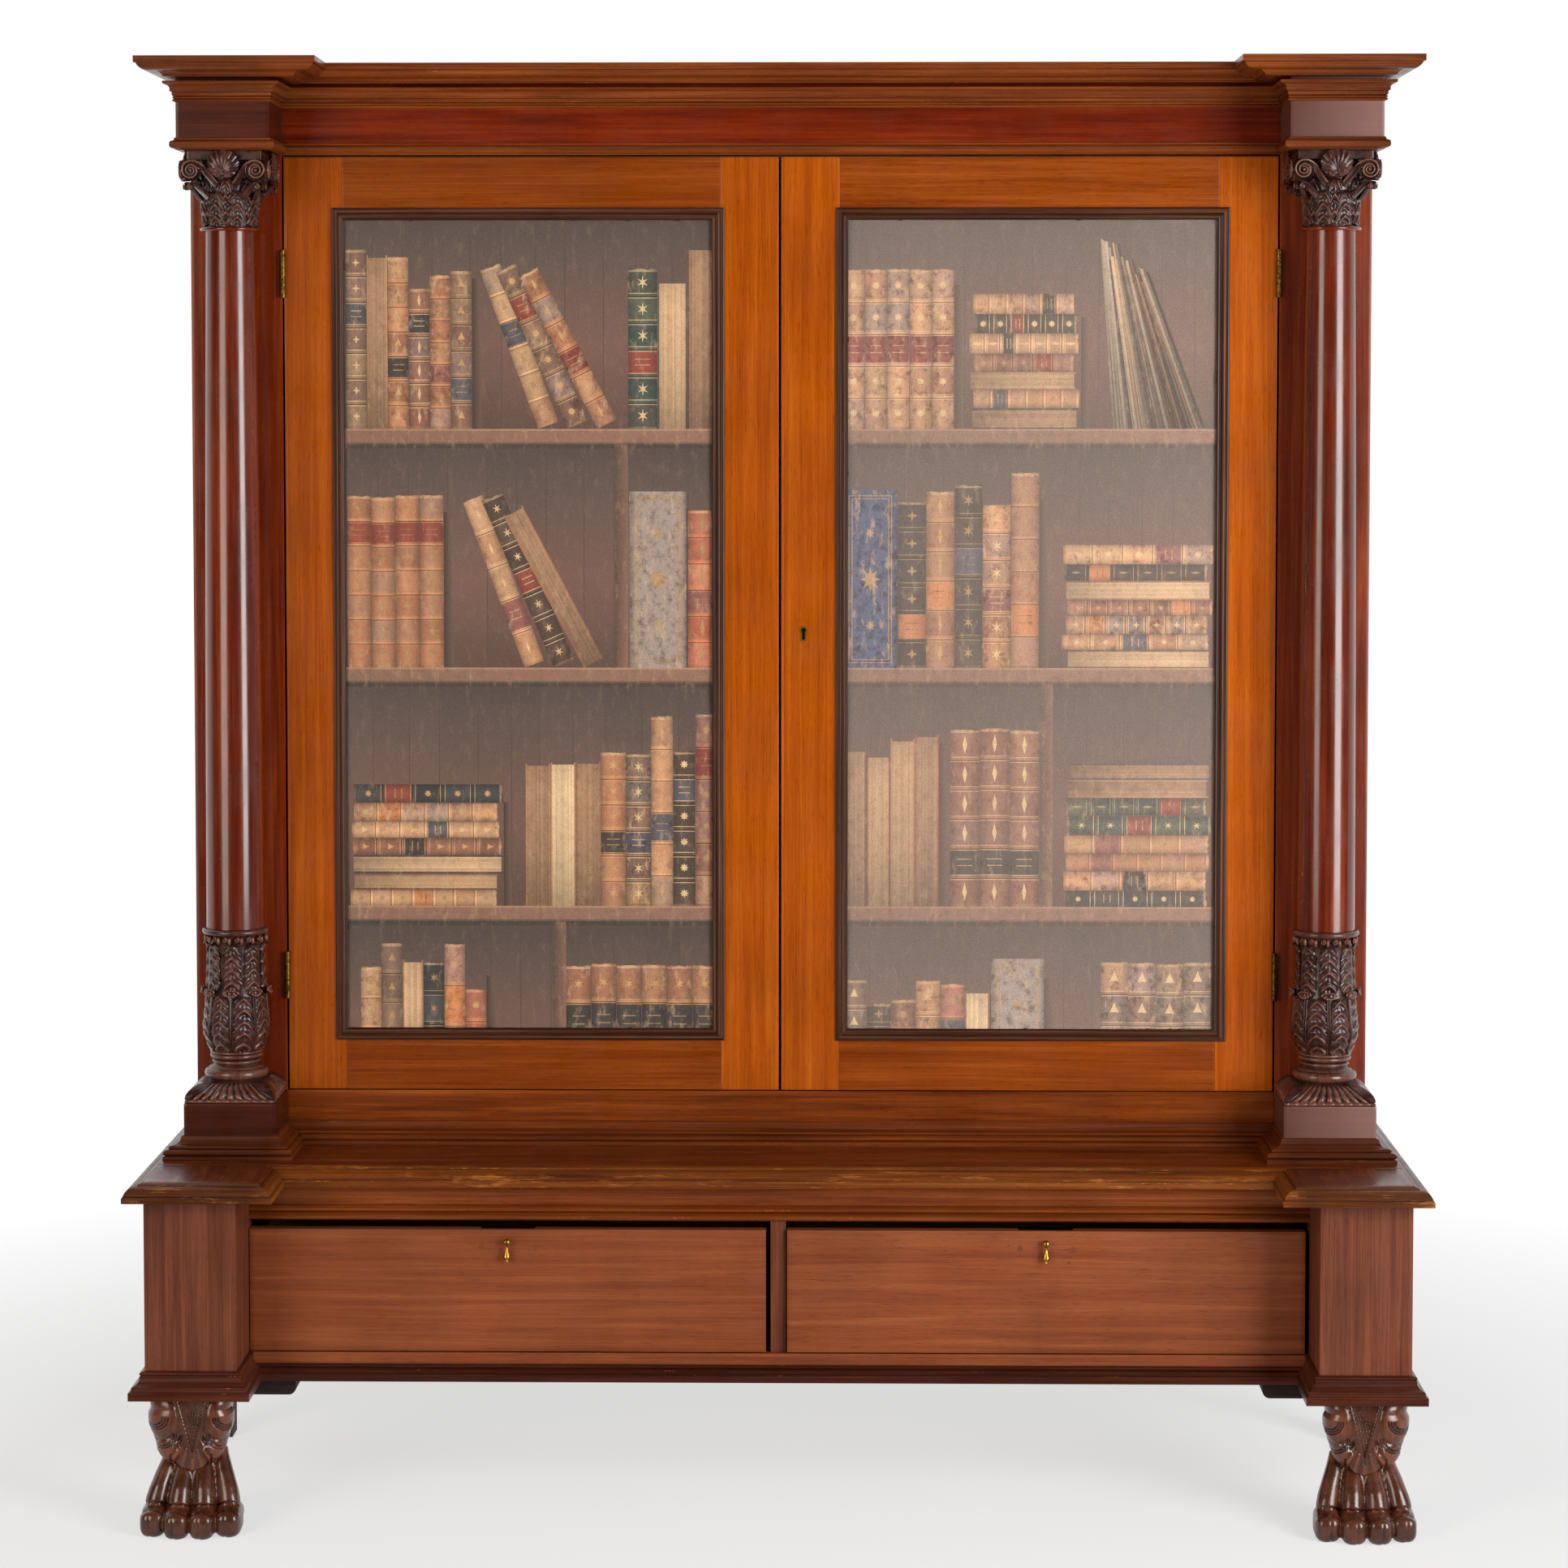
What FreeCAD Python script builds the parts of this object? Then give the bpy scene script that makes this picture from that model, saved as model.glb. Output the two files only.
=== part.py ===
"""Two-door break-front bookcase on lion-paw feet, with glazed doors, corner columns and two drawers.

The frame is millimetres, +Z up, with the front looking along -Y and the origin on the floor
under the middle of the bookcase. Left and right are as seen by a person who faces it.
"""
import FreeCAD, Part
import math
import os
import Sketcher

V = FreeCAD.Vector
X_AXIS = V(1, 0, 0)
Y_AXIS = V(0, 1, 0)
Z_AXIS = V(0, 0, 1)

# The driving sizes: alias, millimetres, what it is
SIZES = (
    ("half_depth", 320, "half of the depth over claws and back"),
    ("claw_reach", 45, "claws ahead of the pedestal face"),
    ("drawer_setback", 126, "pedestal face to drawer faces"),
    ("column_setback", 188, "pedestal face to plinth faces"),
    ("column_stand", 132, "plinth face to door faces"),
    ("pedestal_half", 1001, "middle to the pedestal's outer side"),
    ("pedestal_wide", 146, "pedestal width"),
    ("pedestal_deep", 160, "pedestal depth"),
    ("case_inset", 32, "upper case inside the pedestals' outer sides"),
    ("block_wide", 150, "column plinth and entablature block width"),
    ("board", 22, "thickness of case boards"),
    ("thin_board", 12, "thickness of backs and drawer sides"),
    ("foot_high", 217, "floor to the lower case"),
    ("rail_high", 42, "base rail under the drawers"),
    ("opening_high", 214.6, "drawer opening"),
    ("ledge_frieze_high", 61, "moulded rail under the ledge"),
    ("ledge_thick", 28.6, "ledge thickness"),
    ("ledge_proud", 28, "ledge over the pedestal"),
    ("ledge_inner", 63, "ledge over the pedestal's inner side"),
    ("plinth_high", 88, "column plinth height"),
    ("sill_high", 87, "rail under the doors"),
    ("door_under", 1.8, "gap under the doors"),
    ("door_high", 1541.5, "door height"),
    ("door_over", 3.5, "gap over the doors"),
    ("architrave_high", 19.5, "architrave moulding height"),
    ("architrave_proud", 9, "architrave moulding projection"),
    ("frieze_high", 56.5, "plain frieze height"),
    ("bed_high", 33, "bed moulding height"),
    ("bed_proud", 18, "bed moulding projection"),
    ("shadow_high", 6, "shadow gap under the crown"),
    ("crown_high", 29.5, "crown moulding height"),
    ("crown_proud", 55, "crown moulding projection"),
    ("crown_front", 14, "crown board over the frieze at the front"),
    ("crown_inner", 29, "crown board over the blocks at their inner sides"),
    ("base_moulding_high", 43.5, "pedestal base moulding height"),
    ("base_moulding_proud", 23, "pedestal base moulding projection"),
    ("middle_moulding_high", 24, "middle base moulding height"),
    ("middle_moulding_proud", 24, "middle base moulding projection"),
    ("plinth_moulding_high", 37, "plinth moulding height"),
    ("plinth_moulding_proud", 30, "plinth moulding projection"),
    ("foot_wide", 138, "paw foot width at its top"),
    ("foot_deep", 138, "paw foot depth at its top"),
    ("toe_long", 50, "half length of a toe"),
    ("toe_wide", 20.5, "half width of a toe"),
    ("toe_high", 24, "half height of a toe"),
    ("toe_pitch", 40, "spacing of the toes"),
    ("toe_flat", 2, "depth cut off under the toes"),
    ("outer_toe_back", 16, "outer toes behind the inner ones"),
    ("rear_foot_wide", 48, "rear foot width"),
    ("foot_block_high", 32, "height of the block behind a paw foot"),
    ("foot_block_deep", 90, "depth of the block behind a paw foot"),
    ("foot_block_reach", 219, "length of the block behind a paw foot"),
    ("foot_block_round", 12, "rounded corner of that block"),
    ("foot_block_setback", 141, "pedestal face to that block"),
    ("divider_wide", 25, "post between the drawers"),
    ("divider_back", 8, "post behind the drawer faces"),
    ("partition", 18, "lower partition thickness"),
    ("runner_wide", 30, "drawer runner width"),
    ("runner_gap", 0.3, "drawer over its runners"),
    ("guide_high", 65, "drawer side guide height"),
    ("drawer_play", 8.5, "a drawer's width less than its opening"),
    ("drawer_high", 199, "drawer front height"),
    ("drawer_lift", 2, "drawer front above the base rail"),
    ("drawer_rear_gap", 5, "shut drawer to the lower back"),
    ("drawer_front", 22, "drawer front thickness"),
    ("drawer_bottom", 8, "drawer bottom thickness"),
    ("drawer_bottom_lift", 10, "drawer bottom above the lower edge"),
    ("drawer_back_drop", 20, "drawer back and sides below the front's top"),
    ("left_drawer_gap", 1.2, "left drawer to the left pedestal"),
    ("right_drawer_gap", 1.6, "right drawer to the post"),
    ("notch_wide", 88, "lock notch width in a drawer front"),
    ("notch_deep", 14, "lock notch depth from the back"),
    ("notch_high", 32, "lock notch height"),
    ("pull_drop", 19, "pull pivot below the drawer front's top"),
    ("pull_stand", 9, "pull pivot ahead of the drawer front"),
    ("ball", 6, "pull ball radius"),
    ("post", 2.5, "pull post radius"),
    ("post_inside", 6, "pull post inside the drawer front"),
    ("slot_wide", 2.6, "slot in the pull ball"),
    ("tang_thick", 2, "tang of the drop"),
    ("tang", 2.4, "tang end radius"),
    ("pull_pin", 1, "pull pin radius"),
    ("drop_long", 32, "drop below its pivot"),
    ("drop", 6, "drop radius"),
    ("turned_fit", 0.1, "radial clearance of pins in their holes"),
    ("running_gap", 0.3, "gap between parts that pass each other"),
    ("cushion_high", 29, "gadrooned cushion height"),
    ("cushion_half", 74, "half width of the cushion"),
    ("drum_high", 251, "carved drum height with its base rings"),
    ("drum", 57, "carved drum radius"),
    ("shaft_low", 47.6, "shaft radius at its foot"),
    ("shaft_top", 40, "shaft radius at its top"),
    ("shaft_high", 1137.5, "shaft height"),
    ("astragal", 49.5, "astragal radius"),
    ("astragal_high", 7, "astragal height"),
    ("abacus_high", 15, "abacus height"),
    ("abacus_wide", 120, "abacus width"),
    ("bell", 60, "capital bell radius"),
    ("volute", 15.6, "volute radius"),
    ("volute_side", 14.4, "side volute radius"),
    ("volute_spread", 50, "volute centre from the column axis"),
    ("volute_reach", 73, "volute end from the column axis"),
    ("volute_drop", 18, "volute centre below the abacus"),
    ("shell", 20.5, "shell radius"),
    ("shell_thick", 9, "shell half thickness"),
    ("shell_drop", 6.5, "shell centre below the abacus"),
    ("meeting_gap", 4, "gap between the doors"),
    ("hinge_gap", 3, "gap between door and pilaster"),
    ("door_thick", 25, "door thickness"),
    ("member_wide", 96, "stile and rail width"),
    ("glazing_wide", 20, "glazing moulding width"),
    ("glazing_proud", 9, "glazing moulding projection"),
    ("glazing_inset", 79, "glazing moulding from the door's outer edge"),
    ("glazing_meeting_inset", 90, "glazing moulding from the meeting edge"),
    ("glazing_rail_inset", 83, "glazing moulding from top and bottom"),
    ("glass_thick", 3, "glass thickness"),
    ("panel_thick", 4, "printed board thickness"),
    ("strip_wide", 12, "panel strip width"),
    ("strip_thick", 10, "panel strip thickness"),
    ("pane_gap", 1, "glass and board to their opening"),
    ("bead_wide", 5, "meeting bead width"),
    ("bead_proud", 1.5, "meeting bead projection"),
    ("hinge_long", 78, "hinge length"),
    ("knuckle", 4.5, "hinge knuckle radius"),
    ("hinge_pin", 2.4, "hinge pin radius"),
    ("leaf_thick", 1.3, "hinge leaf thickness"),
    ("leaf_wide", 24, "hinge leaf width"),
    ("hinge_inset", 152, "hinge from the top and bottom of the door"),
    ("keyhole_lift", 764.4, "keyhole above the door's lower edge"),
    ("keyhole_inset", 36.8, "keyhole from the meeting edge"),
    ("keyhole", 4, "keyhole radius"),
    ("keyhole_slot", 4.4, "keyhole slot width"),
    ("keyhole_tail", 15.6, "keyhole slot below the round"),
    ("thread_wall", 2.6, "brass keyhole lining wall"),
    ("thread_deep", 6, "brass keyhole lining depth"),
    ("thread_proud", 0.6, "brass keyhole lining projection"),
    ("lock_long", 62, "door lock length"),
    ("lock_high", 74, "door lock height"),
    ("lock_thick", 14, "door lock thickness"),
    ("lock_bolt_long", 30, "lock bolt length"),
    ("lock_bolt_thick", 8, "lock bolt thickness"),
    ("lock_bolt_high", 22, "lock bolt height"),
    ("lock_bolt_throw", 8, "lock bolt travel"),
    ("lock_bolt_rise", 20, "lock bolt above the keyhole"),
    ("key_room", 10, "room for the key's bit, radius"),
    ("barrel_wide", 18, "bolt barrel width"),
    ("barrel_deep", 16, "bolt barrel depth"),
    ("barrel_high", 72, "bolt barrel height"),
    ("barrel_end", 12, "bolt barrel from the door's end"),
    ("barrel_inset", 30, "bolt barrel from the meeting edge"),
    ("bolt", 4, "bolt radius"),
    ("bolt_long", 82, "bolt length"),
    ("bolt_throw", 12, "bolt travel"),
    ("bolt_rest", 1, "bolt end inside the door's end"),
    ("knob", 3, "bolt knob radius"),
    ("knob_long", 18, "bolt knob length"),
    ("socket_wide", 10, "socket for a bolt"),
    ("socket_deep", 15, "socket depth"),
    ("ceiling_drop", 5.5, "ceiling board below the door's top, as its stop"),
    ("shelf_thick", 20, "shelf thickness"),
    ("shelf_back", 24, "shelf behind the doors"),
    ("shelf_end_gap", 1.5, "shelf to sides and partition"),
    ("peg", 4, "shelf peg radius"),
    ("peg_out", 12, "shelf peg length out of the side"),
    ("peg_in", 12, "shelf peg length in the side"),
    ("peg_inset", 35, "shelf peg from the shelf's edge"),
    ("upper_partition", 20, "upper partition thickness"),
    ("overrun", 5, "how far a cutting shape runs past a face"),
)


class Size:
    """A length that knows its value and the expression that makes it from the sheet."""

    def __init__(self, text, value):
        self.text = text
        self.value = float(value)

    def __float__(self):
        return self.value

    def _join(self, other, sign, turned=False):
        other_text = other.text if isinstance(other, Size) else repr(float(other))
        mine, theirs = (other_text, self.text) if turned else (self.text, other_text)
        first, second = (float(other), self.value) if turned else (self.value, float(other))
        results = {"+": first + second, "-": first - second, "*": first * second}
        value = results[sign] if sign in results else first / second
        return Size(f"({mine} {sign} {theirs})", value)

    def __add__(self, other):
        return self._join(other, "+")

    def __radd__(self, other):
        return self._join(other, "+", turned=True)

    def __sub__(self, other):
        return self._join(other, "-")

    def __rsub__(self, other):
        return self._join(other, "-", turned=True)

    def __mul__(self, other):
        return self._join(other, "*")

    def __rmul__(self, other):
        return self._join(other, "*", turned=True)

    def __truediv__(self, other):
        return self._join(other, "/")

    def __neg__(self):
        return Size(f"(0 - {self.text})", -self.value)


class SizeSheet:
    """The sheet of driving sizes, whose aliases are read as attributes."""

    def __init__(self, document, rows):
        self.sheet = document.addObject("Spreadsheet::Sheet", "Sizes")
        for index, (alias, value, meaning) in enumerate(rows, start=1):
            self.sheet.set(f"A{index}", meaning)
            self.sheet.set(f"B{index}", str(value))
            self.sheet.setAlias(f"B{index}", alias)
        document.recompute()

    def __getattr__(self, alias):
        return Size(f"Sizes.{alias}", self.sheet.get(alias))


doc = FreeCAD.newDocument("bookcase")
S = SizeSheet(doc, SIZES)
ZERO = Size("0", 0)
NODES = []


# Small helpers

def bind(item, name, size):
    """Bind one property of an object to an expression of the sheet."""
    item.setExpression(name, size.text)


def place(item, point):
    """Bind an object's place to three sizes."""
    for name, size in zip("xyz", point):
        bind(item, f"Placement.Base.{name}", size)


def box(name, across, deep, high):
    """A board between two sizes along each axis."""
    item = doc.addObject("Part::Box", name)
    for side, (low, top) in zip(("Length", "Width", "Height"), (across, deep, high)):
        bind(item, side, top - low)
    place(item, (across[0], deep[0], high[0]))
    return item


def cylinder(name, radius, span, centre, along="z"):
    """A round bar over a span of one axis, round a centre of the other two."""
    item = doc.addObject("Part::Cylinder", name)
    bind(item, "Radius", radius)
    bind(item, "Height", span[1] - span[0])
    if along == "x":
        item.Placement.Rotation = FreeCAD.Rotation(Z_AXIS, X_AXIS)
        place(item, (span[0], centre[0], centre[1]))
    elif along == "y":
        item.Placement.Rotation = FreeCAD.Rotation(Z_AXIS, Y_AXIS)
        place(item, (centre[0], span[0], centre[1]))
    else:
        place(item, (centre[0], centre[1], span[0]))
    return item


def fuse(name, items):
    """Several solids made one."""
    item = doc.addObject("Part::MultiFuse", name)
    item.Shapes = items
    return item


def cut(name, base, tools):
    """A solid less one or more others."""
    item = doc.addObject("Part::Cut", name)
    item.Base = base
    item.Tool = tools[0] if len(tools) == 1 else fuse(f"{name}_tools", tools)
    return item


def mirrored(item):
    """The same shape on the other side of the middle plane."""
    other = doc.addObject("Part::Mirroring", f"{item.Name}_mirrored")
    other.Source = item
    other.Normal = X_AXIS
    return other


def group(name, items):
    """Separate solids kept together as one piece list entry."""
    item = doc.addObject("Part::Compound", name)
    item.Links = items
    return item


def computed(name, shape):
    """A shape worked out from the sheet's values."""
    item = doc.addObject("Part::Feature", name)
    item.Shape = shape
    return item


def node(label, item):
    """Name a finished sub-part and list it."""
    item.Label = label
    NODES.append(item)
    return item


def pair(label, items):
    """Sub-parts of the right side with their twins on the left, as one entry."""
    return node(label, group(f"{label}_pair", items + [mirrored(item) for item in items]))


def turned(name, rows, centre):
    """A body of revolution about a vertical axis, from rows of radius and height."""
    body = doc.addObject("PartDesign::Body", name)
    sketch = body.newObject("Sketcher::SketchObject", f"{name}_outline")
    plane = [item for item in body.Origin.OriginFeatures if item.Role == "XZ_Plane"][0]
    sketch.AttachmentSupport = [(plane, "")]
    sketch.MapMode = "FlatFace"
    corners = [(ZERO, rows[0][1])] + list(rows) + [(ZERO, rows[-1][1])]
    points = [V(float(radius), float(height), 0) for radius, height in corners]
    count = len(points)
    for index in range(count):
        sketch.addGeometry(Part.LineSegment(points[index], points[(index + 1) % count]), False)
    for index in range(count):
        sketch.addConstraint(Sketcher.Constraint("Coincident", index, 2, (index + 1) % count, 1))
    for index, (radius, height) in enumerate(corners):
        for kind, axis, size in (("DistanceX", -2, radius), ("DistanceY", -1, height)):
            if float(size) == 0:
                sketch.addConstraint(Sketcher.Constraint("PointOnObject", index, 1, axis))
                continue
            bound = Sketcher.Constraint(kind, -1, 1, index, 1, float(size))
            number = sketch.addConstraint(bound)
            bind(sketch, f"Constraints[{number}]", size)
    feature = body.newObject("PartDesign::Revolution", f"{name}_turning")
    feature.Profile = sketch
    feature.ReferenceAxis = (sketch, ["V_Axis"])
    feature.Angle = 360
    place(body, centre)
    return body


def share_rows(shares, radius, height):
    """Rows of a turning from shares of its radius and height."""
    return [(radius * across, height * up) for across, up in shares]


def outline_face(corners, point_at):
    """A face from corners (a, b), or (a, b, mid a, mid b) where an arc arrives through a mid point."""
    edges = []
    previous = corners[-1]
    for corner in corners:
        start = point_at(previous[0], previous[1])
        end = point_at(corner[0], corner[1])
        if len(corner) == 4:
            edges.append(Part.Arc(start, point_at(corner[2], corner[3]), end).toShape())
        else:
            edges.append(Part.makeLine(start, end))
        previous = corner
    return Part.Face(Part.Wire(edges))


def mitred_lengths(plan, shares, proud, high, level, closed=False):
    """Separate lengths of a moulding along a plan of straight runs, mitred at its corners.

    The moulding stands out on the right of the plan's direction. Its section is given in shares
    of its projection and height.
    """
    out_by = float(proud)
    up_by = float(high)
    past = float(S.overrun)
    base = float(level)
    points = [V(float(x), float(y), 0) for x, y in plan]
    legs = list(zip(points, points[1:]))
    if closed:
        legs.append((points[-1], points[0]))
    normals = []
    for start, end in legs:
        along = (end - start).normalize()
        normals.append(V(along.y, -along.x, 0))
    lengths = []
    for index, (start, end) in enumerate(legs):
        normal = normals[index]
        along = (end - start).normalize()
        before = normals[index - 1] if index or closed else None
        after = normals[(index + 1) % len(legs)] if index + 1 < len(legs) or closed else None
        start_way = normal + before if before else normal
        end_way = normal + after if after else normal
        run_back = along * (out_by + past if before else 0)
        run_on = along * (out_by + past if after else 0)
        origin = start - run_back

        def point_at(out_share, up_share):
            return origin + normal * (out_share * out_by) + Z_AXIS * (base + up_share * up_by)

        bar = outline_face(shares, point_at).extrude(end + run_on - origin)
        floor = Z_AXIS * (base - past)
        corners = [
            start - start_way * past,
            end - end_way * past,
            end + end_way * (out_by + past),
            start + start_way * (out_by + past),
        ]
        wire = Part.makePolygon([corner + floor for corner in corners + corners[:1]])
        prism = Part.Face(wire).extrude(Z_AXIS * (up_by + past + past))
        lengths.append(bar.common(prism).Solids[0])
    return lengths


def rounded_wire(centre_x, centre_y, half_x, half_y, level, round_share):
    """A rectangle with rounded corners at a level, for a loft."""
    radius = min(half_x, half_y) * round_share
    diagonal = radius * math.sqrt(0.5)
    edges = []
    corners = ((1, -1), (1, 1), (-1, 1), (-1, -1))
    starts = []
    for sign_x, sign_y in corners:
        hub = V(centre_x + sign_x * (half_x - radius), centre_y + sign_y * (half_y - radius), level)
        on_x = hub + V(sign_x * radius, 0, 0)
        on_y = hub + V(0, sign_y * radius, 0)
        middle = hub + V(sign_x * diagonal, sign_y * diagonal, 0)
        first, last = (on_y, on_x) if sign_x * sign_y < 0 else (on_x, on_y)
        starts.append((first, middle, last))
    for index, (first, middle, last) in enumerate(starts):
        edges.append(Part.Arc(first, middle, last).toShape())
        following = starts[(index + 1) % len(starts)][0]
        edges.append(Part.makeLine(last, following))
    return Part.Wire(edges)


# Levels and planes that several sub-parts share

back_y = S.half_depth
pedestal_y = S.claw_reach - S.half_depth
drawer_y = pedestal_y + S.drawer_setback
plinth_y = pedestal_y + S.column_setback
door_y = plinth_y + S.column_stand
back_face_y = back_y - S.thin_board

rail_top = S.foot_high + S.rail_high
opening_top = rail_top + S.opening_high
ledge_under = opening_top + S.ledge_frieze_high
ledge_top = ledge_under + S.ledge_thick
sill_top = ledge_top + S.sill_high
door_low = sill_top + S.door_under
door_top = door_low + S.door_high
head_under = door_top + S.door_over
frieze_under = head_under + S.architrave_high
bed_under = frieze_under + S.frieze_high
bed_top = bed_under + S.bed_high
crown_under = bed_top + S.shadow_high
crown_top = crown_under + S.crown_high

pedestal_inner = S.pedestal_half - S.pedestal_wide
case_half = S.pedestal_half - S.case_inset
block_inner = case_half - S.block_wide
column_x = case_half - S.block_wide / 2
column_y = door_y - S.drum - S.running_gap
door_outer = block_inner - S.hinge_gap - S.running_gap
pilaster_inner = door_outer + S.hinge_gap
door_inner = S.meeting_gap / 2
pilaster_back = door_y + S.board


# Feet

def paw_foot():
    """The right paw foot: a lofted leg with four toes, flat where it stands."""
    centre_x = S.pedestal_half - S.pedestal_wide / 2
    half_wide = float(S.foot_wide) / 2
    half_deep = float(S.foot_deep) / 2
    middle_y = float(pedestal_y) + half_deep
    # height, half width, half depth and step forward, all in shares of the foot's sizes
    leg_shares = (
        (1.00, 1.00, 1.00, 0.00),
        (0.94, 1.00, 1.00, 0.00),
        (0.78, 1.02, 1.00, 0.06),
        (0.58, 0.82, 0.84, 0.16),
        (0.46, 0.69, 0.72, 0.22),
        (0.30, 0.72, 0.76, 0.32),
        (0.14, 0.84, 0.82, 0.42),
        (0.00, 0.86, 0.84, 0.44),
    )
    round_share = 0.55
    wires = []
    for up, wide, deep, forward in leg_shares:
        wires.append(rounded_wire(float(centre_x), middle_y - forward * half_deep, wide * half_wide,
                                  deep * half_deep, up * float(S.foot_high), round_share))
    parts = [computed("paw_leg", Part.makeLoft(wires, True, False))]
    inner_y = S.toe_long - S.half_depth
    pitch_shares = (-1.5, -0.5, 0.5, 1.5)
    for index, pitch in enumerate(pitch_shares):
        toe = doc.addObject("Part::Ellipsoid", f"paw_toe_{index}")
        bind(toe, "Radius1", S.toe_high)
        bind(toe, "Radius2", S.toe_long)
        bind(toe, "Radius3", S.toe_wide)
        toe.Placement.Rotation = FreeCAD.Rotation(Z_AXIS, 90)
        toe_y = inner_y + (S.outer_toe_back if abs(pitch) > 1 else ZERO)
        place(toe, (centre_x + S.toe_pitch * pitch, toe_y, S.toe_high - S.toe_flat))
        parts.append(toe)
    whole = fuse("paw_whole", parts)
    ground = box("paw_ground", (centre_x - S.foot_wide, centre_x + S.foot_wide),
                 (-back_y - S.overrun, back_y), (-S.toe_high, ZERO))
    return cut("paw_foot", whole, [ground])


pair("paw_feet", [paw_foot()])
pair("rear_feet", [box("rear_foot", (S.pedestal_half - S.rear_foot_wide, S.pedestal_half),
                       (back_y - S.rear_foot_wide, back_y), (ZERO, S.foot_high))])


def foot_block():
    """The block behind the right paw foot, with its lower inner corner rounded."""
    inner = S.pedestal_half - S.foot_block_reach
    front = pedestal_y + S.foot_block_setback
    low = S.foot_high - S.foot_block_high
    item = box("foot_block_square", (inner, S.pedestal_half),
               (front, front + S.foot_block_deep), (low, S.foot_high))
    corner = box("foot_block_corner", (inner - S.overrun, inner + S.foot_block_round),
                 (front - S.overrun, front + S.foot_block_deep + S.overrun),
                 (low - S.overrun, low + S.foot_block_round))
    hub = (inner + S.foot_block_round, low + S.foot_block_round)
    bar = cylinder("foot_block_bar", S.foot_block_round,
                   (front - S.overrun, front + S.foot_block_deep + S.overrun), hub, "y")
    return cut("foot_block", item, [cut("foot_block_waste", corner, [bar])])


pair("foot_blocks", [foot_block()])


# Lower stage

pair("pedestals", [box("pedestal", (pedestal_inner, S.pedestal_half),
                       (pedestal_y, pedestal_y + S.pedestal_deep), (S.foot_high, ledge_under))])

BASE_SHARES = ((0, 0), (1, 0), (1, 0.30), (0.80, 0.38, 0.93, 0.36), (0.80, 0.44), (0.66, 0.46),
               (0.30, 0.84, 0.36, 0.60), (0.24, 0.86), (0.24, 0.97, 0.30, 0.92), (0, 1))
MIDDLE_SHARES = ((0, 0), (1, 0), (1, 0.52), (0.55, 0.70, 0.70, 0.55), (0.30, 0.78),
                 (0.30, 1, 0.42, 0.89), (0, 1))


def base_moulding():
    """Mitred lengths round the pedestals, and a middle length scribed to their returns."""
    lengths = []
    for side in (-1, 1):
        plan = [
            (S.pedestal_half * side, back_y),
            (S.pedestal_half * side, pedestal_y),
            (pedestal_inner * side, pedestal_y),
            (pedestal_inner * side, drawer_y),
        ]
        if side > 0:
            plan.reverse()
        lengths += mitred_lengths(plan, BASE_SHARES, S.base_moulding_proud,
                                  S.base_moulding_high, S.foot_high)
    middle_plan = [(-pedestal_inner, drawer_y), (pedestal_inner, drawer_y)]
    middle = mitred_lengths(middle_plan, MIDDLE_SHARES, S.middle_moulding_proud,
                            S.middle_moulding_high, S.foot_high)[0]
    middle = middle.cut(Part.makeCompound(lengths))
    longest = max(middle.Solids, key=lambda solid: solid.Volume)
    return Part.makeCompound(lengths + [longest])


node("base_moulding", computed("base_moulding_lengths", base_moulding()))

lower_back_y = back_face_y
pair("lower_sides", [box("lower_side", (S.pedestal_half - S.board, S.pedestal_half),
                         (pedestal_y + S.pedestal_deep, lower_back_y), (S.foot_high, ledge_under))])
node("lower_back", box("lower_back_board", (-S.pedestal_half, S.pedestal_half),
                       (lower_back_y, back_y), (S.foot_high, ledge_under)))
rail_back = drawer_y + S.board
floor_top = S.foot_high + S.partition


def lower_floor():
    """The bottom board, let in round the backs of the pedestals."""
    board = box("lower_floor_board", (S.board - S.pedestal_half, S.pedestal_half - S.board),
                (rail_back, lower_back_y), (S.foot_high, floor_top))
    notches = []
    for side, across in (("left", (-S.pedestal_half, -pedestal_inner)),
                         ("right", (pedestal_inner, S.pedestal_half))):
        notches.append(box(f"floor_notch_{side}", across,
                           (rail_back - S.overrun, pedestal_y + S.pedestal_deep),
                           (S.foot_high - S.overrun, floor_top + S.overrun)))
    return cut("lower_floor_notched", board, notches)


node("lower_floor", lower_floor())
node("base_rail", box("base_rail_board", (-pedestal_inner, pedestal_inner),
                      (drawer_y, rail_back), (S.foot_high, rail_top)))

drawer_low = rail_top + S.drawer_lift
post_y = drawer_y + S.divider_back
post_back = post_y + S.board
node("drawer_divider", group("drawer_divider_parts", [
    box("divider_post", (-S.divider_wide / 2, S.divider_wide / 2),
        (post_y, post_back), (rail_top, opening_top)),
    box("divider_partition", (-S.partition / 2, S.partition / 2),
        (post_back, lower_back_y), (floor_top, ledge_under)),
]))


def drawer_runners():
    """Two runners for each drawer, and a guide beside each outer one."""
    top = drawer_low - S.runner_gap
    front = pedestal_y + S.pedestal_deep
    parts = [
        box("outer_runner", (pedestal_inner - S.runner_wide, pedestal_inner),
            (front, lower_back_y), (floor_top, top)),
        box("inner_runner", (S.partition / 2, S.partition / 2 + S.runner_wide),
            (front, lower_back_y), (floor_top, top)),
        box("side_guide", (pedestal_inner, pedestal_inner + S.partition),
            (front, lower_back_y), (floor_top, floor_top + S.guide_high)),
    ]
    return parts


pair("drawer_runners", drawer_runners())

FRIEZE_SHARES = ((0, 0), (0.47, 0), (0.47, 0.19, 0.60, 0.095), (0.40, 0.21), (0.40, 0.36, 0.52, 0.285),
                 (0.34, 0.38), (0.34, 0.44), (1, 0.96, 0.46, 0.80), (1, 1), (0, 1))


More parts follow.
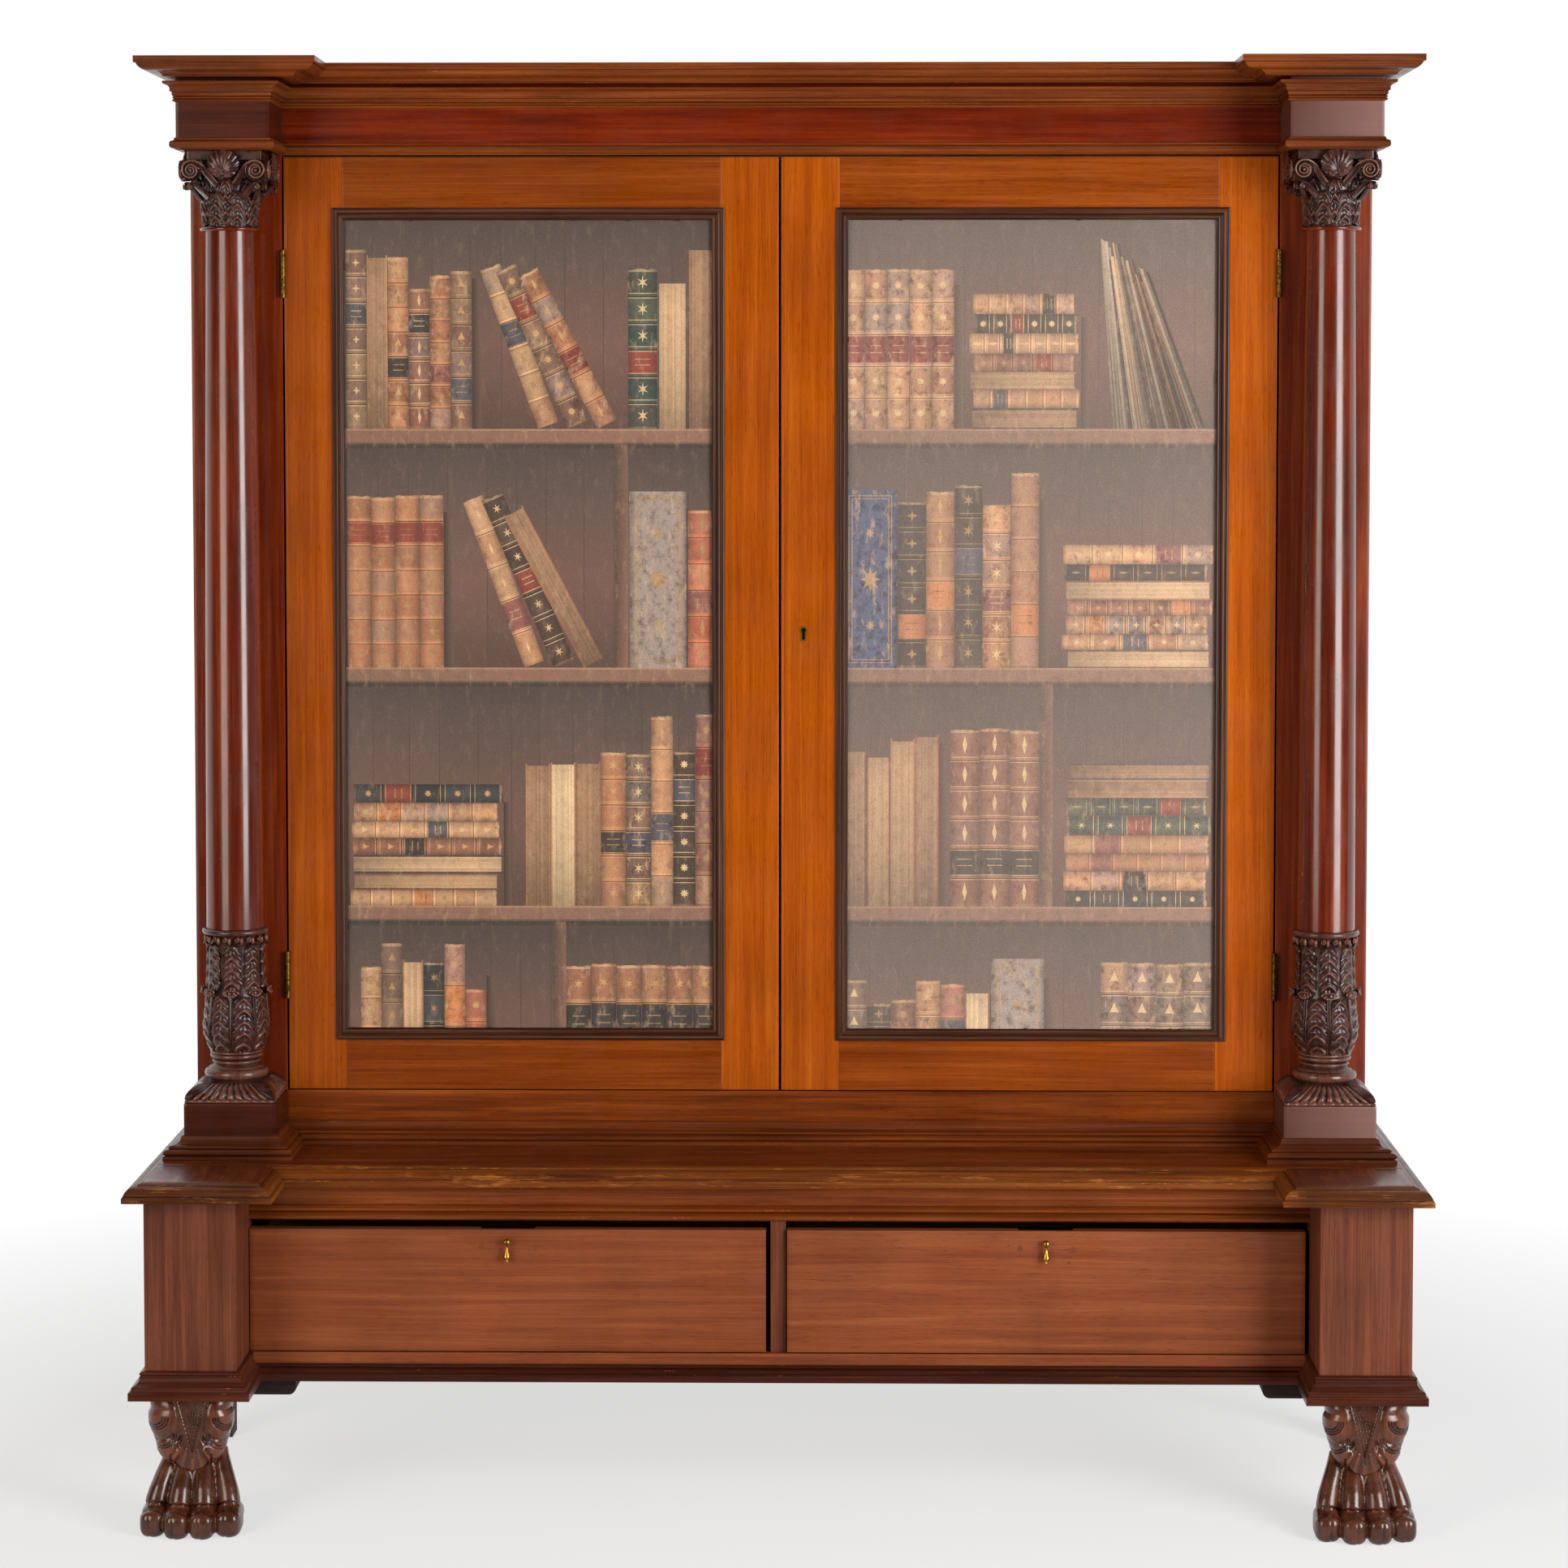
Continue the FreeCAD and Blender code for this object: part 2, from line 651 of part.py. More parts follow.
def ledge_frieze():
    """The moulded rail under the ledge: a cove over two beads."""
    back = post_y + S.board
    proud = back - drawer_y + S.ledge_proud - S.bead_wide
    plan = [(-pedestal_inner, back), (pedestal_inner, back)]
    return mitred_lengths(plan, FRIEZE_SHARES, proud, S.ledge_frieze_high, opening_top)[0]


node("ledge_frieze", computed("ledge_frieze_rail", ledge_frieze()))

ledge_break = pedestal_inner - S.ledge_inner + S.ledge_proud


def break_front_board(name, outer, front, inner, middle, low, top):
    """A board with two end pieces that stand forward of its middle."""
    return group(name, [
        box(f"{name}_main", (-outer, outer), (middle, back_y), (low, top)),
        box(f"{name}_left_end", (-outer, -inner), (front, middle), (low, top)),
        box(f"{name}_right_end", (inner, outer), (front, middle), (low, top)),
    ])


def break_front_plan(outer, front, inner, middle):
    """The same outline as a run for mouldings, from the left back to the right back."""
    return [(-outer, back_y), (-outer, front), (-inner, front), (-inner, middle),
            (inner, middle), (inner, front), (outer, front), (outer, back_y)]


ledge_sizes = (S.pedestal_half, pedestal_y - S.bead_wide - S.bead_wide, ledge_break, drawer_y)
node("ledge_board", break_front_board("ledge_slab", *ledge_sizes, ledge_under, ledge_top))
LEDGE_SHARES = ((0, 0), (1, 0), (1, 0.32), (0.93, 0.36), (0.22, 0.84, 0.72, 0.78), (0.22, 0.92), (0, 1))
node("ledge_edge", computed("ledge_edge_lengths", Part.makeCompound(
    mitred_lengths(break_front_plan(*ledge_sizes), LEDGE_SHARES, S.ledge_proud,
                   S.ledge_thick, ledge_under))))


# Upper case

case_plan = break_front_plan(case_half, plinth_y, block_inner, door_y)
PLINTH_SHARES = ((0, 0), (1, 0), (1, 0.16), (0.86, 0.20), (0.86, 0.44, 1.0, 0.32), (0.66, 0.47),
                 (0.66, 0.60, 0.74, 0.535), (0.52, 0.62), (0.14, 0.94, 0.24, 0.70), (0, 1))
node("plinth_moulding", computed("plinth_moulding_lengths", Part.makeCompound(
    mitred_lengths(case_plan, PLINTH_SHARES, S.plinth_moulding_proud,
                   S.plinth_moulding_high, ledge_top))))
plinth_top = ledge_top + S.plinth_high
pair("column_plinths", [box("column_plinth", (block_inner, case_half),
                            (plinth_y, door_y), (ledge_top, plinth_top))])


def behind_columns():
    """The room of the case, which the columns' carved parts are cut back from."""
    return box("behind_columns", (ZERO, case_half * 2), (door_y, back_y), (ZERO, crown_top))


def cushion():
    """The gadrooned square cushion under the right column."""
    # height and half width in shares of the cushion's sizes
    cushion_shares = ((0.0, 0.93), (0.18, 0.985), (0.36, 1.0), (0.60, 0.94), (0.82, 0.84), (1.0, 0.76))
    round_share = 0.12
    wires = []
    for up, wide in cushion_shares:
        half = wide * float(S.cushion_half)
        level = float(plinth_top) + up * float(S.cushion_high)
        wires.append(rounded_wire(float(column_x), float(column_y), half, half, level, round_share))
    return cut("cushion", computed("cushion_whole", Part.makeLoft(wires, True, False)),
               [behind_columns()])


pair("column_cushions", [cushion()])
cushion_top = plinth_top + S.cushion_high
# radius and height in shares of the drum's sizes
DRUM_SHARES = (
    (0.86, 0.000), (0.86, 0.012), (0.90, 0.016), (0.93, 0.046), (0.90, 0.076), (0.80, 0.086),
    (0.80, 0.094), (0.86, 0.102), (0.86, 0.122), (0.70, 0.130), (0.70, 0.142), (0.78, 0.150),
    (0.74, 0.176), (0.86, 0.215), (0.98, 0.262), (1.00, 0.300), (0.95, 0.360), (0.89, 0.460),
    (0.90, 0.540), (0.97, 0.570), (0.97, 0.595), (0.90, 0.620), (0.90, 0.820), (0.93, 0.930),
    (0.97, 0.960), (0.97, 1.000),
)
# the two tables stop short of the full share, so the widest ring has the drum's own radius
pair("carved_drums", [turned("carved_drum", share_rows(DRUM_SHARES, S.drum, S.drum_high),
                             (column_x, column_y, cushion_top))])
shaft_low = cushion_top + S.drum_high
shaft_rows = [(S.shaft_low, ZERO), (S.shaft_top, S.shaft_high), (S.astragal, S.shaft_high),
              (S.astragal, S.shaft_high + S.astragal_high)]
pair("column_shafts", [turned("column_shaft", shaft_rows, (column_x, column_y, shaft_low))])
capital_low = shaft_low + S.shaft_high + S.astragal_high
abacus_low = head_under - S.abacus_high
bell_high = abacus_low - capital_low
BELL_SHARES = ((0.78, 0.00), (0.80, 0.22), (0.88, 0.44), (0.92, 0.52), (0.80, 0.56), (0.78, 0.70),
               (0.86, 0.90), (1.00, 1.00))


def capital():
    """The right capital: bell, square abacus, scrolls on all four faces and a shell in front."""
    half = S.abacus_wide / 2
    scroll_z = abacus_low - S.volute_drop
    parts = [
        turned("capital_bell", share_rows(BELL_SHARES, S.bell, bell_high),
               (column_x, column_y, capital_low)),
        box("abacus", (column_x - half, column_x + half), (column_y - half, column_y + half),
            (abacus_low, head_under)),
    ]
    for index, side in enumerate((-1, 1)):
        along_y = (column_y - S.volute_reach, column_y + S.volute_reach)
        along_x = (column_x - S.volute_reach, column_x + S.volute_reach)
        parts.append(cylinder(f"volute_front_{index}", S.volute, along_y,
                              (column_x + S.volute_spread * side, scroll_z), "y"))
        parts.append(cylinder(f"volute_side_{index}", S.volute_side, along_x,
                              (column_y + S.volute_spread * side, scroll_z), "x"))
    shell = doc.addObject("Part::Ellipsoid", "shell")
    bind(shell, "Radius1", S.shell)
    bind(shell, "Radius2", S.shell)
    bind(shell, "Radius3", S.shell_thick)
    place(shell, (column_x, column_y - half, abacus_low - S.shell_drop))
    parts.append(shell)
    whole = parts[0]
    for index, item in enumerate(parts[1:]):
        whole = fuse(f"capital_joined_{index}", [whole, item])
        whole.Refine = False
    trimmed = cut("capital", whole, [behind_columns()])
    trimmed.Refine = False
    return trimmed


pair("capitals", [capital()])
pair("corner_pilasters", [box("corner_pilaster", (pilaster_inner, case_half),
                              (door_y, pilaster_back), (ledge_top, crown_under))])
node("sill_rail", box("sill_board", (-pilaster_inner, pilaster_inner),
                      (door_y, pilaster_back), (ledge_top, sill_top)))

side_inner = case_half - S.board
ceiling_low = door_top - S.ceiling_drop
ceiling_front = door_y + S.door_thick + S.running_gap + S.running_gap
floor_low = sill_top - S.board
shelf_front = door_y + S.door_thick + S.shelf_back
shelf_rear = back_face_y
partition_front = shelf_front
SHELF_COUNT = 3
bay_high = (ceiling_low - sill_top - S.shelf_thick * SHELF_COUNT) / (SHELF_COUNT + 1)


def shelf_level(index):
    """The underside of a shelf, counted from the lowest."""
    return sill_top + bay_high * (index + 1) + S.shelf_thick * index


def peg_places():
    """Where each row of pegs stands: depth and height of its axis."""
    places = []
    for index in range(SHELF_COUNT):
        for depth in (shelf_front + S.peg_inset, shelf_rear - S.peg_inset):
            places.append((depth, shelf_level(index) - S.peg))
    return places


def drilled(name, board, across):
    """A board with the peg holes drilled over one span of X."""
    tools = []
    for index, spot in enumerate(peg_places()):
        tools.append(cylinder(f"{name}_hole_{index}", S.peg, across, spot, "x"))
    return cut(f"{name}_drilled", board, tools)


side_board = box("upper_side", (side_inner, case_half), (pilaster_back, back_y),
                 (ledge_top, crown_under))
pair("upper_sides", [drilled("upper_side", side_board,
                             (side_inner - S.overrun, side_inner + S.peg_in))])
socket_half = S.socket_wide / 2
bolt_x = -(door_inner + S.barrel_inset)
bolt_y = door_y + S.door_thick + S.barrel_deep / 2
socket_across = (bolt_x - socket_half, bolt_x + socket_half)
socket_deep = (bolt_y - socket_half, bolt_y + socket_half)
node("upper_floor", cut("upper_floor_socketed", box(
    "upper_floor_board", (-side_inner, side_inner), (pilaster_back, back_face_y),
    (floor_low, sill_top)), [box("floor_socket", socket_across, socket_deep,
                                 (sill_top - S.socket_deep, sill_top + S.overrun))]))
node("upper_ceiling", cut("upper_ceiling_socketed", box(
    "upper_ceiling_board", (-side_inner, side_inner), (ceiling_front, back_face_y),
    (ceiling_low, ceiling_low + S.board)), [box("ceiling_socket", socket_across, socket_deep,
                                                (ceiling_low - S.overrun, ceiling_low + S.socket_deep))]))
node("upper_back", box("upper_back_board", (-side_inner, side_inner), (back_face_y, back_y),
                       (ledge_top, crown_under)))
partition_board = box("partition_board", (-S.upper_partition / 2, S.upper_partition / 2),
                      (partition_front, back_face_y), (sill_top, ceiling_low))
node("upper_partition", drilled("partition", partition_board,
                                (-S.upper_partition / 2 - S.overrun, S.upper_partition / 2 + S.overrun)))


def shelves():
    """The shelves of the right bay."""
    across = (S.upper_partition / 2 + S.shelf_end_gap, side_inner - S.shelf_end_gap)
    parts = []
    for index in range(SHELF_COUNT):
        low = shelf_level(index)
        parts.append(box(f"shelf_{index}", across, (shelf_front, shelf_rear),
                         (low, low + S.shelf_thick)))
    return parts


def shelf_pegs():
    """A row of pegs in each side, and through pegs in the partition."""
    across = (side_inner - S.peg_out, side_inner + S.peg_in)
    through = (-S.upper_partition / 2 - S.peg_out, S.upper_partition / 2 + S.peg_out)
    parts = []
    for index, spot in enumerate(peg_places()):
        peg = cylinder(f"side_peg_{index}", S.peg, across, spot, "x")
        parts += [peg, mirrored(peg), cylinder(f"middle_peg_{index}", S.peg, through, spot, "x")]
    return parts


pair("shelves", shelves())
node("shelf_pegs", group("shelf_peg_set", shelf_pegs()))
pair("entablature_blocks", [box("entablature_block", (block_inner, case_half),
                                (plinth_y, door_y), (head_under, crown_under))])
node("frieze_board", box("frieze", (-pilaster_inner, pilaster_inner), (door_y, pilaster_back),
                         (head_under, crown_under)))
ARCHITRAVE_SHARES = ((0, 0), (0.30, 0.10), (0.72, 0.14), (1, 0.46, 0.98, 0.26), (0.70, 0.72, 0.92, 0.64),
                     (0.40, 0.76), (0.30, 0.96, 0.42, 0.86), (0, 1))
node("architrave_moulding", computed("architrave_lengths", Part.makeCompound(
    mitred_lengths(case_plan, ARCHITRAVE_SHARES, S.architrave_proud,
                   S.architrave_high, head_under))))
BED_SHARES = ((0, 0), (0.16, 0.03), (0.16, 0.13, 0.24, 0.08), (0.12, 0.15), (0.12, 0.28, 0.22, 0.215),
              (0.28, 0.32), (0.28, 0.48), (0.46, 0.52), (0.84, 0.84, 0.56, 0.76), (1, 0.88), (1, 1), (0, 1))
node("bed_moulding", computed("bed_lengths", Part.makeCompound(
    mitred_lengths(case_plan, BED_SHARES, S.bed_proud, S.bed_high, bed_under))))
crown_sizes = (case_half, plinth_y - S.crown_front, block_inner - S.crown_inner,
               door_y - S.crown_front)
CROWN_SHARES = ((0, 0), (0.28, 0), (0.28, 0.06), (0.56, 0.28, 0.36, 0.24), (0.92, 0.54, 0.78, 0.36),
                (0.92, 0.62), (1, 0.64), (1, 1), (0, 1))
node("crown_moulding", computed("crown_lengths", Part.makeCompound(
    mitred_lengths(break_front_plan(*crown_sizes), CROWN_SHARES, S.crown_proud,
                   S.crown_high, crown_under))))
node("crown_board", break_front_board("crown_slab", *crown_sizes, crown_under, crown_top))


# Hinges

pin_x = door_outer + S.hinge_gap / 2
pin_y = door_y - S.knuckle - S.running_gap
KNUCKLES = 5
knuckle_high = S.hinge_long / KNUCKLES


def hinge_leaf(name, low, on_case):
    """One leaf of a right-hand hinge: a plate with its own knuckles, cleared for the other's."""
    if on_case:
        plate_x = (pilaster_inner - S.leaf_thick, pilaster_inner)
    else:
        plate_x = (door_outer, door_outer + S.leaf_thick)
    plate = box(f"{name}_plate", plate_x, (pin_y, pin_y + S.leaf_wide), (low, low + S.hinge_long))
    own = [plate]
    cleared = []
    for index in range(KNUCKLES):
        bottom = low + knuckle_high * index
        if (index % 2 == 0) == on_case:
            own.append(cylinder(f"{name}_knuckle_{index}", S.knuckle,
                                (bottom, bottom + knuckle_high), (pin_x, pin_y)))
        else:
            cleared.append(cylinder(f"{name}_clear_{index}", S.knuckle + S.running_gap,
                                    (bottom - S.running_gap, bottom + knuckle_high + S.running_gap),
                                    (pin_x, pin_y)))
    bore = cylinder(f"{name}_bore", S.hinge_pin + S.turned_fit,
                    (low - S.overrun, low + S.hinge_long + S.overrun), (pin_x, pin_y))
    return cut(name, fuse(f"{name}_blank", own), cleared + [bore])


hinge_levels = (door_low + S.hinge_inset, door_top - S.hinge_inset - S.hinge_long)
case_parts = []
for number, hinge_low in enumerate(hinge_levels):
    case_parts.append(hinge_leaf(f"case_leaf_{number}", hinge_low, True))
    case_parts.append(cylinder(f"hinge_pin_{number}", S.hinge_pin,
                               (hinge_low, hinge_low + S.hinge_long), (pin_x, pin_y)))
pair("case_hinges", case_parts)


# Doors

door_back = door_y + S.door_thick
opening_x = (door_inner + S.member_wide, door_outer - S.member_wide)
opening_z = (door_low + S.member_wide, door_top - S.member_wide)
key_x = door_inner + S.keyhole_inset
key_z = door_low + S.keyhole_lift
lock_x = (door_inner, door_inner + S.lock_long)
lock_y = (door_back - S.lock_thick, door_back)
bolt_z = key_z + S.lock_bolt_rise
lock_z = (key_z - S.lock_high / 2, key_z + S.lock_high / 2)
bolt_mid_y = door_back - S.lock_thick / 2
lock_bolt_y = (bolt_mid_y - S.lock_bolt_thick / 2, bolt_mid_y + S.lock_bolt_thick / 2)


def keyhole_tool(name, wall, deep):
    """A keyhole's form over a span of Y: a round with a slot below it, grown by a wall."""
    half_slot = S.keyhole_slot / 2 + wall
    return [
        cylinder(f"{name}_round", S.keyhole + wall, deep, (key_x, key_z), "y"),
        box(f"{name}_slot", (key_x - half_slot, key_x + half_slot), deep,
            (key_z - S.keyhole_tail - wall, key_z)),
    ]


def meeting_stile(side):
    """The stile at the middle: with lock and keyhole on the right door, a keep on the left."""
    across = (door_inner, door_inner + S.member_wide)
    stile = box(f"{side}_meeting_board", across, (door_y, door_back), (door_low, door_top))
    if side == "right":
        tools = keyhole_tool("thread_seat", S.thread_wall, (door_y - S.overrun, door_y + S.thread_deep))
        tools += keyhole_tool("stile_key", ZERO, (door_y, lock_y[0] + S.overrun))
        tools.append(box("lock_seat", (door_inner - S.overrun, lock_x[1]),
                         (lock_y[0], door_back + S.overrun), lock_z))
    else:
        tools = [box("bolt_keep", (door_inner - S.overrun, door_inner + S.socket_wide),
                     (lock_bolt_y[0] - S.running_gap, lock_bolt_y[1] + S.running_gap),
                     (bolt_z - S.lock_bolt_high / 2 - S.running_gap,
                      bolt_z + S.lock_bolt_high / 2 + S.running_gap))]
    return cut(f"{side}_meeting_stile", stile, tools)


def on_side(side, items):
    """Parts drawn on the right, turned over for the left door."""
    return items if side == "right" else [mirrored(item) for item in items]


def door_frame(side):
    """Two stiles and two rails, and the bead on the right door's meeting edge."""
    deep = (door_y, door_back)
    parts = [
        meeting_stile(side),
        box(f"{side}_hinge_stile", (opening_x[1], door_outer), deep, (door_low, door_top)),
        box(f"{side}_top_rail", opening_x, deep, (opening_z[1], door_top)),
        box(f"{side}_bottom_rail", opening_x, deep, (door_low, opening_z[0])),
    ]
    if side == "right":
        parts.append(box("meeting_bead", (door_inner, door_inner + S.bead_wide),
                         (door_y - S.bead_proud, door_y), (door_low, door_top)))
    return group(f"{side}_frame_parts", on_side(side, parts))


GLAZING_SHARES = ((0, 0), (0, 0.35), (0.12, 0.42), (0.56, 0.86, 0.28, 0.92), (0.60, 0.66),
                  (0.90, 0.44, 0.80, 0.64), (1, 0.20), (1, 0))
moulding_x = (door_inner + S.glazing_meeting_inset, door_outer - S.glazing_inset)
moulding_z = (door_low + S.glazing_rail_inset, door_top - S.glazing_rail_inset)


def glazing_moulding(side):
    """Four mitred lengths planted on the frame round the glass."""
    low, high = moulding_x if side == "right" else (-moulding_x[1], -moulding_x[0])
    plan = [(low, moulding_z[0]), (low, moulding_z[1]), (high, moulding_z[1]), (high, moulding_z[0])]
    lengths = mitred_lengths(plan, GLAZING_SHARES, S.glazing_wide, S.glazing_proud, ZERO, closed=True)
    whole = Part.makeCompound(lengths)
    whole.rotate(V(0, 0, 0), X_AXIS, 90)
    whole.translate(V(0, float(door_y), 0))
    return computed(f"{side}_glazing_lengths", whole)


def pane_span(span):
    """A span drawn in by the clearance of glass and board."""
    return (span[0] + S.pane_gap, span[1] - S.pane_gap)


glass_y = (door_y + S.running_gap, door_y + S.running_gap + S.glass_thick)
panel_y = (glass_y[1] + S.running_gap, glass_y[1] + S.running_gap + S.panel_thick)


def panel_parts(side):
    """The printed board behind the glass and the four strips that hold it."""
    across = pane_span(opening_x)
    high = pane_span(opening_z)
    strip_y = (panel_y[1], panel_y[1] + S.strip_thick)
    return [
        box(f"{side}_board", across, panel_y, high),
        box(f"{side}_strip_inner", (opening_x[0], opening_x[0] + S.strip_wide), strip_y, opening_z),
        box(f"{side}_strip_outer", (opening_x[1] - S.strip_wide, opening_x[1]), strip_y, opening_z),
        box(f"{side}_strip_top", (opening_x[0] + S.strip_wide, opening_x[1] - S.strip_wide),
            strip_y, (opening_z[1] - S.strip_wide, opening_z[1])),
        box(f"{side}_strip_bottom", (opening_x[0] + S.strip_wide, opening_x[1] - S.strip_wide),
            strip_y, (opening_z[0], opening_z[0] + S.strip_wide)),
    ]


def build_door(side):
    """All that a door's own body holds."""
    node(f"{side}_door_frame", door_frame(side))
    node(f"{side}_glazing_moulding", glazing_moulding(side))
    glass = box(f"{side}_pane", pane_span(opening_x), glass_y, pane_span(opening_z))
    node(f"{side}_glass", on_side(side, [glass])[0])
    node(f"{side}_panel", group(f"{side}_panel_parts", on_side(side, panel_parts(side))))
    leaves = []
    for index, low in enumerate(hinge_levels):
        leaves.append(hinge_leaf(f"{side}_leaf_{index}", low, False))
    node(f"{side}_hinge_leaves", group(f"{side}_leaf_set", on_side(side, leaves)))


build_door("left")
build_door("right")


def barrel(name, low):
    """A barrel on the left door's back, bored for its bolt and slotted for the knob."""
    high = low + S.barrel_high
    half = S.barrel_wide / 2
    slot = S.knob + S.running_gap
    knob_mid = low + S.barrel_high / 2
    case = box(f"{name}_block", (bolt_x - half, bolt_x + half), (door_back, door_back + S.barrel_deep),
               (low, high))
    tools = [
        cylinder(f"{name}_bore", S.bolt + S.turned_fit, (low - S.overrun, high + S.overrun),
                 (bolt_x, bolt_y)),
        box(f"{name}_slot", (bolt_x - slot, bolt_x + slot),
            (bolt_y, door_back + S.barrel_deep + S.overrun),
            (knob_mid - slot - S.bolt_throw, knob_mid + slot + S.bolt_throw)),
    ]
    return cut(name, case, tools)


def bolt(name, span, knob_z):
    """A round bolt with its knob."""
    bar = cylinder(f"{name}_bar", S.bolt, span, (bolt_x, bolt_y))
    knob = cylinder(f"{name}_knob", S.knob, (bolt_y, bolt_y + S.knob_long), (bolt_x, knob_z), "y")
    return fuse(name, [bar, knob])


low_barrel_z = door_low + S.barrel_end
top_barrel_z = ceiling_low - S.barrel_end - S.barrel_high
node("left_bolt_barrels", group("barrel_set", [barrel("low_barrel", low_barrel_z),
                                               barrel("top_barrel", top_barrel_z)]))
top_bolt_end = ceiling_low - S.bolt_rest
low_bolt_end = door_low + S.bolt_rest
node("top_bolt", bolt("top_bolt_solid", (top_bolt_end - S.bolt_long, top_bolt_end),
                      top_barrel_z + S.barrel_high / 2))
node("bottom_bolt", bolt("bottom_bolt_solid", (low_bolt_end, low_bolt_end + S.bolt_long),
                         low_barrel_z + S.barrel_high / 2))


def door_lock():
    """The lock's case, with the bolt's channel and the room for the key."""
    case = box("lock_case", lock_x, lock_y, lock_z)
    half_high = S.lock_bolt_high / 2 + S.turned_fit
    tools = [
        box("lock_channel", (door_inner - S.overrun, door_inner + S.lock_bolt_long + S.key_room),
            (lock_bolt_y[0] - S.turned_fit, lock_bolt_y[1] + S.turned_fit),
            (bolt_z - half_high, bolt_z + half_high)),
        cylinder("lock_key_room", S.key_room, (lock_bolt_y[0], lock_bolt_y[1]), (key_x, key_z), "y"),
    ]
    tools += keyhole_tool("lock_key", ZERO, (lock_y[0] - S.overrun, lock_bolt_y[1]))
    return cut("door_lock_case", case, tools)


node("door_lock", door_lock())
node("keyhole_thread", cut("thread_ring", fuse("thread_blank", keyhole_tool(
    "thread_outer", S.thread_wall, (door_y - S.thread_proud, door_y + S.thread_deep))),
    keyhole_tool("thread_inner", ZERO, (door_y - S.overrun, door_y + S.thread_deep + S.overrun))))
lock_bolt_x = door_inner + S.running_gap
node("lock_bolt", box("lock_bolt_bar", (lock_bolt_x, lock_bolt_x + S.lock_bolt_long), lock_bolt_y,
                      (bolt_z - S.lock_bolt_high / 2, bolt_z + S.lock_bolt_high / 2)))


# Drawers

drawer_back_y = drawer_y + S.drawer_front
drawer_wide = pedestal_inner - S.divider_wide / 2 - S.drawer_play
drawer_top = drawer_low + S.drawer_high
pull_y = drawer_y - S.pull_stand
pull_z = drawer_top - S.pull_drop
DROP_SHARES = ((0.30, 0.000), (0.30, 0.10), (0.50, 0.30), (0.92, 0.55), (1.00, 0.66), (0.72, 0.84),
               (0.30, 0.90), (0.36, 0.95), (0.16, 1.00))


def drawer_front(side, across, middle):
    """The front board with its lock notch and the hole of the pull."""
    board = box(f"{side}_front_board", across, (drawer_y, drawer_back_y), (drawer_low, drawer_top))
    notch_half = S.notch_wide / 2
    tools = [
        box(f"{side}_notch", (middle - notch_half, middle + notch_half),
            (drawer_back_y - S.notch_deep, drawer_back_y + S.overrun),
            (drawer_top - S.notch_high, drawer_top + S.overrun)),
        cylinder(f"{side}_post_hole", S.post, (drawer_y - S.overrun, drawer_y + S.post_inside),
                 (middle, pull_z), "y"),
    ]
    return cut(f"{side}_front_cut", board, tools)


def drawer_box(side, across):
    """Two sides, back and bottom behind the front."""
    low = drawer_low
    high = drawer_top - S.drawer_back_drop
    end = lower_back_y - S.drawer_rear_gap
    inner = (across[0] + S.thin_board, across[1] - S.thin_board)
    bottom = low + S.drawer_bottom_lift
    bottom_top = bottom + S.drawer_bottom
    return group(f"{side}_box_parts", [
        box(f"{side}_side_a", (across[0], inner[0]), (drawer_back_y, end), (low, high)),
        box(f"{side}_side_b", (inner[1], across[1]), (drawer_back_y, end), (low, high)),
        box(f"{side}_back", inner, (end - S.thin_board, end), (bottom_top, high)),
        box(f"{side}_bottom", inner, (drawer_back_y, end), (bottom, bottom_top)),
    ])


def pull_post(side, middle):
    """The post with its slotted ball, and the pin that the drop hangs on."""
    ball = doc.addObject("Part::Sphere", f"{side}_ball")
    bind(ball, "Radius", S.ball)
    place(ball, (middle, pull_y, pull_z))
    stem = cylinder(f"{side}_stem", S.post, (pull_y, drawer_y + S.post_inside), (middle, pull_z), "y")
    slot_half = S.slot_wide / 2
    slot = box(f"{side}_slot", (middle - slot_half, middle + slot_half),
               (pull_y - S.ball - S.overrun, pull_y + S.tang + S.running_gap),
               (pull_z - S.ball - S.overrun, pull_z + S.tang + S.running_gap))
    pin_span = (middle - S.ball + S.pull_pin, middle + S.ball - S.pull_pin)
    bore = cylinder(f"{side}_pin_bore", S.pull_pin, pin_span, (pull_y, pull_z), "x")
    pin = cylinder(f"{side}_pull_pin", S.pull_pin, pin_span, (pull_y, pull_z), "x")
    head = cut(f"{side}_post_head", fuse(f"{side}_post_blank", [ball, stem]), [slot, bore])
    return group(f"{side}_post_parts", [head, pin])


def pull_drop(side, middle):
    """The hanging drop: a tang in the ball's slot with a turned tear below it."""
    half = S.tang_thick / 2
    shoulder = S.ball + S.running_gap + S.running_gap
    rows = [(radius, -shoulder - height) for radius, height in
            share_rows(DROP_SHARES, S.drop, S.drop_long - shoulder)]
    parts = [
        cylinder(f"{side}_tang_end", S.tang, (middle - half, middle + half), (pull_y, pull_z), "x"),
        box(f"{side}_tang", (middle - half, middle + half), (pull_y - S.tang / 2, pull_y + S.tang / 2),
            (pull_z - shoulder - S.tang, pull_z)),
        turned(f"{side}_tear", rows, (middle, pull_y, pull_z)),
    ]
    bore = cylinder(f"{side}_tang_bore", S.pull_pin + S.turned_fit,
                    (middle - S.ball, middle + S.ball), (pull_y, pull_z), "x")
    return cut(f"{side}_drop_solid", fuse(f"{side}_drop_blank", parts), [bore])


def build_drawer(side, low_x):
    """All that a drawer and its pull hold."""
    across = (low_x, low_x + drawer_wide)
    middle = low_x + drawer_wide / 2
    node(f"{side}_drawer_front", drawer_front(side, across, middle))
    node(f"{side}_drawer_box", drawer_box(side, across))
    node(f"{side}_pull_post", pull_post(side, middle))
    node(f"{side}_drop", pull_drop(side, middle))


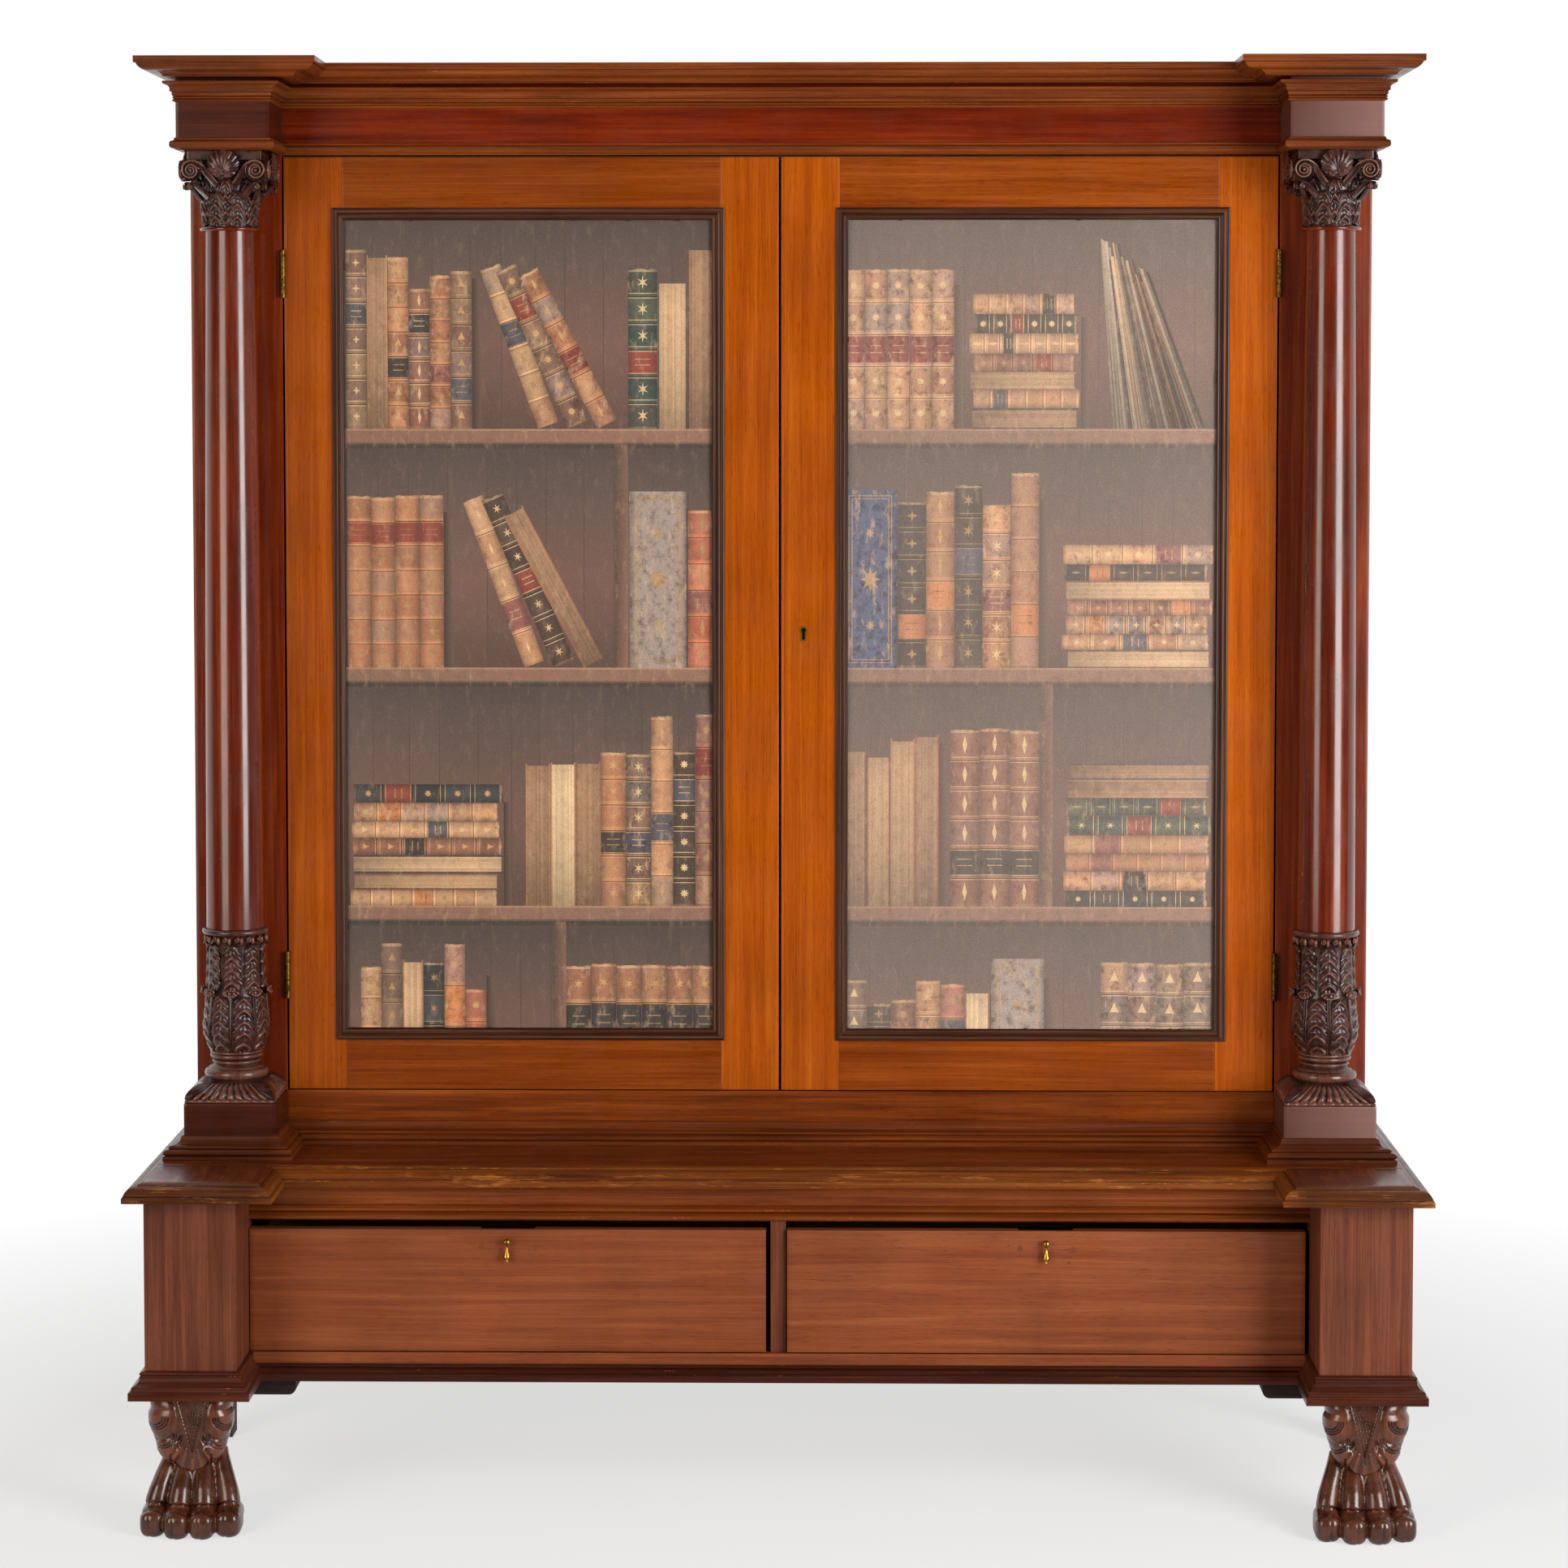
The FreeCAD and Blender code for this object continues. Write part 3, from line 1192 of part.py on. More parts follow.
build_drawer("left", S.left_drawer_gap - pedestal_inner)
build_drawer("right", S.divider_wide / 2 + S.right_drawer_gap)


# Check and write

doc.recompute()
for item in doc.Objects:
    if "Invalid" in item.State or "Error" in item.State:
        raise RuntimeError(f"{item.Name} failed: {item.State}")
for item in NODES:
    if item.Shape.isNull() or not item.Shape.isValid() or not item.Shape.Solids:
        raise RuntimeError(f"{item.Label} has no valid shape")
os.makedirs("parts", exist_ok=True)
for item in NODES:
    item.Shape.exportStep(f"parts/{item.Label}.step")
print(f"{len(NODES)} sub-parts, {sum(len(item.Shape.Solids) for item in NODES)} solids")
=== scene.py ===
"""Break-front bookcase in polished mahogany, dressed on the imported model.

Sizes in the classes are millimetres; meshes are metres. X runs to the right of a person who
faces the bookcase, -Y is its front and Z is up. Left-hand pieces are mirrored from right-hand ones.
"""
from __future__ import annotations

import logging
import random
from dataclasses import dataclass, field
from enum import Enum
from itertools import product
from math import asin, atan2, copysign, cos, dist, exp, hypot, pi, radians, sin, sqrt
from typing import Any, Callable, ClassVar, Iterable, Sequence

import bmesh
import bpy
from bpy.types import Material, Mesh, Node, NodeSocket, NodeTree, Object
from mathutils import Matrix, Vector, noise
from mathutils.geometry import tessellate_polygon


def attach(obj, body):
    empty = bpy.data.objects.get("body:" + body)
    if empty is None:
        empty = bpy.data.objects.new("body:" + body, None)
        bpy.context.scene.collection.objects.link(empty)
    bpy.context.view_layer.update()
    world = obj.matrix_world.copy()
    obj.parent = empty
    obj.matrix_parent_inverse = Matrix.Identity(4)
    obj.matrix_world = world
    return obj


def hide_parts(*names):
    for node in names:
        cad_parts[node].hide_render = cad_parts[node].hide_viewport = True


LOG = logging.getLogger("bookcase")
MM = 0.001
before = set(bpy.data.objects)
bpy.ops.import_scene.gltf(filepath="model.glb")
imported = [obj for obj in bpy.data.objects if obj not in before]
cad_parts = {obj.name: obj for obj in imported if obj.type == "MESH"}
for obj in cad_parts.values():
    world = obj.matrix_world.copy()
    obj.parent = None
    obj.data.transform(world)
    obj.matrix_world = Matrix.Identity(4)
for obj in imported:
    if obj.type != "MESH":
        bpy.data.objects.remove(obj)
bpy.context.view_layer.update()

Point = tuple[float, float, float]
Flat = tuple[float, float]
Rgba = tuple[float, float, float, float]
Placer = Callable[[float, float], Flat]
Spine = Callable[[float], Flat]
WHITE: Rgba = (1.0, 1.0, 1.0, 1.0)


class Along(Enum):
    """The way the grain of a board runs."""

    X = 0
    Y = 1
    Z = 2


# Colours and shader nodes


def linear(code: str) -> tuple[float, float, float, float]:
    """Turns an sRGB hex colour into a linear one.

    Args:
        code: the colour as #RRGGBB.

    Returns:
        Red, green, blue and an alpha of 1.
    """
    parts = [int(code[i:i + 2], 16) / 255 for i in (1, 3, 5)]
    out = [c / 12.92 if c <= 0.04045 else ((c + 0.055) / 1.055) ** 2.4 for c in parts]
    return (out[0], out[1], out[2], 1.0)


@dataclass
class Graph:
    """A node tree while it is being put together."""

    tree: NodeTree

    def node(self, kind: str, settings: dict[str, Any] | None = None,
             **inputs: Any) -> Node:
        """Adds a node with its settings, socket values and links.

        Args:
            kind: the node's type; one without "Node" in it is a shader node.
            settings: properties of the node itself; "stops" fills a colour ramp.
            inputs: values or output sockets; an underscore stands for a space, and iN for socket
                N. A text that starts with # is a colour.

        Returns:
            The new node.
        """
        made = self.tree.nodes.new(kind if "Node" in kind else f"ShaderNode{kind}")
        for key, value in (settings or {}).items():
            if key != "stops":
                setattr(made, key, value)
                continue
            ramp = made.color_ramp.elements
            while len(ramp) < len(value):
                ramp.new(0.5)
            for stop, (place, code) in zip(ramp, value):
                stop.position, stop.color = place, linear(code)
        for key, value in inputs.items():
            by_number = key[0] == "i" and key[1:].isdigit()
            socket = made.inputs[int(key[1:]) if by_number else key.replace("_", " ")]
            if isinstance(value, NodeSocket):
                self.tree.links.new(value, socket)
            else:
                is_code = isinstance(value, str) and value.startswith("#")
                socket.default_value = linear(value) if is_code else value
        return made

    def maths(self, operation: str, *values: Any) -> NodeSocket:
        """Works one sum on numbers or sockets."""
        inputs = {f"i{n}": value for n, value in enumerate(values)}
        return self.node("Math", {"operation": operation}, **inputs).outputs[0]

    def span(self, value: NodeSocket, low: float, high: float, start: float = 0.0, end: float = 1.0,
             curve: str = "LINEAR") -> NodeSocket:
        """Maps the range from low to high to that from start to end, and holds it there."""
        return self.node("MapRange", {"interpolation_type": curve}, Value=value, i1=low, i2=high,
                         i3=start, i4=end).outputs[0]

    def noise(self, place: NodeSocket, scale: float, detail: float, rough: float = 0.5,
              bend: float = 0.0, stretch: Point | None = None) -> NodeSocket:
        """Adds a noise over a place, which a stretch first scales along its axes."""
        if stretch:
            place = self.node("Mapping", Vector=place, Scale=stretch).outputs[0]
        return self.node("TexNoise", Vector=place, Scale=scale, Detail=detail, Roughness=rough,
                         Distortion=bend).outputs["Fac"]

    def mean(self, share: float, first: NodeSocket, second: NodeSocket) -> NodeSocket:
        """A value part of the way from one to another."""
        return self.node("Mix", {"data_type": "FLOAT"}, Factor=share, i2=first,
                         i3=second).outputs[0]

    def tint(self, share: NodeSocket, first: Any, second: Any, how: str = "MIX") -> NodeSocket:
        """Mixes two colours, or multiplies one by the other, by a share."""
        return self.node("Mix", {"data_type": "RGBA", "blend_type": how}, i0=share, i6=first,
                         i7=second).outputs[2]

    def gain(self, colour: NodeSocket, factor: NodeSocket) -> NodeSocket:
        """A colour times a factor."""
        return self.node("VectorMath", {"operation": "SCALE"}, i0=colour, Scale=factor).outputs[0]

    def ramp(self, value: NodeSocket, *stops: tuple[float, str]) -> NodeSocket:
        """The colour of a value between stops."""
        return self.node("ValToRGB", {"stops": stops}, Fac=value).outputs["Color"]

    def layer(self, name: str, output: str = "Fac") -> NodeSocket:
        """A value that the mesh carries."""
        return self.node("Attribute", {"attribute_name": name}).outputs[output]

    def place(self, output: str = "Object") -> NodeSocket:
        """The place of a point, in metres."""
        return self.node("TexCoord").outputs[output]

    def bump(self, strength: float, metres: float, height: NodeSocket) -> NodeSocket:
        """A surface normal bent by a height."""
        return self.node("Bump", Strength=strength, Distance=metres, Height=height).outputs[0]


class Shading(Graph):
    """The node tree of a new material."""

    def __init__(self, name: str) -> None:
        """Starts an empty tree.

        Args:
            name: the material's name.
        """
        self.material = bpy.data.materials.new(name)
        self.material.use_nodes = True
        super().__init__(self.material.node_tree)
        self.tree.nodes.clear()

    def finish(self, kind: str, **inputs: Any) -> Material:
        """Adds the last shader, links it to the output and hands back the material."""
        shader = self.node(kind, **inputs)
        self.node("OutputMaterial", Surface=shader.outputs[0])
        return self.material


@dataclass(frozen=True)
class Mahogany:
    """Sawn and French-polished mahogany.

    The eye sees ribbon stripes along the grain, short dark pores, a clear coat that mirrors
    softly, a darker tint where the wear is below zero, as in inside corners, and paler bare
    wood where arrises are knocked. Painted sheen is a pale painted highlight of the lamp at the
    right-hand end, painted light slope the painted light gain for each metre to the right, ends
    the gain beyond 0.8 m from the middle, and scuff the share of bare wood on flat faces.
    """

    name: str
    dark: str
    mid: str
    light: str
    bare: str = "#C07A3A"
    stripe_mm: float = 26.0
    pore_mm: float = 1.1
    figure: float = 0.9
    blotch: float = 0.35
    roughness: float = 0.34
    coat: float = 0.1
    coat_roughness: float = 0.12
    specular: float = 0.22
    wear: float = 0.45
    scuff: float = 0.0
    chip_mm: float = 9.0
    bump: float = 0.12
    ends: float = 1.0
    painted_sheen: float = 0.0
    painted_light_slope: float = 0.0

    CLOUD: ClassVar[Rgba] = (0.42, 0.34, 0.30, 1.0)
    PORE: ClassVar[Rgba] = (0.32, 0.22, 0.16, 1.0)
    BELOW_ZERO_TINT: ClassVar[Rgba] = (0.16, 0.10, 0.08, 1.0)
    SHEEN_INK: ClassVar[str] = "#A88078"

    def build(self) -> Material:
        """Builds the material: figure, clouds, pores, dirt, bare wood, then the room's light."""
        sh = Shading(self.name)
        place, wear = sh.layer("grain", "Vector"), sh.layer("wear")
        across, pore_across = 1000 / self.stripe_mm, 1000 / self.pore_mm
        ribbon = sh.noise(place, 1.0, 4.0, 0.55, 0.8, (1.5, across, across))
        lines = sh.noise(place, 1.0, 3.0, 0.6, stretch=(6.0, across * 7, across * 7))
        half = 0.17 / self.figure
        colour = sh.ramp(sh.mean(0.42, ribbon, lines), (max(0.0, 0.5 - half), self.dark),
                         (0.5, self.mid), (min(1.0, 0.5 + half), self.light))
        cloud = sh.noise(place, 5.5, 3.0)
        pores = sh.noise(place, 1.0, 1.0, stretch=(46.0, pore_across, pore_across))
        # Darker in cloud patches, in pores and where the wear is below zero.
        for share, dark in ((sh.span(cloud, 0.35, 0.7, 0.0, self.blotch), self.CLOUD),
                            (sh.span(pores, 0.60, 0.74, 0.0, 0.5), self.PORE),
                            (sh.span(wear, -0.05, -1.0, 0.0, 0.75), self.BELOW_ZERO_TINT)):
            colour = sh.tint(share, colour, dark, "MULTIPLY")
        chips = sh.noise(place, 1000 / self.chip_mm, 4.0, 0.65)
        patches = sh.noise(place, 110 / self.chip_mm, 2.0)
        where = sh.maths("MULTIPLY_ADD", patches, 0.9, -0.05)
        rubbed = sh.maths("MULTIPLY", wear, sh.maths("ADD", chips, where))
        start = 1.22 - 0.3 * self.wear
        colour = sh.tint(sh.span(rubbed, start, start + 0.07, 0.0, 0.9), colour, self.bare)
        x = sh.node("SeparateXYZ", Vector=sh.place()).outputs["X"]
        # Painted highlight: a pale sheen of the lamp painted over the right-hand end.
        if self.painted_sheen > 0:
            colour = sh.tint(sh.span(x, 0.75, 0.95, 0.0, self.painted_sheen), colour, self.SHEEN_INK)
        # Painted light: the colour gains for each metre to the right, towards the stronger
        # right-hand lamp.
        if self.painted_light_slope > 0:
            colour = sh.gain(colour, sh.maths("MULTIPLY_ADD", x, self.painted_light_slope, 1.03))
        if self.ends != 1.0:
            colour = sh.gain(colour, sh.span(sh.maths("ABSOLUTE", x), 0.79, 0.83, 1.0, self.ends))
        if self.scuff > 0:
            scuffs = sh.noise(place, 1.0, 6.0, 0.75, stretch=(9.0, 60.0, 60.0))
            colour = sh.tint(sh.span(scuffs, 0.56, 0.68, 0.0, self.scuff), colour, self.bare)
        rough = sh.span(sh.noise(place, 14.0, 3.0), 0.3, 0.75, max(0.05, self.roughness - 0.07),
                        self.roughness + 0.12)
        return sh.finish("BsdfPrincipled", Base_Color=colour, Roughness=rough,
                         Normal=sh.bump(self.bump, 0.002, sh.mean(0.3, cloud, lines)),
                         Coat_Weight=self.coat, Coat_Roughness=self.coat_roughness,
                         Specular_IOR_Level=self.specular)


@dataclass(frozen=True)
class CarvedWood:
    """Dark stained carving: near black in its hollows, from stain and painted shade; brown and
    glossy on its ridges, lighter there from wear and painted highlight.
    """

    name: str
    hollow: str
    body: str
    ridge: str
    roughness: float = 0.30
    coat: float = 0.35
    specular: float = 0.5
    bump: float = 0.25

    def build(self) -> Material:
        """Builds the material."""
        sh = Shading(self.name)
        place = sh.place()
        grain = sh.noise(place, 1.0, 4.0, stretch=(160.0, 160.0, 14.0))
        # The wear layer sets the tone: painted shade in hollows and painted highlight on raised
        # parts, besides stain and wear.
        level = sh.maths("MULTIPLY_ADD", grain, 0.5, sh.layer("wear"))
        tone = sh.ramp(level, (0.0, self.hollow), (0.32, self.body), (0.62, self.body),
                       (1.0, self.ridge))
        dust = sh.noise(place, 34.0, 5.0, 0.65)
        rough = sh.span(dust, 0.3, 0.75, self.roughness - 0.06, self.roughness + 0.2)
        warm = sh.tint(sh.span(dust, 0.4, 0.75, 0.0, 0.45), tone, self.ridge)
        return sh.finish("BsdfPrincipled", Base_Color=warm, Roughness=rough,
                         Normal=sh.bump(self.bump, 0.0008, grain), Coat_Weight=self.coat,
                         Coat_Roughness=0.15, Specular_IOR_Level=self.specular)


@dataclass(frozen=True)
class Metal:
    """Cast brass or drawn steel, dulled in patches by handling."""

    name: str
    bright: str
    dull: str
    roughness: float = 0.28

    def build(self) -> Material:
        """Builds the material."""
        sh = Shading(self.name)
        patches = sh.noise(sh.place(), 320.0, 4.0)
        return sh.finish("BsdfPrincipled", Metallic=1.0,
                         Base_Color=sh.ramp(patches, (0.38, self.dull), (0.6, self.bright)),
                         Roughness=sh.span(patches, 0.3, 0.7, self.roughness + 0.2,
                                           self.roughness))


@dataclass(frozen=True)
class ClearGlass:
    """Drawn window glass: clear and flat, and it lets the lamps through to the print."""

    name: str = "drawn_glass"

    def build(self) -> Material:
        """Builds the material."""
        sh = Shading(self.name)
        pane = sh.node("BsdfPrincipled", Base_Color=(0.985, 0.99, 0.98, 1.0), Roughness=0.01,
                       Transmission_Weight=1.0, IOR=1.45)
        clear = sh.node("BsdfTransparent", Color=(0.96, 0.97, 0.96, 1.0))
        lamp = sh.node("LightPath").outputs["Is Shadow Ray"]
        return sh.finish("MixShader", i0=lamp, i1=pane.outputs[0], i2=clear.outputs[0])


@dataclass(frozen=True)
class PrintedBoard:
    """A matt print of shelves and old books: grainy, mottled inks, a little rubbed and faded."""

    name: str = "printed_board"

    def build(self) -> Material:
        """Builds the material."""
        sh = Shading(self.name)
        speckle, place = sh.layer("speckle"), sh.layer("grain", "Vector")
        marble = sh.span(sh.noise(place, 64.0, 7.0, 0.74), 0.48, 0.66, 0.0, 0.9)
        ink = sh.tint(sh.maths("MULTIPLY", marble, speckle), sh.layer("ink", "Color"),
                      (0.34, 0.28, 0.25, 1.0), "MULTIPLY")
        rub = sh.span(sh.noise(place, 1.0, 6.0, 0.7, stretch=(30.0, 75.0, 75.0)), 0.53, 0.68, 0.0,
                      0.8)
        rubbed = sh.tint(sh.maths("MULTIPLY", rub, speckle), ink, "#B89878")
        grainy = sh.span(sh.noise(place, 420.0, 2.0), 0.3, 0.7, 0.84, 1.16)
        return sh.finish("BsdfPrincipled", Base_Color=sh.gain(rubbed, grainy), Roughness=0.62,
                         Specular_IOR_Level=0.3)


@dataclass(frozen=True)
class Dull:
    """Planed inside wood, unpolished and dusty."""

    name: str
    dark: str
    light: str

    def build(self) -> Material:
        """Builds the material."""
        sh = Shading(self.name)
        grain = sh.noise(sh.place(), 1.0, 5.0, bend=0.5, stretch=(3.0, 120.0, 120.0))
        return sh.finish("BsdfPrincipled", Roughness=0.75, Normal=sh.bump(0.2, 0.0006, grain),
                         Base_Color=sh.ramp(grain, (0.35, self.dark), (0.65, self.light)))


class Wardrobe:
    """All finishes of the bookcase, built once."""

    def __init__(self) -> None:
        """Builds every material."""
        self.frieze = Mahogany("red_mahogany_frieze", "#4B1002", "#702106", "#8C320A",
                               stripe_mm=34, roughness=0.26, wear=0.2).build()
        self.crown = Mahogany("brown_mahogany_cornice", "#4E1E0A", "#7A3A14", "#98501E",
                              stripe_mm=18, roughness=0.3, wear=0.5, ends=0.7).build()
        self.block = Mahogany("brown_mahogany_block", "#300F05", "#441708", "#5C230C",
                              stripe_mm=20, roughness=0.34, wear=0.5, painted_sheen=0.46).build()
        self.moulding = Mahogany("dark_moulded_mahogany", "#3C180A", "#6A300F", "#8A4418",
                                 bare="#C87A32", stripe_mm=12, roughness=0.32, wear=0.55,
                                 ends=0.5).build()
        self.base = Mahogany("dark_base_moulding", "#1F0D08", "#3C190D", "#542713",
                             bare="#C87A32", stripe_mm=12, roughness=0.34, wear=0.6,
                             chip_mm=12, ends=1.6).build()
        self.pilaster = Mahogany("red_mahogany_pilaster", "#541800", "#7A2803", "#98400E",
                                 stripe_mm=30, roughness=0.28, wear=0.3, painted_sheen=0.06).build()
        self.sill = Mahogany("amber_mahogany_sill", "#542004", "#7C380A", "#9A4E16",
                             stripe_mm=24, roughness=0.28, wear=0.3).build()
        self.stile = Mahogany("golden_mahogany_stile", "#863800", "#A64C02", "#BC6210",
                              stripe_mm=16, roughness=0.3, wear=0.3, blotch=0.3,
                              figure=0.75, specular=0.16, coat=0.06, painted_light_slope=0.17).build()
        self.rail = Mahogany("amber_mahogany_rail", "#662602", "#863C06", "#A05016",
                             stripe_mm=22, roughness=0.3, wear=0.3, blotch=0.3,
                             figure=0.75, specular=0.16, coat=0.06, painted_light_slope=0.17).build()
        self.ledge = Mahogany("worn_mahogany_ledge", "#421806", "#6E2E0C", "#964C1C",
                              bare="#B06E30", stripe_mm=22, roughness=0.34, wear=0.7, scuff=0.35,
                              chip_mm=16, ends=0.72).build()
        self.nosing = Mahogany("rubbed_mahogany_ledge_edge", "#3F1905", "#743A0C", "#965618",
                               bare="#C88038", stripe_mm=22, roughness=0.36, wear=0.75,
                               scuff=0.5, chip_mm=10, ends=0.5).build()
        self.drawer = Mahogany("rubbed_mahogany_drawer", "#6A2E12", "#8A441E", "#A05A2E",
                               stripe_mm=16, roughness=0.5, coat=0.03, wear=0.5, blotch=0.35,
                               figure=0.65, specular=0.3).build()
        self.pedestal = Mahogany("rubbed_mahogany_pedestal", "#4E2012", "#6E3821", "#88492F",
                                 stripe_mm=18, roughness=0.46, coat=0.04, wear=0.5,
                                 specular=0.3).build()
        self.shaft = Mahogany("turned_mahogany_shaft", "#3C0F03", "#661F07", "#88380F",
                              stripe_mm=26, roughness=0.22, coat=0.5, coat_roughness=0.12,
                              specular=0.42, wear=0.1, bump=0.04).build()
        self.glazing = Mahogany("weathered_glazing_bead", "#22120A", "#4A2816", "#765240",
                                bare="#8A6850", stripe_mm=8, roughness=0.4, wear=0.7,
                                chip_mm=5).build()
        self.carving = CarvedWood("stained_carving", "#0A0403", "#2A120E", "#744636",
                                  roughness=0.27, coat=0.36, specular=0.42).build()
        self.paw = CarvedWood("polished_paw", "#180A05", "#43200F", "#7E4228",
                              roughness=0.22, coat=0.5).build()
        self.inner = Dull("planed_inside_wood", "#5A3A22", "#86603C").build()
        self.dark_inner = Dull("stained_inside_wood", "#1C0F09", "#33201A").build()
        self.brass = Metal("cast_brass", "#E0B050", "#9A7028").build()
        self.old_brass = Metal("tarnished_brass_hinge", "#9A7436", "#4A3418", roughness=0.4).build()
        self.steel = Metal("drawn_steel", "#A8A29A", "#6A6460", roughness=0.55).build()
        self.glass = ClearGlass().build()
        self.board = PrintedBoard().build()


# Mesh drafting


@dataclass
class Draft:
    """A mesh in the making: points in millimetres, with grain and wear for each point; on carving
    the wear also holds painted shade and painted highlight.
    """

    points: list[Vector] = field(default_factory=list)
    faces: list[tuple[int, ...]] = field(default_factory=list)
    grain: list[Vector] = field(default_factory=list)
    wear: list[float] = field(default_factory=list)
    count: int = 0
    shift: Vector = field(default_factory=Vector)

    def fresh(self) -> None:
        """Takes a fresh part of the log, in millimetres, for the next piece of wood."""
        self.count += 1
        self.shift = Vector((self.count * 731.0, self.count * 317.0, self.count * 97.0))

    def put(self, place: Sequence[float], grain: Sequence[float], worn: float) -> int:
        """Adds one point of the present piece of wood.

        Args:
            place: where it is.
            grain: where it is in the log, along the grain first.
            worn: its wear.

        Returns:
            Its number.
        """
        self.points.append(Vector(place))
        self.grain.append(Vector(grain) + self.shift)
        self.wear.append(worn)
        return len(self.points) - 1

    def add(self, points: Iterable[Sequence[float]], faces: Iterable[Sequence[int]],
            grain: Iterable[Sequence[float]], wear: Iterable[float]) -> None:
        """Adds points and faces, whose numbers count from the first new point."""
        start = len(self.points)
        self.points.extend(Vector(p) for p in points)
        self.faces.extend(tuple(start + i for i in face) for face in faces)
        self.grain.extend(Vector(g) for g in grain)
        self.wear.extend(wear)

    def board(self, low: Point, high: Point, along: Along, bevel: float = 1.0,
              rim: float = 5.0, beside: float = 0.7, hole: Sequence[Flat] = (),
              deep: float = 0.0) -> None:
        """Adds a plank with softened arrises, worn along its edges.

        Args:
            low: lowest corner.
            high: highest corner.
            along: the way of its grain.
            bevel: radius of the softened arris.
            rim: width of the worn strip beside it.
            beside: wear of that strip; below 0 it is darker.
            hole: outline (x, z) of a hole in its front, anticlockwise seen from the front.
            deep: depth of the hole.
        """
        steps = []
        for a, b in zip(low, high):
            edge, ring = min(bevel, (b - a) * 0.2), min(rim, (b - a) * 0.28)
            steps.append((a, a + edge, a + edge + ring, b - edge - ring, b - edge, b))
        keys: dict[tuple[int, ...], int] = {}
        self.fresh()

        def put(place: Sequence[float], worn: float) -> int:
            """Adds a point, its grain turned along the plank."""
            return self.put(place, [place[(along.value + n) % 3] for n in range(3)], worn)

        def index(*key: int) -> int:
            """The number of a grid point on the plank's skin, added when first met."""
            if key not in keys:
                ends = [n for n, k in enumerate(key) if k in (0, 5)]
                place = [steps[n][k] for n, k in enumerate(key)]
                if len(ends) > 1:
                    part = 1 - 1 / sqrt(len(ends))
                    for n in ends:
                        edge = steps[n][1] - steps[n][0]
                        place[n] += edge * part if key[n] == 0 else -edge * part
                near = any(k in (1, 4) for n, k in enumerate(key) if n not in ends)
                keys[key] = put(place, 1.0 if len(ends) > 1 else (beside if near else 0.0))
            return keys[key]

        for axis, side, i, j in product(range(3), (0, 5), range(5), range(5)):
            if hole and (axis, side, i, j) == (1, 0, 2, 2):
                continue
            ring = []
            for du, dv in ((0, 0), (1, 0), (1, 1), (0, 1)):
                key = [side] * 3
                key[(axis + 1) % 3], key[(axis + 2) % 3] = i + du, j + dv
                ring.append(index(*key))
            self.faces.append(tuple(ring if side else ring[::-1]))
        if not hole:
            return
        outer = [index(*key) for key in ((2, 0, 2), (3, 0, 2), (3, 0, 3), (2, 0, 3))]
        mouth = [Vector((x, low[1], z)) for x, z in hole]
        start, total = len(self.points), len(hole)
        # The walls of the hole darken with depth: painted shade in the hole.
        for level, worn in ((0.0, 0.0), (0.6, -0.6), (deep, -1.0)):
            for spot in mouth:
                put(spot + Vector((0, level, 0)), worn)
        for triple in tessellate_polygon([[self.points[n] for n in outer], mouth]):
            ring = [outer[n] if n < 4 else start + n - 4 for n in triple]
            a, b, c = (self.points[n] for n in ring)
            self.faces.append(tuple(ring if (b - a).cross(c - a).y < 0 else ring[::-1]))
        for level, k in product((0, 1), range(total)):
            a, b = start + level * total + k, start + level * total + (k + 1) % total
            self.faces.append((a, a + total, b + total, b))
        self.faces.append(tuple(start + 2 * total + k for k in range(total)))

    def run(self, plan: Sequence[Flat], outline: Sequence[Point], closed: bool = False,
            level: float = 0.0) -> None:
        """Adds mitred lengths of moulding along a plan, standing out on its right-hand side.

        Args:
            plan: corners of the run.
            outline: section points (out, up, wear).
            closed: whether the last corner joins the first.
            level: height of the section's zero.
        """
        corners = [Vector(p) for p in plan]
        legs = list(zip(corners, corners[1:] + corners[:1]))[:None if closed else -1]
        ways = [(b - a).normalized() for a, b in legs]
        outs = [Vector((w.y, -w.x)) for w in ways]
        total = len(outline)
        for n, (start, end) in enumerate(legs):
            first = outs[n] + outs[n - 1] if n or closed else outs[n]
            last = outs[n] + outs[(n + 1) % len(legs)] if n + 1 < len(legs) or closed else outs[n]
            self.fresh()
            travelled = 0.0
            base = len(self.points)
            for k, (out, up, worn) in enumerate(outline):
                if k:
                    travelled += dist(outline[k - 1][:2], (out, up))
                for corner, way in ((start, first), (end, last)):
                    spot = corner + way * out
                    self.put((spot.x, spot.y, level + up),
                             ((spot - start).dot(ways[n]), travelled, out), worn)
            for k in range(total):
                a, b = base + 2 * k, base + 2 * ((k + 1) % total)
                self.faces.append((a, a + 1, b + 1, b))
            self.faces += [tuple(base + 2 * k for k in range(total)),
                           tuple(base + 2 * k + 1 for k in reversed(range(total)))]

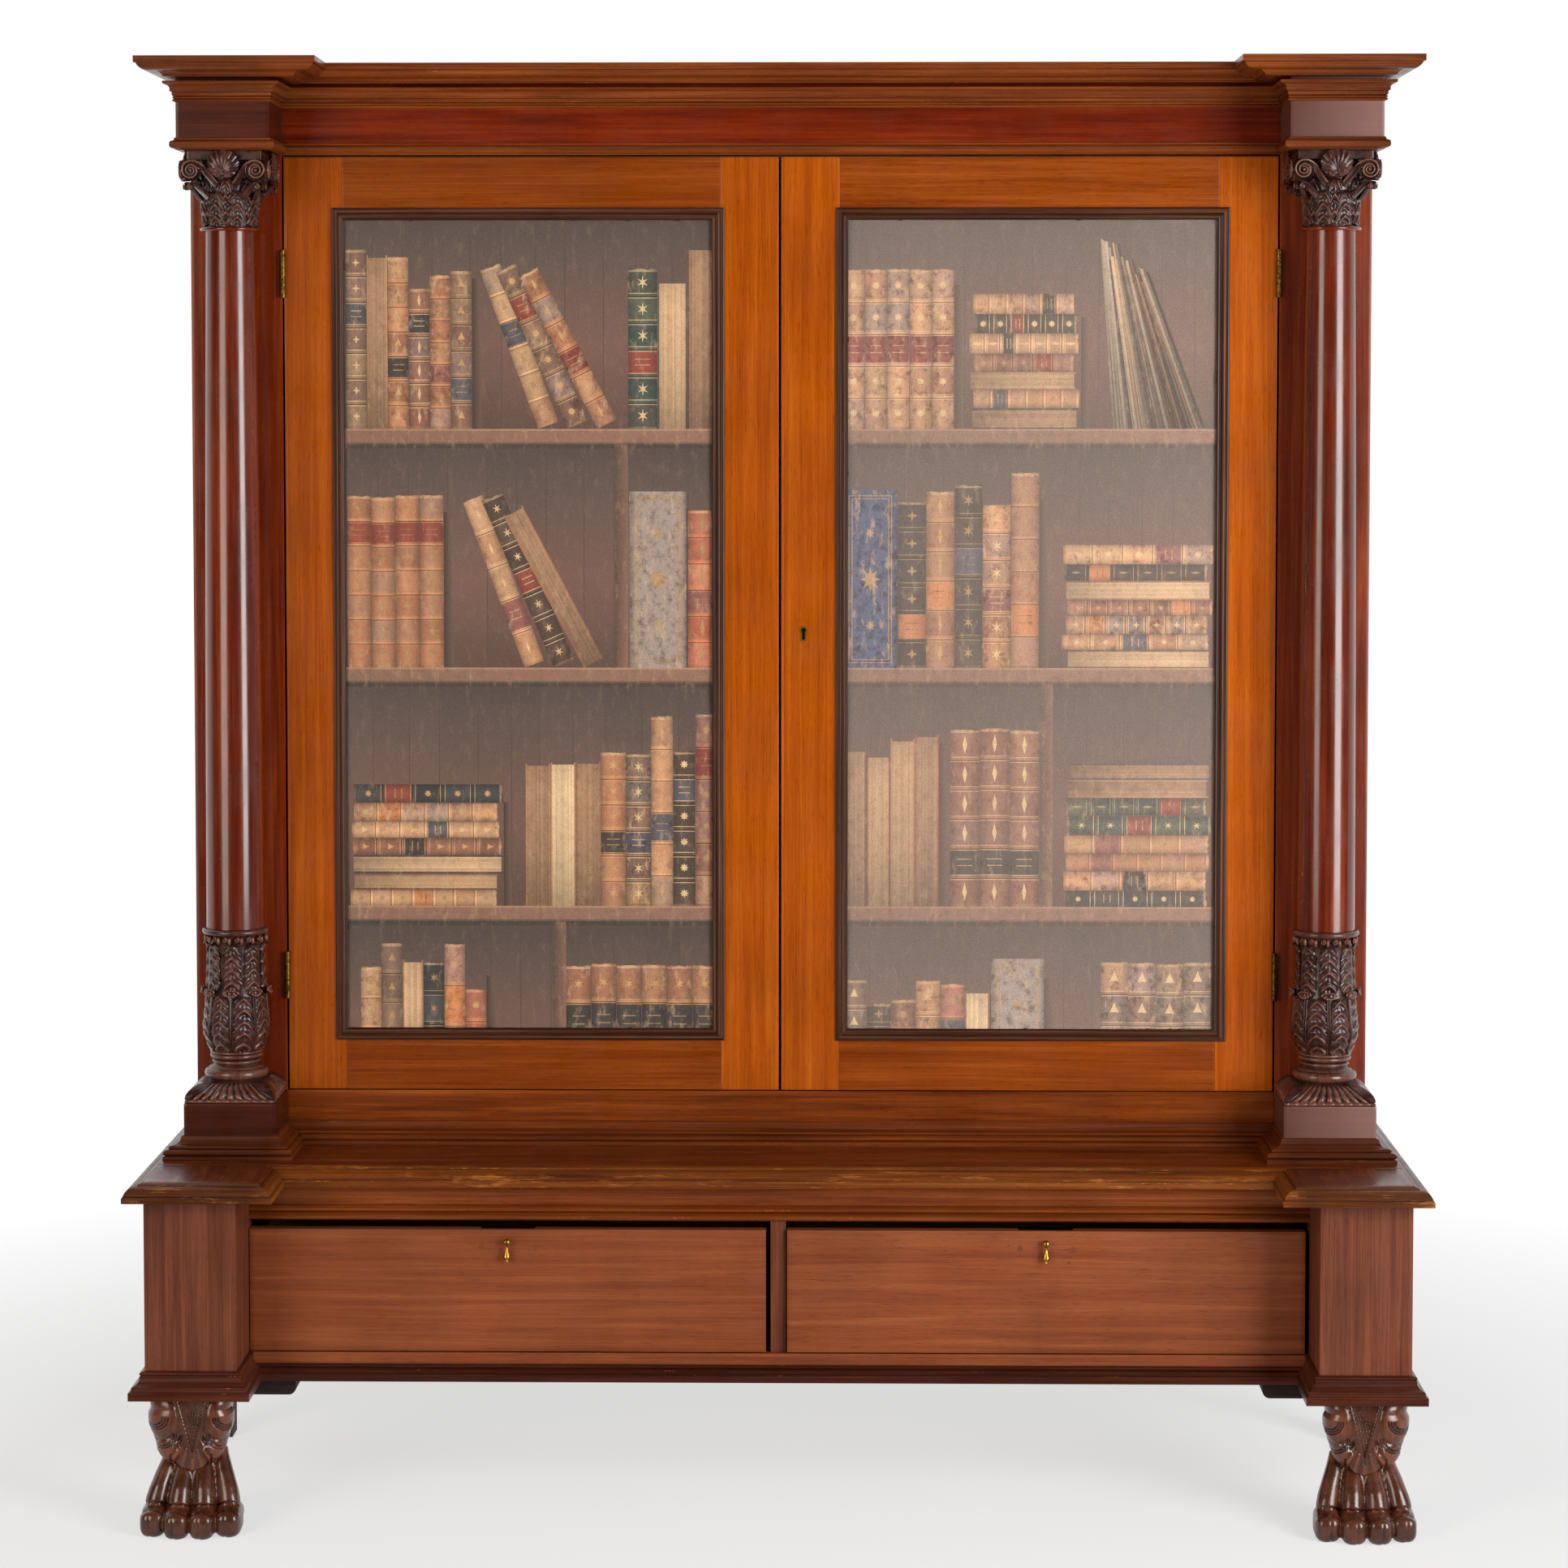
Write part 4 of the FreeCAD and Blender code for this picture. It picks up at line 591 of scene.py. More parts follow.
    def turn(self, centre: Flat, rows: Sequence[Point], around: int = 96,
             ripple: Callable[[float, float], float] | None = None) -> None:
        """Adds a turned body on a vertical axis.

        Args:
            centre: x and y of the axis.
            rows: (radius, height, wear) from the bottom up; a radius of 0 closes an end.
            around: points in each circle.
            ripple: extra radius for an angle and height.
        """
        self.fresh()
        rings = []
        for radius, height, worn in rows:
            if radius == 0:
                rings.append([self.put((*centre, height), (height, 0, 0), worn)])
                continue
            ring = []
            for k in range(around):
                angle = 2 * pi * k / around
                r = radius + (ripple(angle, height) if ripple else 0.0)
                x, y = r * cos(angle), r * sin(angle)
                ring.append(self.put((centre[0] + x, centre[1] + y, height), (height, x, y), worn))
            rings.append(ring)
        for low, top in zip(rings, rings[1:]):
            for k in range(around):
                m = (k + 1) % around
                if len(low) == 1:
                    face = low[0], top[m], top[k]
                elif len(top) == 1:
                    face = low[k], low[m], top[0]
                else:
                    face = low[k], low[m], top[m], top[k]
                self.faces.append(face)

    def mirrored(self) -> "Draft":
        """The same draft on the other side of the middle plane."""
        twin = Draft(count=self.count + 40)
        shift = Vector((137.0, 59.0, 23.0))
        points = [(-p.x, p.y, p.z) for p in self.points]
        faces = [tuple(reversed(face)) for face in self.faces]
        twin.add(points, faces, [g + shift for g in self.grain], self.wear)
        return twin

    def join(self, other: "Draft") -> "Draft":
        """Adds another draft to this one."""
        self.add(other.points, other.faces, other.grain, other.wear)
        return self

    def both_sides(self) -> "Draft":
        """This draft and its twin on the other side."""
        return Draft().join(self).join(self.mirrored())

    def to_object(self, name: str, finish: Material,
                  sharp: float = 38.0) -> Object:
        """Turns the draft into an object at the origin, its place in its mesh.

        Args:
            name: the object's name.
            finish: its material.
            sharp: edges over this angle stay sharp, in degrees.

        Returns:
            The linked object.
        """
        mesh = bpy.data.meshes.new(name)
        mesh.from_pydata([p * MM for p in self.points], [], self.faces)
        grain = mesh.attributes.new("grain", "FLOAT_VECTOR", "POINT")
        grain.data.foreach_set("vector", [c * MM for g in self.grain for c in g])
        wear = mesh.attributes.new("wear", "FLOAT", "POINT")
        wear.data.foreach_set("value", self.wear)
        shell = bmesh.new()
        shell.from_mesh(mesh)
        bmesh.ops.recalc_face_normals(shell, faces=shell.faces[:])
        shell.to_mesh(mesh)
        shell.free()
        smooth(mesh, sharp)
        mesh.materials.append(finish)
        return link(name, mesh)

    def place(self, name: str, finish: Material, node: str, slot: str,
              body: str = "case", sharp: float = 38.0) -> None:
        """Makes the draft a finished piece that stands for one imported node.

        Args:
            name: the object's name.
            finish: its material.
            node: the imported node.
            slot: the record's material slot.
            body: the body it rides on.
            sharp: edges over this angle stay sharp, in degrees.
        """
        settle(self.to_object(name, finish, sharp), body, [node], slot)


def link(name: str, data: Any) -> Object:
    """Makes an object of a mesh, a lamp or a camera and links it."""
    made = bpy.data.objects.new(name, data)
    bpy.context.scene.collection.objects.link(made)
    return made


def smooth(mesh: Mesh, sharp: float) -> None:
    """Shades a mesh smooth except over edges sharper than an angle in degrees."""
    mesh.polygons.foreach_set("use_smooth", [True] * len(mesh.polygons))
    mesh.set_sharp_from_angle(angle=radians(sharp))


def modified(source: Object) -> Mesh:
    """The mesh of a piece after its modifiers; the piece is removed."""
    bpy.context.view_layer.update()
    mesh = bpy.data.meshes.new_from_object(source.evaluated_get(
        bpy.context.evaluated_depsgraph_get()))
    bpy.data.objects.remove(source)
    return mesh


def section(corners: Sequence[tuple[float, ...]], soft: float = 0.7, steps: int = 7,
            rim: float = 3.0) -> list[Point]:
    """Draws a moulding's section with rounded arrises and their wear.

    Args:
        corners: (out, up), or (out, up, bulge) where an arc arrives; a bulge over 0 swells out.
        soft: radius of a softened arris.
        steps: pieces of each arc.
        rim: width of the worn strip beside an arris.

    Returns:
        Points (out, up, wear), anticlockwise.
    """
    line: list[Flat] = []
    for n, corner in enumerate(corners):
        end = Vector(corner[:2])
        if len(corner) == 3 and n:
            start = Vector(corners[n - 1][:2])
            chord = end - start
            normal = Vector((chord.y, -chord.x)).normalized()
            rise = corner[2] * chord.length / 2
            for k in range(1, steps):
                t = k / steps
                spot = start + chord * t + normal * rise * 4 * t * (1 - t)
                line.append((spot.x, spot.y))
        line.append((end.x, end.y))
    found: list[tuple[Vector, float]] = []
    total, nearly_straight = len(line), radians(28)
    for n, spot in enumerate(line):
        here = Vector(spot)
        back, on = Vector(line[n - 1]) - here, Vector(line[(n + 1) % total]) - here
        if back.length < 1e-6 or on.length < 1e-6:
            continue
        turn = (-back).angle_signed(on)
        if abs(turn) < nearly_straight or n in (0, total - 1):
            found.append((here, 0.0))
            continue
        worn = 1.0 if turn < 0 else -0.8
        sides = [(side.normalized(), min(soft, side.length * 0.4), side.length > 3 * rim)
                 for side in (back, on)]
        (first, _), (last, _) = arris = [(here + way * reach, worn * 0.8)
                                         for way, reach, _ in sides]
        arris.insert(1, ((first + last) / 4 + here / 2, worn))
        far = [[(here + way * (reach + rim), 0.0)] if is_long else []
               for way, reach, is_long in sides]
        found += far[0] + arris + far[1]
    return [(spot.x, spot.y, worn) for spot, worn in found]


def scaled(shares: Sequence[tuple[float, ...]], out: float, up: float) -> list[tuple[float, ...]]:
    """Turns section shares into millimetres."""
    return [(s[0] * out, s[1] * up) + tuple(s[2:]) for s in shares]


def settle(piece: Object, body: str, nodes: Sequence[str], slot: str) -> None:
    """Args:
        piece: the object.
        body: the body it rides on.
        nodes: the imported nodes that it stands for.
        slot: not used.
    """
    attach(piece, body)
    if nodes:
        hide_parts(*nodes)
    LOG.info("%s: %d faces on %s", piece.name, len(piece.data.polygons), body)


def dress(names: Sequence[str], finish: Material) -> None:
    """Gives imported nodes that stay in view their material."""
    for name in names:
        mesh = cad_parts[name].data
        mesh.materials.clear()
        mesh.materials.append(finish)


def ring_of(source: Object, name: str, count: int, phase: float, centre: Point,
            finish: Material) -> Object:
    """Repeats a piece round a vertical axis with Geometry Nodes.

    Args:
        source: the piece, drawn about the origin's vertical axis; it is removed.
        name: name of the result.
        count: copies.
        phase: turn of the first copy in degrees.
        centre: place of the axis in millimetres.
        finish: material set on the result.

    Returns:
        A plain mesh object with all the copies.
    """
    group = bpy.data.node_groups.new(f"{name}_ring", "GeometryNodeTree")
    modifier = source.modifiers.new("ring", "NODES")
    values = {}
    for label, kind, value in (("Geometry", "NodeSocketGeometry", None),
                               ("Count", "NodeSocketInt", count),
                               ("Phase", "NodeSocketFloat", radians(phase)),
                               ("Centre", "NodeSocketVector", Vector(centre) * MM),
                               ("Finish", "NodeSocketMaterial", finish)):
        socket = group.interface.new_socket(label, in_out="INPUT", socket_type=kind)
        values[socket.identifier] = value
    group.interface.new_socket("Geometry", in_out="OUTPUT", socket_type="NodeSocketGeometry")
    g = Graph(group)
    given = g.node("NodeGroupInput").outputs
    points = g.node("GeometryNodePoints", Count=given["Count"])
    angle = g.maths("MULTIPLY_ADD", g.node("GeometryNodeInputIndex").outputs[0],
                    g.maths("DIVIDE", 2 * pi, given["Count"]), given["Phase"])
    spin = g.node("FunctionNodeEulerToRotation", i0=g.node("CombineXYZ", Z=angle).outputs[0])
    copies = g.node("GeometryNodeInstanceOnPoints", Points=points.outputs[0],
                    Instance=given["Geometry"], Rotation=spin.outputs[0])
    moved = g.node("GeometryNodeTransform", Geometry=copies.outputs[0],
                   Translation=given["Centre"])
    real = g.node("GeometryNodeRealizeInstances", Geometry=moved.outputs[0])
    coat = g.node("GeometryNodeSetMaterial", Geometry=real.outputs[0], Material=given["Finish"])
    g.node("NodeGroupOutput", Geometry=coat.outputs[0])
    modifier.node_group = group
    for identifier, value in values.items():
        if value is not None:
            modifier[identifier] = value
    mesh = modified(source)
    mesh.name = name
    mesh.materials.clear()
    mesh.materials.append(finish)
    return link(name, mesh)


def joined(name: str, pieces: Sequence[Object],
           finish: Material) -> Object:
    """Makes one mesh of several finished objects and removes them."""
    whole = bmesh.new()
    for piece in pieces:
        whole.from_mesh(piece.data)
    mesh = bpy.data.meshes.new(name)
    whole.to_mesh(mesh)
    whole.free()
    for piece in pieces:
        bpy.data.objects.remove(piece)
    smooth(mesh, 50.0)
    mesh.materials.clear()
    mesh.materials.append(finish)
    return link(name, mesh)


# The plan of the bookcase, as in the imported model


@dataclass(frozen=True)
class Plan:
    """Datum planes and levels that the pieces share."""

    back: float = 320
    back_board: float = 308
    ledge_front: float = -285
    pedestal_front: float = -275
    drawer_front: float = -149
    frieze_front: float = -119
    pedestal_back: float = -115
    crown_front: float = -101
    plinth_front: float = -87
    crown_middle: float = 31
    door_front: float = 45
    door_back: float = 70
    pilaster_back: float = 67
    pedestal_outer: float = 1001
    pedestal_inner: float = 855
    case_outer: float = 969
    ledge_inner: float = 820
    block_inner: float = 819
    crown_inner: float = 790
    board: float = 22
    column_x: float = 894
    column_y: float = -12.3
    foot: float = 217
    rail_top: float = 259
    opening_top: float = 473.6
    ledge_under: float = 534.6
    ledge_top: float = 563.2
    sill_top: float = 650.2
    plinth_top: float = 651.2
    cushion_top: float = 680.2
    drum_top: float = 931.2
    shaft_top: float = 2068.7
    capital_low: float = 2075.7
    abacus_low: float = 2182.0
    head: float = 2197
    bed_low: float = 2273
    crown_low: float = 2312
    crown_top: float = 2341.5

    def break_front(self, outer: float, front: float, inner: float,
                    middle: float) -> list[Flat]:
        """Corners of a run round both ends and the middle, from the left back."""
        return [(-outer, self.back), (-outer, front), (-inner, front), (-inner, middle),
                (inner, middle), (inner, front), (outer, front), (outer, self.back)]

    def columns(self) -> list[tuple[str, Point]]:
        """Side and foot of the axis of each column."""
        return [(side, (sign * self.column_x, self.column_y, 0.0))
                for side, sign in (("left", -1), ("right", 1))]


PLAN = Plan()


def planks(name: str, finish: Material, node: str, slot: str, *boards: tuple[Any, ...],
           twins: bool = False) -> None:
    """Makes one piece of the case from planks.

    Args:
        name: the object's name.
        finish: its material.
        node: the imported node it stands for.
        slot: the record's material slot.
        boards: what Draft.board takes, for each plank.
        twins: whether the planks are right-hand ones that are mirrored too.
    """
    d = Draft()
    for board in boards:
        d.board(*board)
    (d.both_sides() if twins else d).place(name, finish, node, slot)


def moulding(name: str, finish: Material, node: str, slot: str, level: float,
             *runs: tuple[Any, ...], soft: float = 0.7) -> None:
    """Makes one piece of the case from runs of moulding.

    Args:
        name: the object's name.
        finish: its material.
        node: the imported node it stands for.
        slot: the record's material slot.
        level: height of its lower edge.
        runs: plan, section shares, how far it stands out and how high it is, for each run.
        soft: radius of its softened arrises.
    """
    d = Draft()
    for plan, shares, proud, high in runs:
        d.run(plan, section(scaled(shares, proud, high), soft=soft), level=level)
    d.place(name, finish, node, slot)


@dataclass
class LowerStage:
    """Pedestals, ledge, base mouldings and the boards of the lower case."""

    finishes: Wardrobe

    BASE = ((0, 0), (1, 0), (1, 0.30), (0.80, 0.42, -0.5), (0.80, 0.47), (0.66, 0.50),
            (0.30, 0.84, -0.35), (0.24, 0.86), (0.24, 0.97, 0.8), (0, 1))
    MIDDLE = ((0, 0), (1, 0), (1, 0.52), (0.55, 0.70, -0.5), (0.30, 0.78), (0.30, 1, 0.7), (0, 1))
    FRIEZE = ((0, 0), (0.47, 0), (0.47, 0.19, 1.2), (0.40, 0.21), (0.40, 0.36, 1.2),
              (0.34, 0.38), (0.34, 0.44), (1, 0.96, -0.5), (1, 1), (0, 1))
    LEDGE = ((0, 0), (1, 0), (1, 0.32), (0.93, 0.36), (0.22, 0.84, 0.42), (0.22, 0.92), (0, 1))

    def pedestals(self) -> None:
        """The front pedestals and the boards behind them."""
        p, wood = PLAN, self.finishes.pedestal
        planks("pedestal_blocks", wood, "pedestals", "pedestal_wood",
               ((p.pedestal_inner, p.pedestal_front, p.foot),
                (p.pedestal_outer, p.pedestal_back, p.ledge_under), Along.Z), twins=True)
        planks("lower_side_boards", wood, "lower_sides", "pedestal_wood",
               ((p.pedestal_outer - p.board, p.pedestal_back, p.foot),
                (p.pedestal_outer, p.back_board, p.ledge_under), Along.Y), twins=True)

    def mouldings(self) -> None:
        """The base moulding, the moulded rail under the ledge and the ledge edge."""
        p, f = PLAN, self.finishes
        outer, inner = p.pedestal_outer, p.pedestal_inner
        right = [(inner, p.drawer_front), (inner, p.pedestal_front), (outer, p.pedestal_front),
                 (outer, p.back)]
        left = [(-x, y) for x, y in reversed(right)]
        reach = inner - 9
        moulding("base_moulding_run", f.base, "base_moulding", "moulding_wood", p.foot,
                 (left, self.BASE, 23, 43.5), (right, self.BASE, 23, 43.5),
                 ([(-reach, p.drawer_front), (reach, p.drawer_front)], self.MIDDLE, 24, 24))
        moulding("ledge_frieze_run", f.crown, "ledge_frieze", "moulding_wood", p.opening_top,
                 ([(-inner, p.frieze_front), (inner, p.frieze_front)], self.FRIEZE, 53, 61))
        moulding("ledge_edge_run", f.nosing, "ledge_edge", "ledge_wood", p.ledge_under,
                 (p.break_front(outer, p.ledge_front, p.ledge_inner, p.drawer_front), self.LEDGE,
                  28, 28.6), soft=1.1)

    def boards(self) -> None:
        """The ledge, base rail, post between the drawers and the plain boards."""
        p, f = PLAN, self.finishes
        low, top = p.ledge_under, p.ledge_top
        ends = (-p.pedestal_outer, -p.ledge_inner), (p.ledge_inner, p.pedestal_outer)
        planks("ledge_boards", f.ledge, "ledge_board", "ledge_wood",
               ((-p.pedestal_outer, p.drawer_front, low), (p.pedestal_outer, p.back, top),
                Along.X, 0.5, 12),
               *(((a, p.ledge_front, low), (b, p.drawer_front, top), Along.Y, 0.5, 12)
                 for a, b in ends))
        planks("base_rail_board", f.drawer, "base_rail", "drawer_wood",
               ((-p.pedestal_inner, p.drawer_front, p.foot),
                (p.pedestal_inner, p.drawer_front + p.board, p.rail_top), Along.X))
        planks("drawer_divider_boards", f.pedestal, "drawer_divider", "drawer_wood",
               ((-12.5, -141, p.rail_top), (12.5, p.frieze_front, p.opening_top), Along.Z),
               ((-9, p.frieze_front, 235), (9, p.back_board, p.ledge_under), Along.Y))

    def build(self) -> None:
        """Builds the whole lower stage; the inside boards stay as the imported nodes."""
        self.pedestals()
        self.mouldings()
        self.boards()
        dress(["lower_floor", "lower_back", "drawer_runners"], self.finishes.inner)
        dress(["rear_feet", "foot_blocks"], self.finishes.dark_inner)


@dataclass
class UpperCase:
    """Pilasters, sides, frieze, entablature blocks and the cornice."""

    finishes: Wardrobe

    PLINTH = ((0, 0), (1, 0), (1, 0.16), (0.86, 0.20), (0.86, 0.44, 0.9), (0.66, 0.47),
              (0.66, 0.60, 0.9), (0.52, 0.62), (0.14, 0.94, -0.45), (0, 1))
    ARCHITRAVE = ((0, 0), (0.30, 0.10), (0.72, 0.14), (1, 0.46, 0.4), (0.70, 0.72, 0.4),
                  (0.40, 0.76), (0.30, 0.96, -0.4), (0, 1))
    BED = ((0, 0), (0.16, 0.03), (0.16, 0.13, 1.0), (0.12, 0.15), (0.12, 0.28, 1.0), (0.28, 0.32),
           (0.28, 0.48), (0.46, 0.52), (0.84, 0.84, -0.5), (1, 0.88), (1, 1), (0, 1))
    CROWN = ((0, 0), (0.28, 0), (0.28, 0.06), (0.56, 0.28, -0.3), (0.92, 0.54, 0.35),
             (0.92, 0.62), (1, 0.64), (1, 1), (0, 1))

    def boards(self) -> None:
        """The flat boards that show from outside."""
        p, f = PLAN, self.finishes
        inner = p.block_inner - 0.3
        for name, low, high, along, node, finish, slot in (
                ("pilaster_boards", (inner, p.door_front, p.ledge_top),
                 (p.case_outer, p.pilaster_back, p.crown_low), Along.Z, "corner_pilasters",
                 f.pilaster, "pilaster_wood"),
                ("upper_side_boards", (p.case_outer - p.board, p.pilaster_back, p.ledge_top),
                 (p.case_outer, p.back, p.crown_low), Along.Z, "upper_sides", f.pilaster,
                 "pilaster_wood"),
                ("plinth_blocks", (p.block_inner, p.plinth_front, p.ledge_top),
                 (p.case_outer, p.door_front, p.plinth_top), Along.X, "column_plinths", f.block,
                 "pilaster_wood"),
                ("entablature_ends", (p.block_inner, p.plinth_front, p.head),
                 (p.case_outer, p.door_front, p.crown_low), Along.X, "entablature_blocks",
                 f.block, "case_wood")):
            planks(name, finish, node, slot, (low, high, along), twins=True)
        for name, low, top, node, finish, slot in (
                ("frieze_panel", p.head, p.crown_low, "frieze_board", f.frieze, "case_wood"),
                ("sill_panel", p.ledge_top, p.sill_top, "sill_rail", f.sill, "pilaster_wood")):
            planks(name, finish, node, slot,
                   ((-inner, p.door_front, low), (inner, p.pilaster_back, top), Along.X))
        low, top = p.crown_low, p.crown_top
        ends = (-p.case_outer, -p.crown_inner), (p.crown_inner, p.case_outer)
        planks("crown_boards", f.crown, "crown_board", "case_wood",
               ((-p.case_outer, p.crown_middle, low), (p.case_outer, p.back, top), Along.X, 0.4),
               *(((a, p.crown_front, low), (b, p.crown_middle, top), Along.Y, 0.4)
                 for a, b in ends))

    def mouldings(self) -> None:
        """The mitred runs, from the plinth moulding up to the crown."""
        p, f = PLAN, self.finishes
        case = p.break_front(p.case_outer, p.plinth_front, p.block_inner, p.door_front)
        crown = p.break_front(p.case_outer, p.crown_front, p.crown_inner, p.crown_middle)
        for name, finish, node, slot, level, *run in (
                ("plinth_moulding_run", f.moulding, "plinth_moulding", "moulding_wood",
                 p.ledge_top, case, self.PLINTH, 30, 37),
                ("architrave_run", f.crown, "architrave_moulding", "moulding_wood", p.head,
                 case, self.ARCHITRAVE, 9, 19.5),
                ("bed_moulding_run", f.crown, "bed_moulding", "moulding_wood", p.bed_low,
                 case, self.BED, 18, 33),
                ("crown_run", f.crown, "crown_moulding", "case_wood", p.crown_low,
                 crown, self.CROWN, 55, 29.5)):
            moulding(name, finish, node, slot, level, run, soft=0.6)

    def build(self) -> None:
        """Builds the upper case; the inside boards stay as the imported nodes."""
        self.boards()
        self.mouldings()
        dress(["upper_floor", "upper_ceiling", "upper_back", "upper_partition", "shelves",
               "shelf_pegs"], self.finishes.inner)


# Carving


def held(value: float) -> float:
    """A value held between 0 and 1."""
    return min(1.0, max(0.0, value))


def hump(value: float, middle: float, wide: float) -> float:
    """A smooth bump over a value: 1 at its middle, near 0 beyond twice its width."""
    return exp(-((value - middle) / wide) ** 2)


def blend(table: Sequence[Flat], place: float) -> float:
    """The value at a place of a table of (place, value) rows in rising order."""
    for (p0, v0), (p1, v1) in zip(table, table[1:]):
        if place <= p1:
            return v0 + (v1 - v0) * max(0.0, place - p0) / (p1 - p0)
    return table[-1][1]


@dataclass
class Leaf:
    """One acanthus leaf, bent over a spine: lobes like hanging tongues, each with its pit."""

    long: float
    half: float
    lobes: int = 4
    relief: float = 2.3
    thick: float = 2.2
    across: int = 28
    along: int = 56
    tip: float = 0.22
    sweep: float = 0.17

    def phase(self, a: float, t: float) -> float:
        """Which lobe lies at a share out and along, and how far up it."""
        return self.lobes * (t + self.sweep * a ** 1.5) + 0.12

    def width(self, t: float) -> float:
        """Half width at a share of the length, notched between the lobes."""
        full = self.half * min(1.0, t / 0.12 + 0.62) * (1 - 0.2 * t)
        if t > 1 - self.tip:
            full *= sqrt(max(0.0, 1 - ((t - 1 + self.tip) / self.tip) ** 2)) * 0.9 + 0.1
        return full * (0.84 + 0.16 * sin(pi * (self.phase(1.0, t) % 1.0)) ** 0.5)

    def height(self, u: float, t: float) -> tuple[float, float]:
        """Relief in millimetres and its tone at a share across and along."""
        a = abs(u)
        phase = self.phase(a, t)
        f = phase % 1.0
        brow = hump(f, 0.82, 0.12)
        cut = exp(-(min(f, 1 - f) / 0.08) ** 2) * min(1.0, a / 0.2)
        pit = exp(-((f - 0.48) / 0.2) ** 2 - ((a - 0.12) / 0.22) ** 2)
        fingers = cos(6 * pi * phase) * held((a - 0.3) / 0.2)
        lift = (0.35 * f + 0.55 * brow - 0.75 * cut - 0.95 * pit + 0.14 * fingers
                - 0.55 * a ** 4)
        # The tone follows the lift: painted highlight on the brows and painted shade in the pits
        # and cuts.
        return lift * self.relief, 0.28 + 0.5 * lift

    def draft(self, spine: Spine) -> Draft:
        """Bends the leaf.

        Args:
            spine: distance out from the axis and height for a length along the leaf.

        Returns:
            The leaf, facing -Y about the vertical axis.
        """
        def spot(r: int, c: int) -> tuple[Vector, float]:
            """One point and its tone."""
            t, u = r / self.along, -1 + 2 * c / self.across
            s = t * self.long
            out, up = spine(s)
            ahead, behind = spine(s + 0.2), spine(s - 0.2)
            tangent = Vector((ahead[0] - behind[0], ahead[1] - behind[1])).normalized()
            normal = Vector((tangent.y, -tangent.x))
            lift, shade = self.height(u, t)
            angle = u * max(self.width(t), 0.6) / max(out, 8.0)
            reach = out + normal.x * lift
            return (Vector((reach * sin(angle), -reach * cos(angle),
                            up + normal.y * lift)), max(-0.2, min(1.0, shade)))

        return sheet(self.along + 1, self.across + 1, spot, self.thick)


def curling_spine(surface: Callable[[float], float], start: float, straight: float,
                  curl: float, lift: float = 1.0, turn: float = 3.4) -> Spine:
    """A spine that climbs a turned surface and then curls outwards and over.

    Args:
        surface: radius of the surface at a height.
        start: height where it begins.
        straight: climb before the curl.
        curl: radius of the curl.
        lift: distance in front of the surface.
        turn: angle of the whole curl in radians.

    Returns:
        Distance out and height for a length along the spine.
    """
    base_out, base_up = surface(start + straight) + lift, start + straight

    def spine(s: float) -> tuple[float, float]:
        """Place at a length along the spine."""
        if s <= straight:
            return surface(start + s) + lift, start + s
        angle = min((s - straight) / curl, turn)
        shrink = curl * (1 - 0.25 * angle / turn)
        return base_out + shrink * (1 - cos(angle)), base_up + shrink * sin(angle)

    return spine


def sheet(tall: int, wide: int, spot: Callable[[int, int], tuple[Vector, float]],
          thick: float) -> Draft:
    """A closed sheet from a grid of points, thickened backwards.

    Args:
        tall: number of rows.
        wide: points in each row.
        spot: front point and its wear, for a row and a column; on carving this wear holds painted
            shade and painted highlight that follow the relief.
        thick: thickness behind the front.

    Returns:
        The sheet.
    """
    grid = [[spot(r, c) for c in range(wide)] for r in range(tall)]
    rows = [[point for point, _ in line] for line in grid]
    points = [point for line in rows for point in line]
    for r in range(tall):
        for c in range(wide):
            across = rows[r][min(c + 1, wide - 1)] - rows[r][max(c - 1, 0)]
            along = rows[min(r + 1, tall - 1)][c] - rows[max(r - 1, 0)][c]
            points.append(rows[r][c] - across.cross(along).normalized() * thick)
    back = tall * wide
    faces = []
    for r in range(tall - 1):
        for c in range(wide - 1):
            a = r * wide + c
            b, d, e = a + 1, a + wide, a + wide + 1
            faces += [(a, b, e, d), (back + a, back + d, back + e, back + b)]
    rim = [*range(wide), *range(2 * wide - 1, back, wide),
           *range(back - 2, back - wide - 1, -1), *range(back - 2 * wide, 0, -wide)]
    faces += [(a, back + a, back + b, b) for a, b in zip(rim, rim[1:] + rim[:1])]
    d = Draft()
    d.add(points, faces, points, [tone for line in grid for _, tone in line] * 2)
    return d


def loft(rings: Sequence[Sequence[Vector]], wear: Sequence[float]) -> Draft:
    """A closed bar through rings of points, with a wear for each point, which on carving holds
    painted shade and painted highlight.
    """
    around, total = len(rings[0]), len(rings) * len(rings[0])
    points = [point for ring in rings for point in ring]
    faces: list[tuple[int, ...]] = []
    for start in range(0, total - around, around):
        for k in range(around):
            a, b = start + k, start + (k + 1) % around
            faces.append((a, b, b + around, a + around))
    faces += [tuple(range(around)), tuple(reversed(range(total - around, total)))]
    d = Draft()
    d.add(points, faces, points, wear)
    return d


def ways(path: Sequence[Point]) -> list[tuple[Vector, Vector]]:
    """The points of a path, each with the direction there."""
    spots = [Vector(p) for p in path]
    ahead, behind = spots[1:] + spots[-1:], spots[:1] + spots[:-1]
    return [(spot, (b - a).normalized()) for spot, a, b in zip(spots, behind, ahead)]


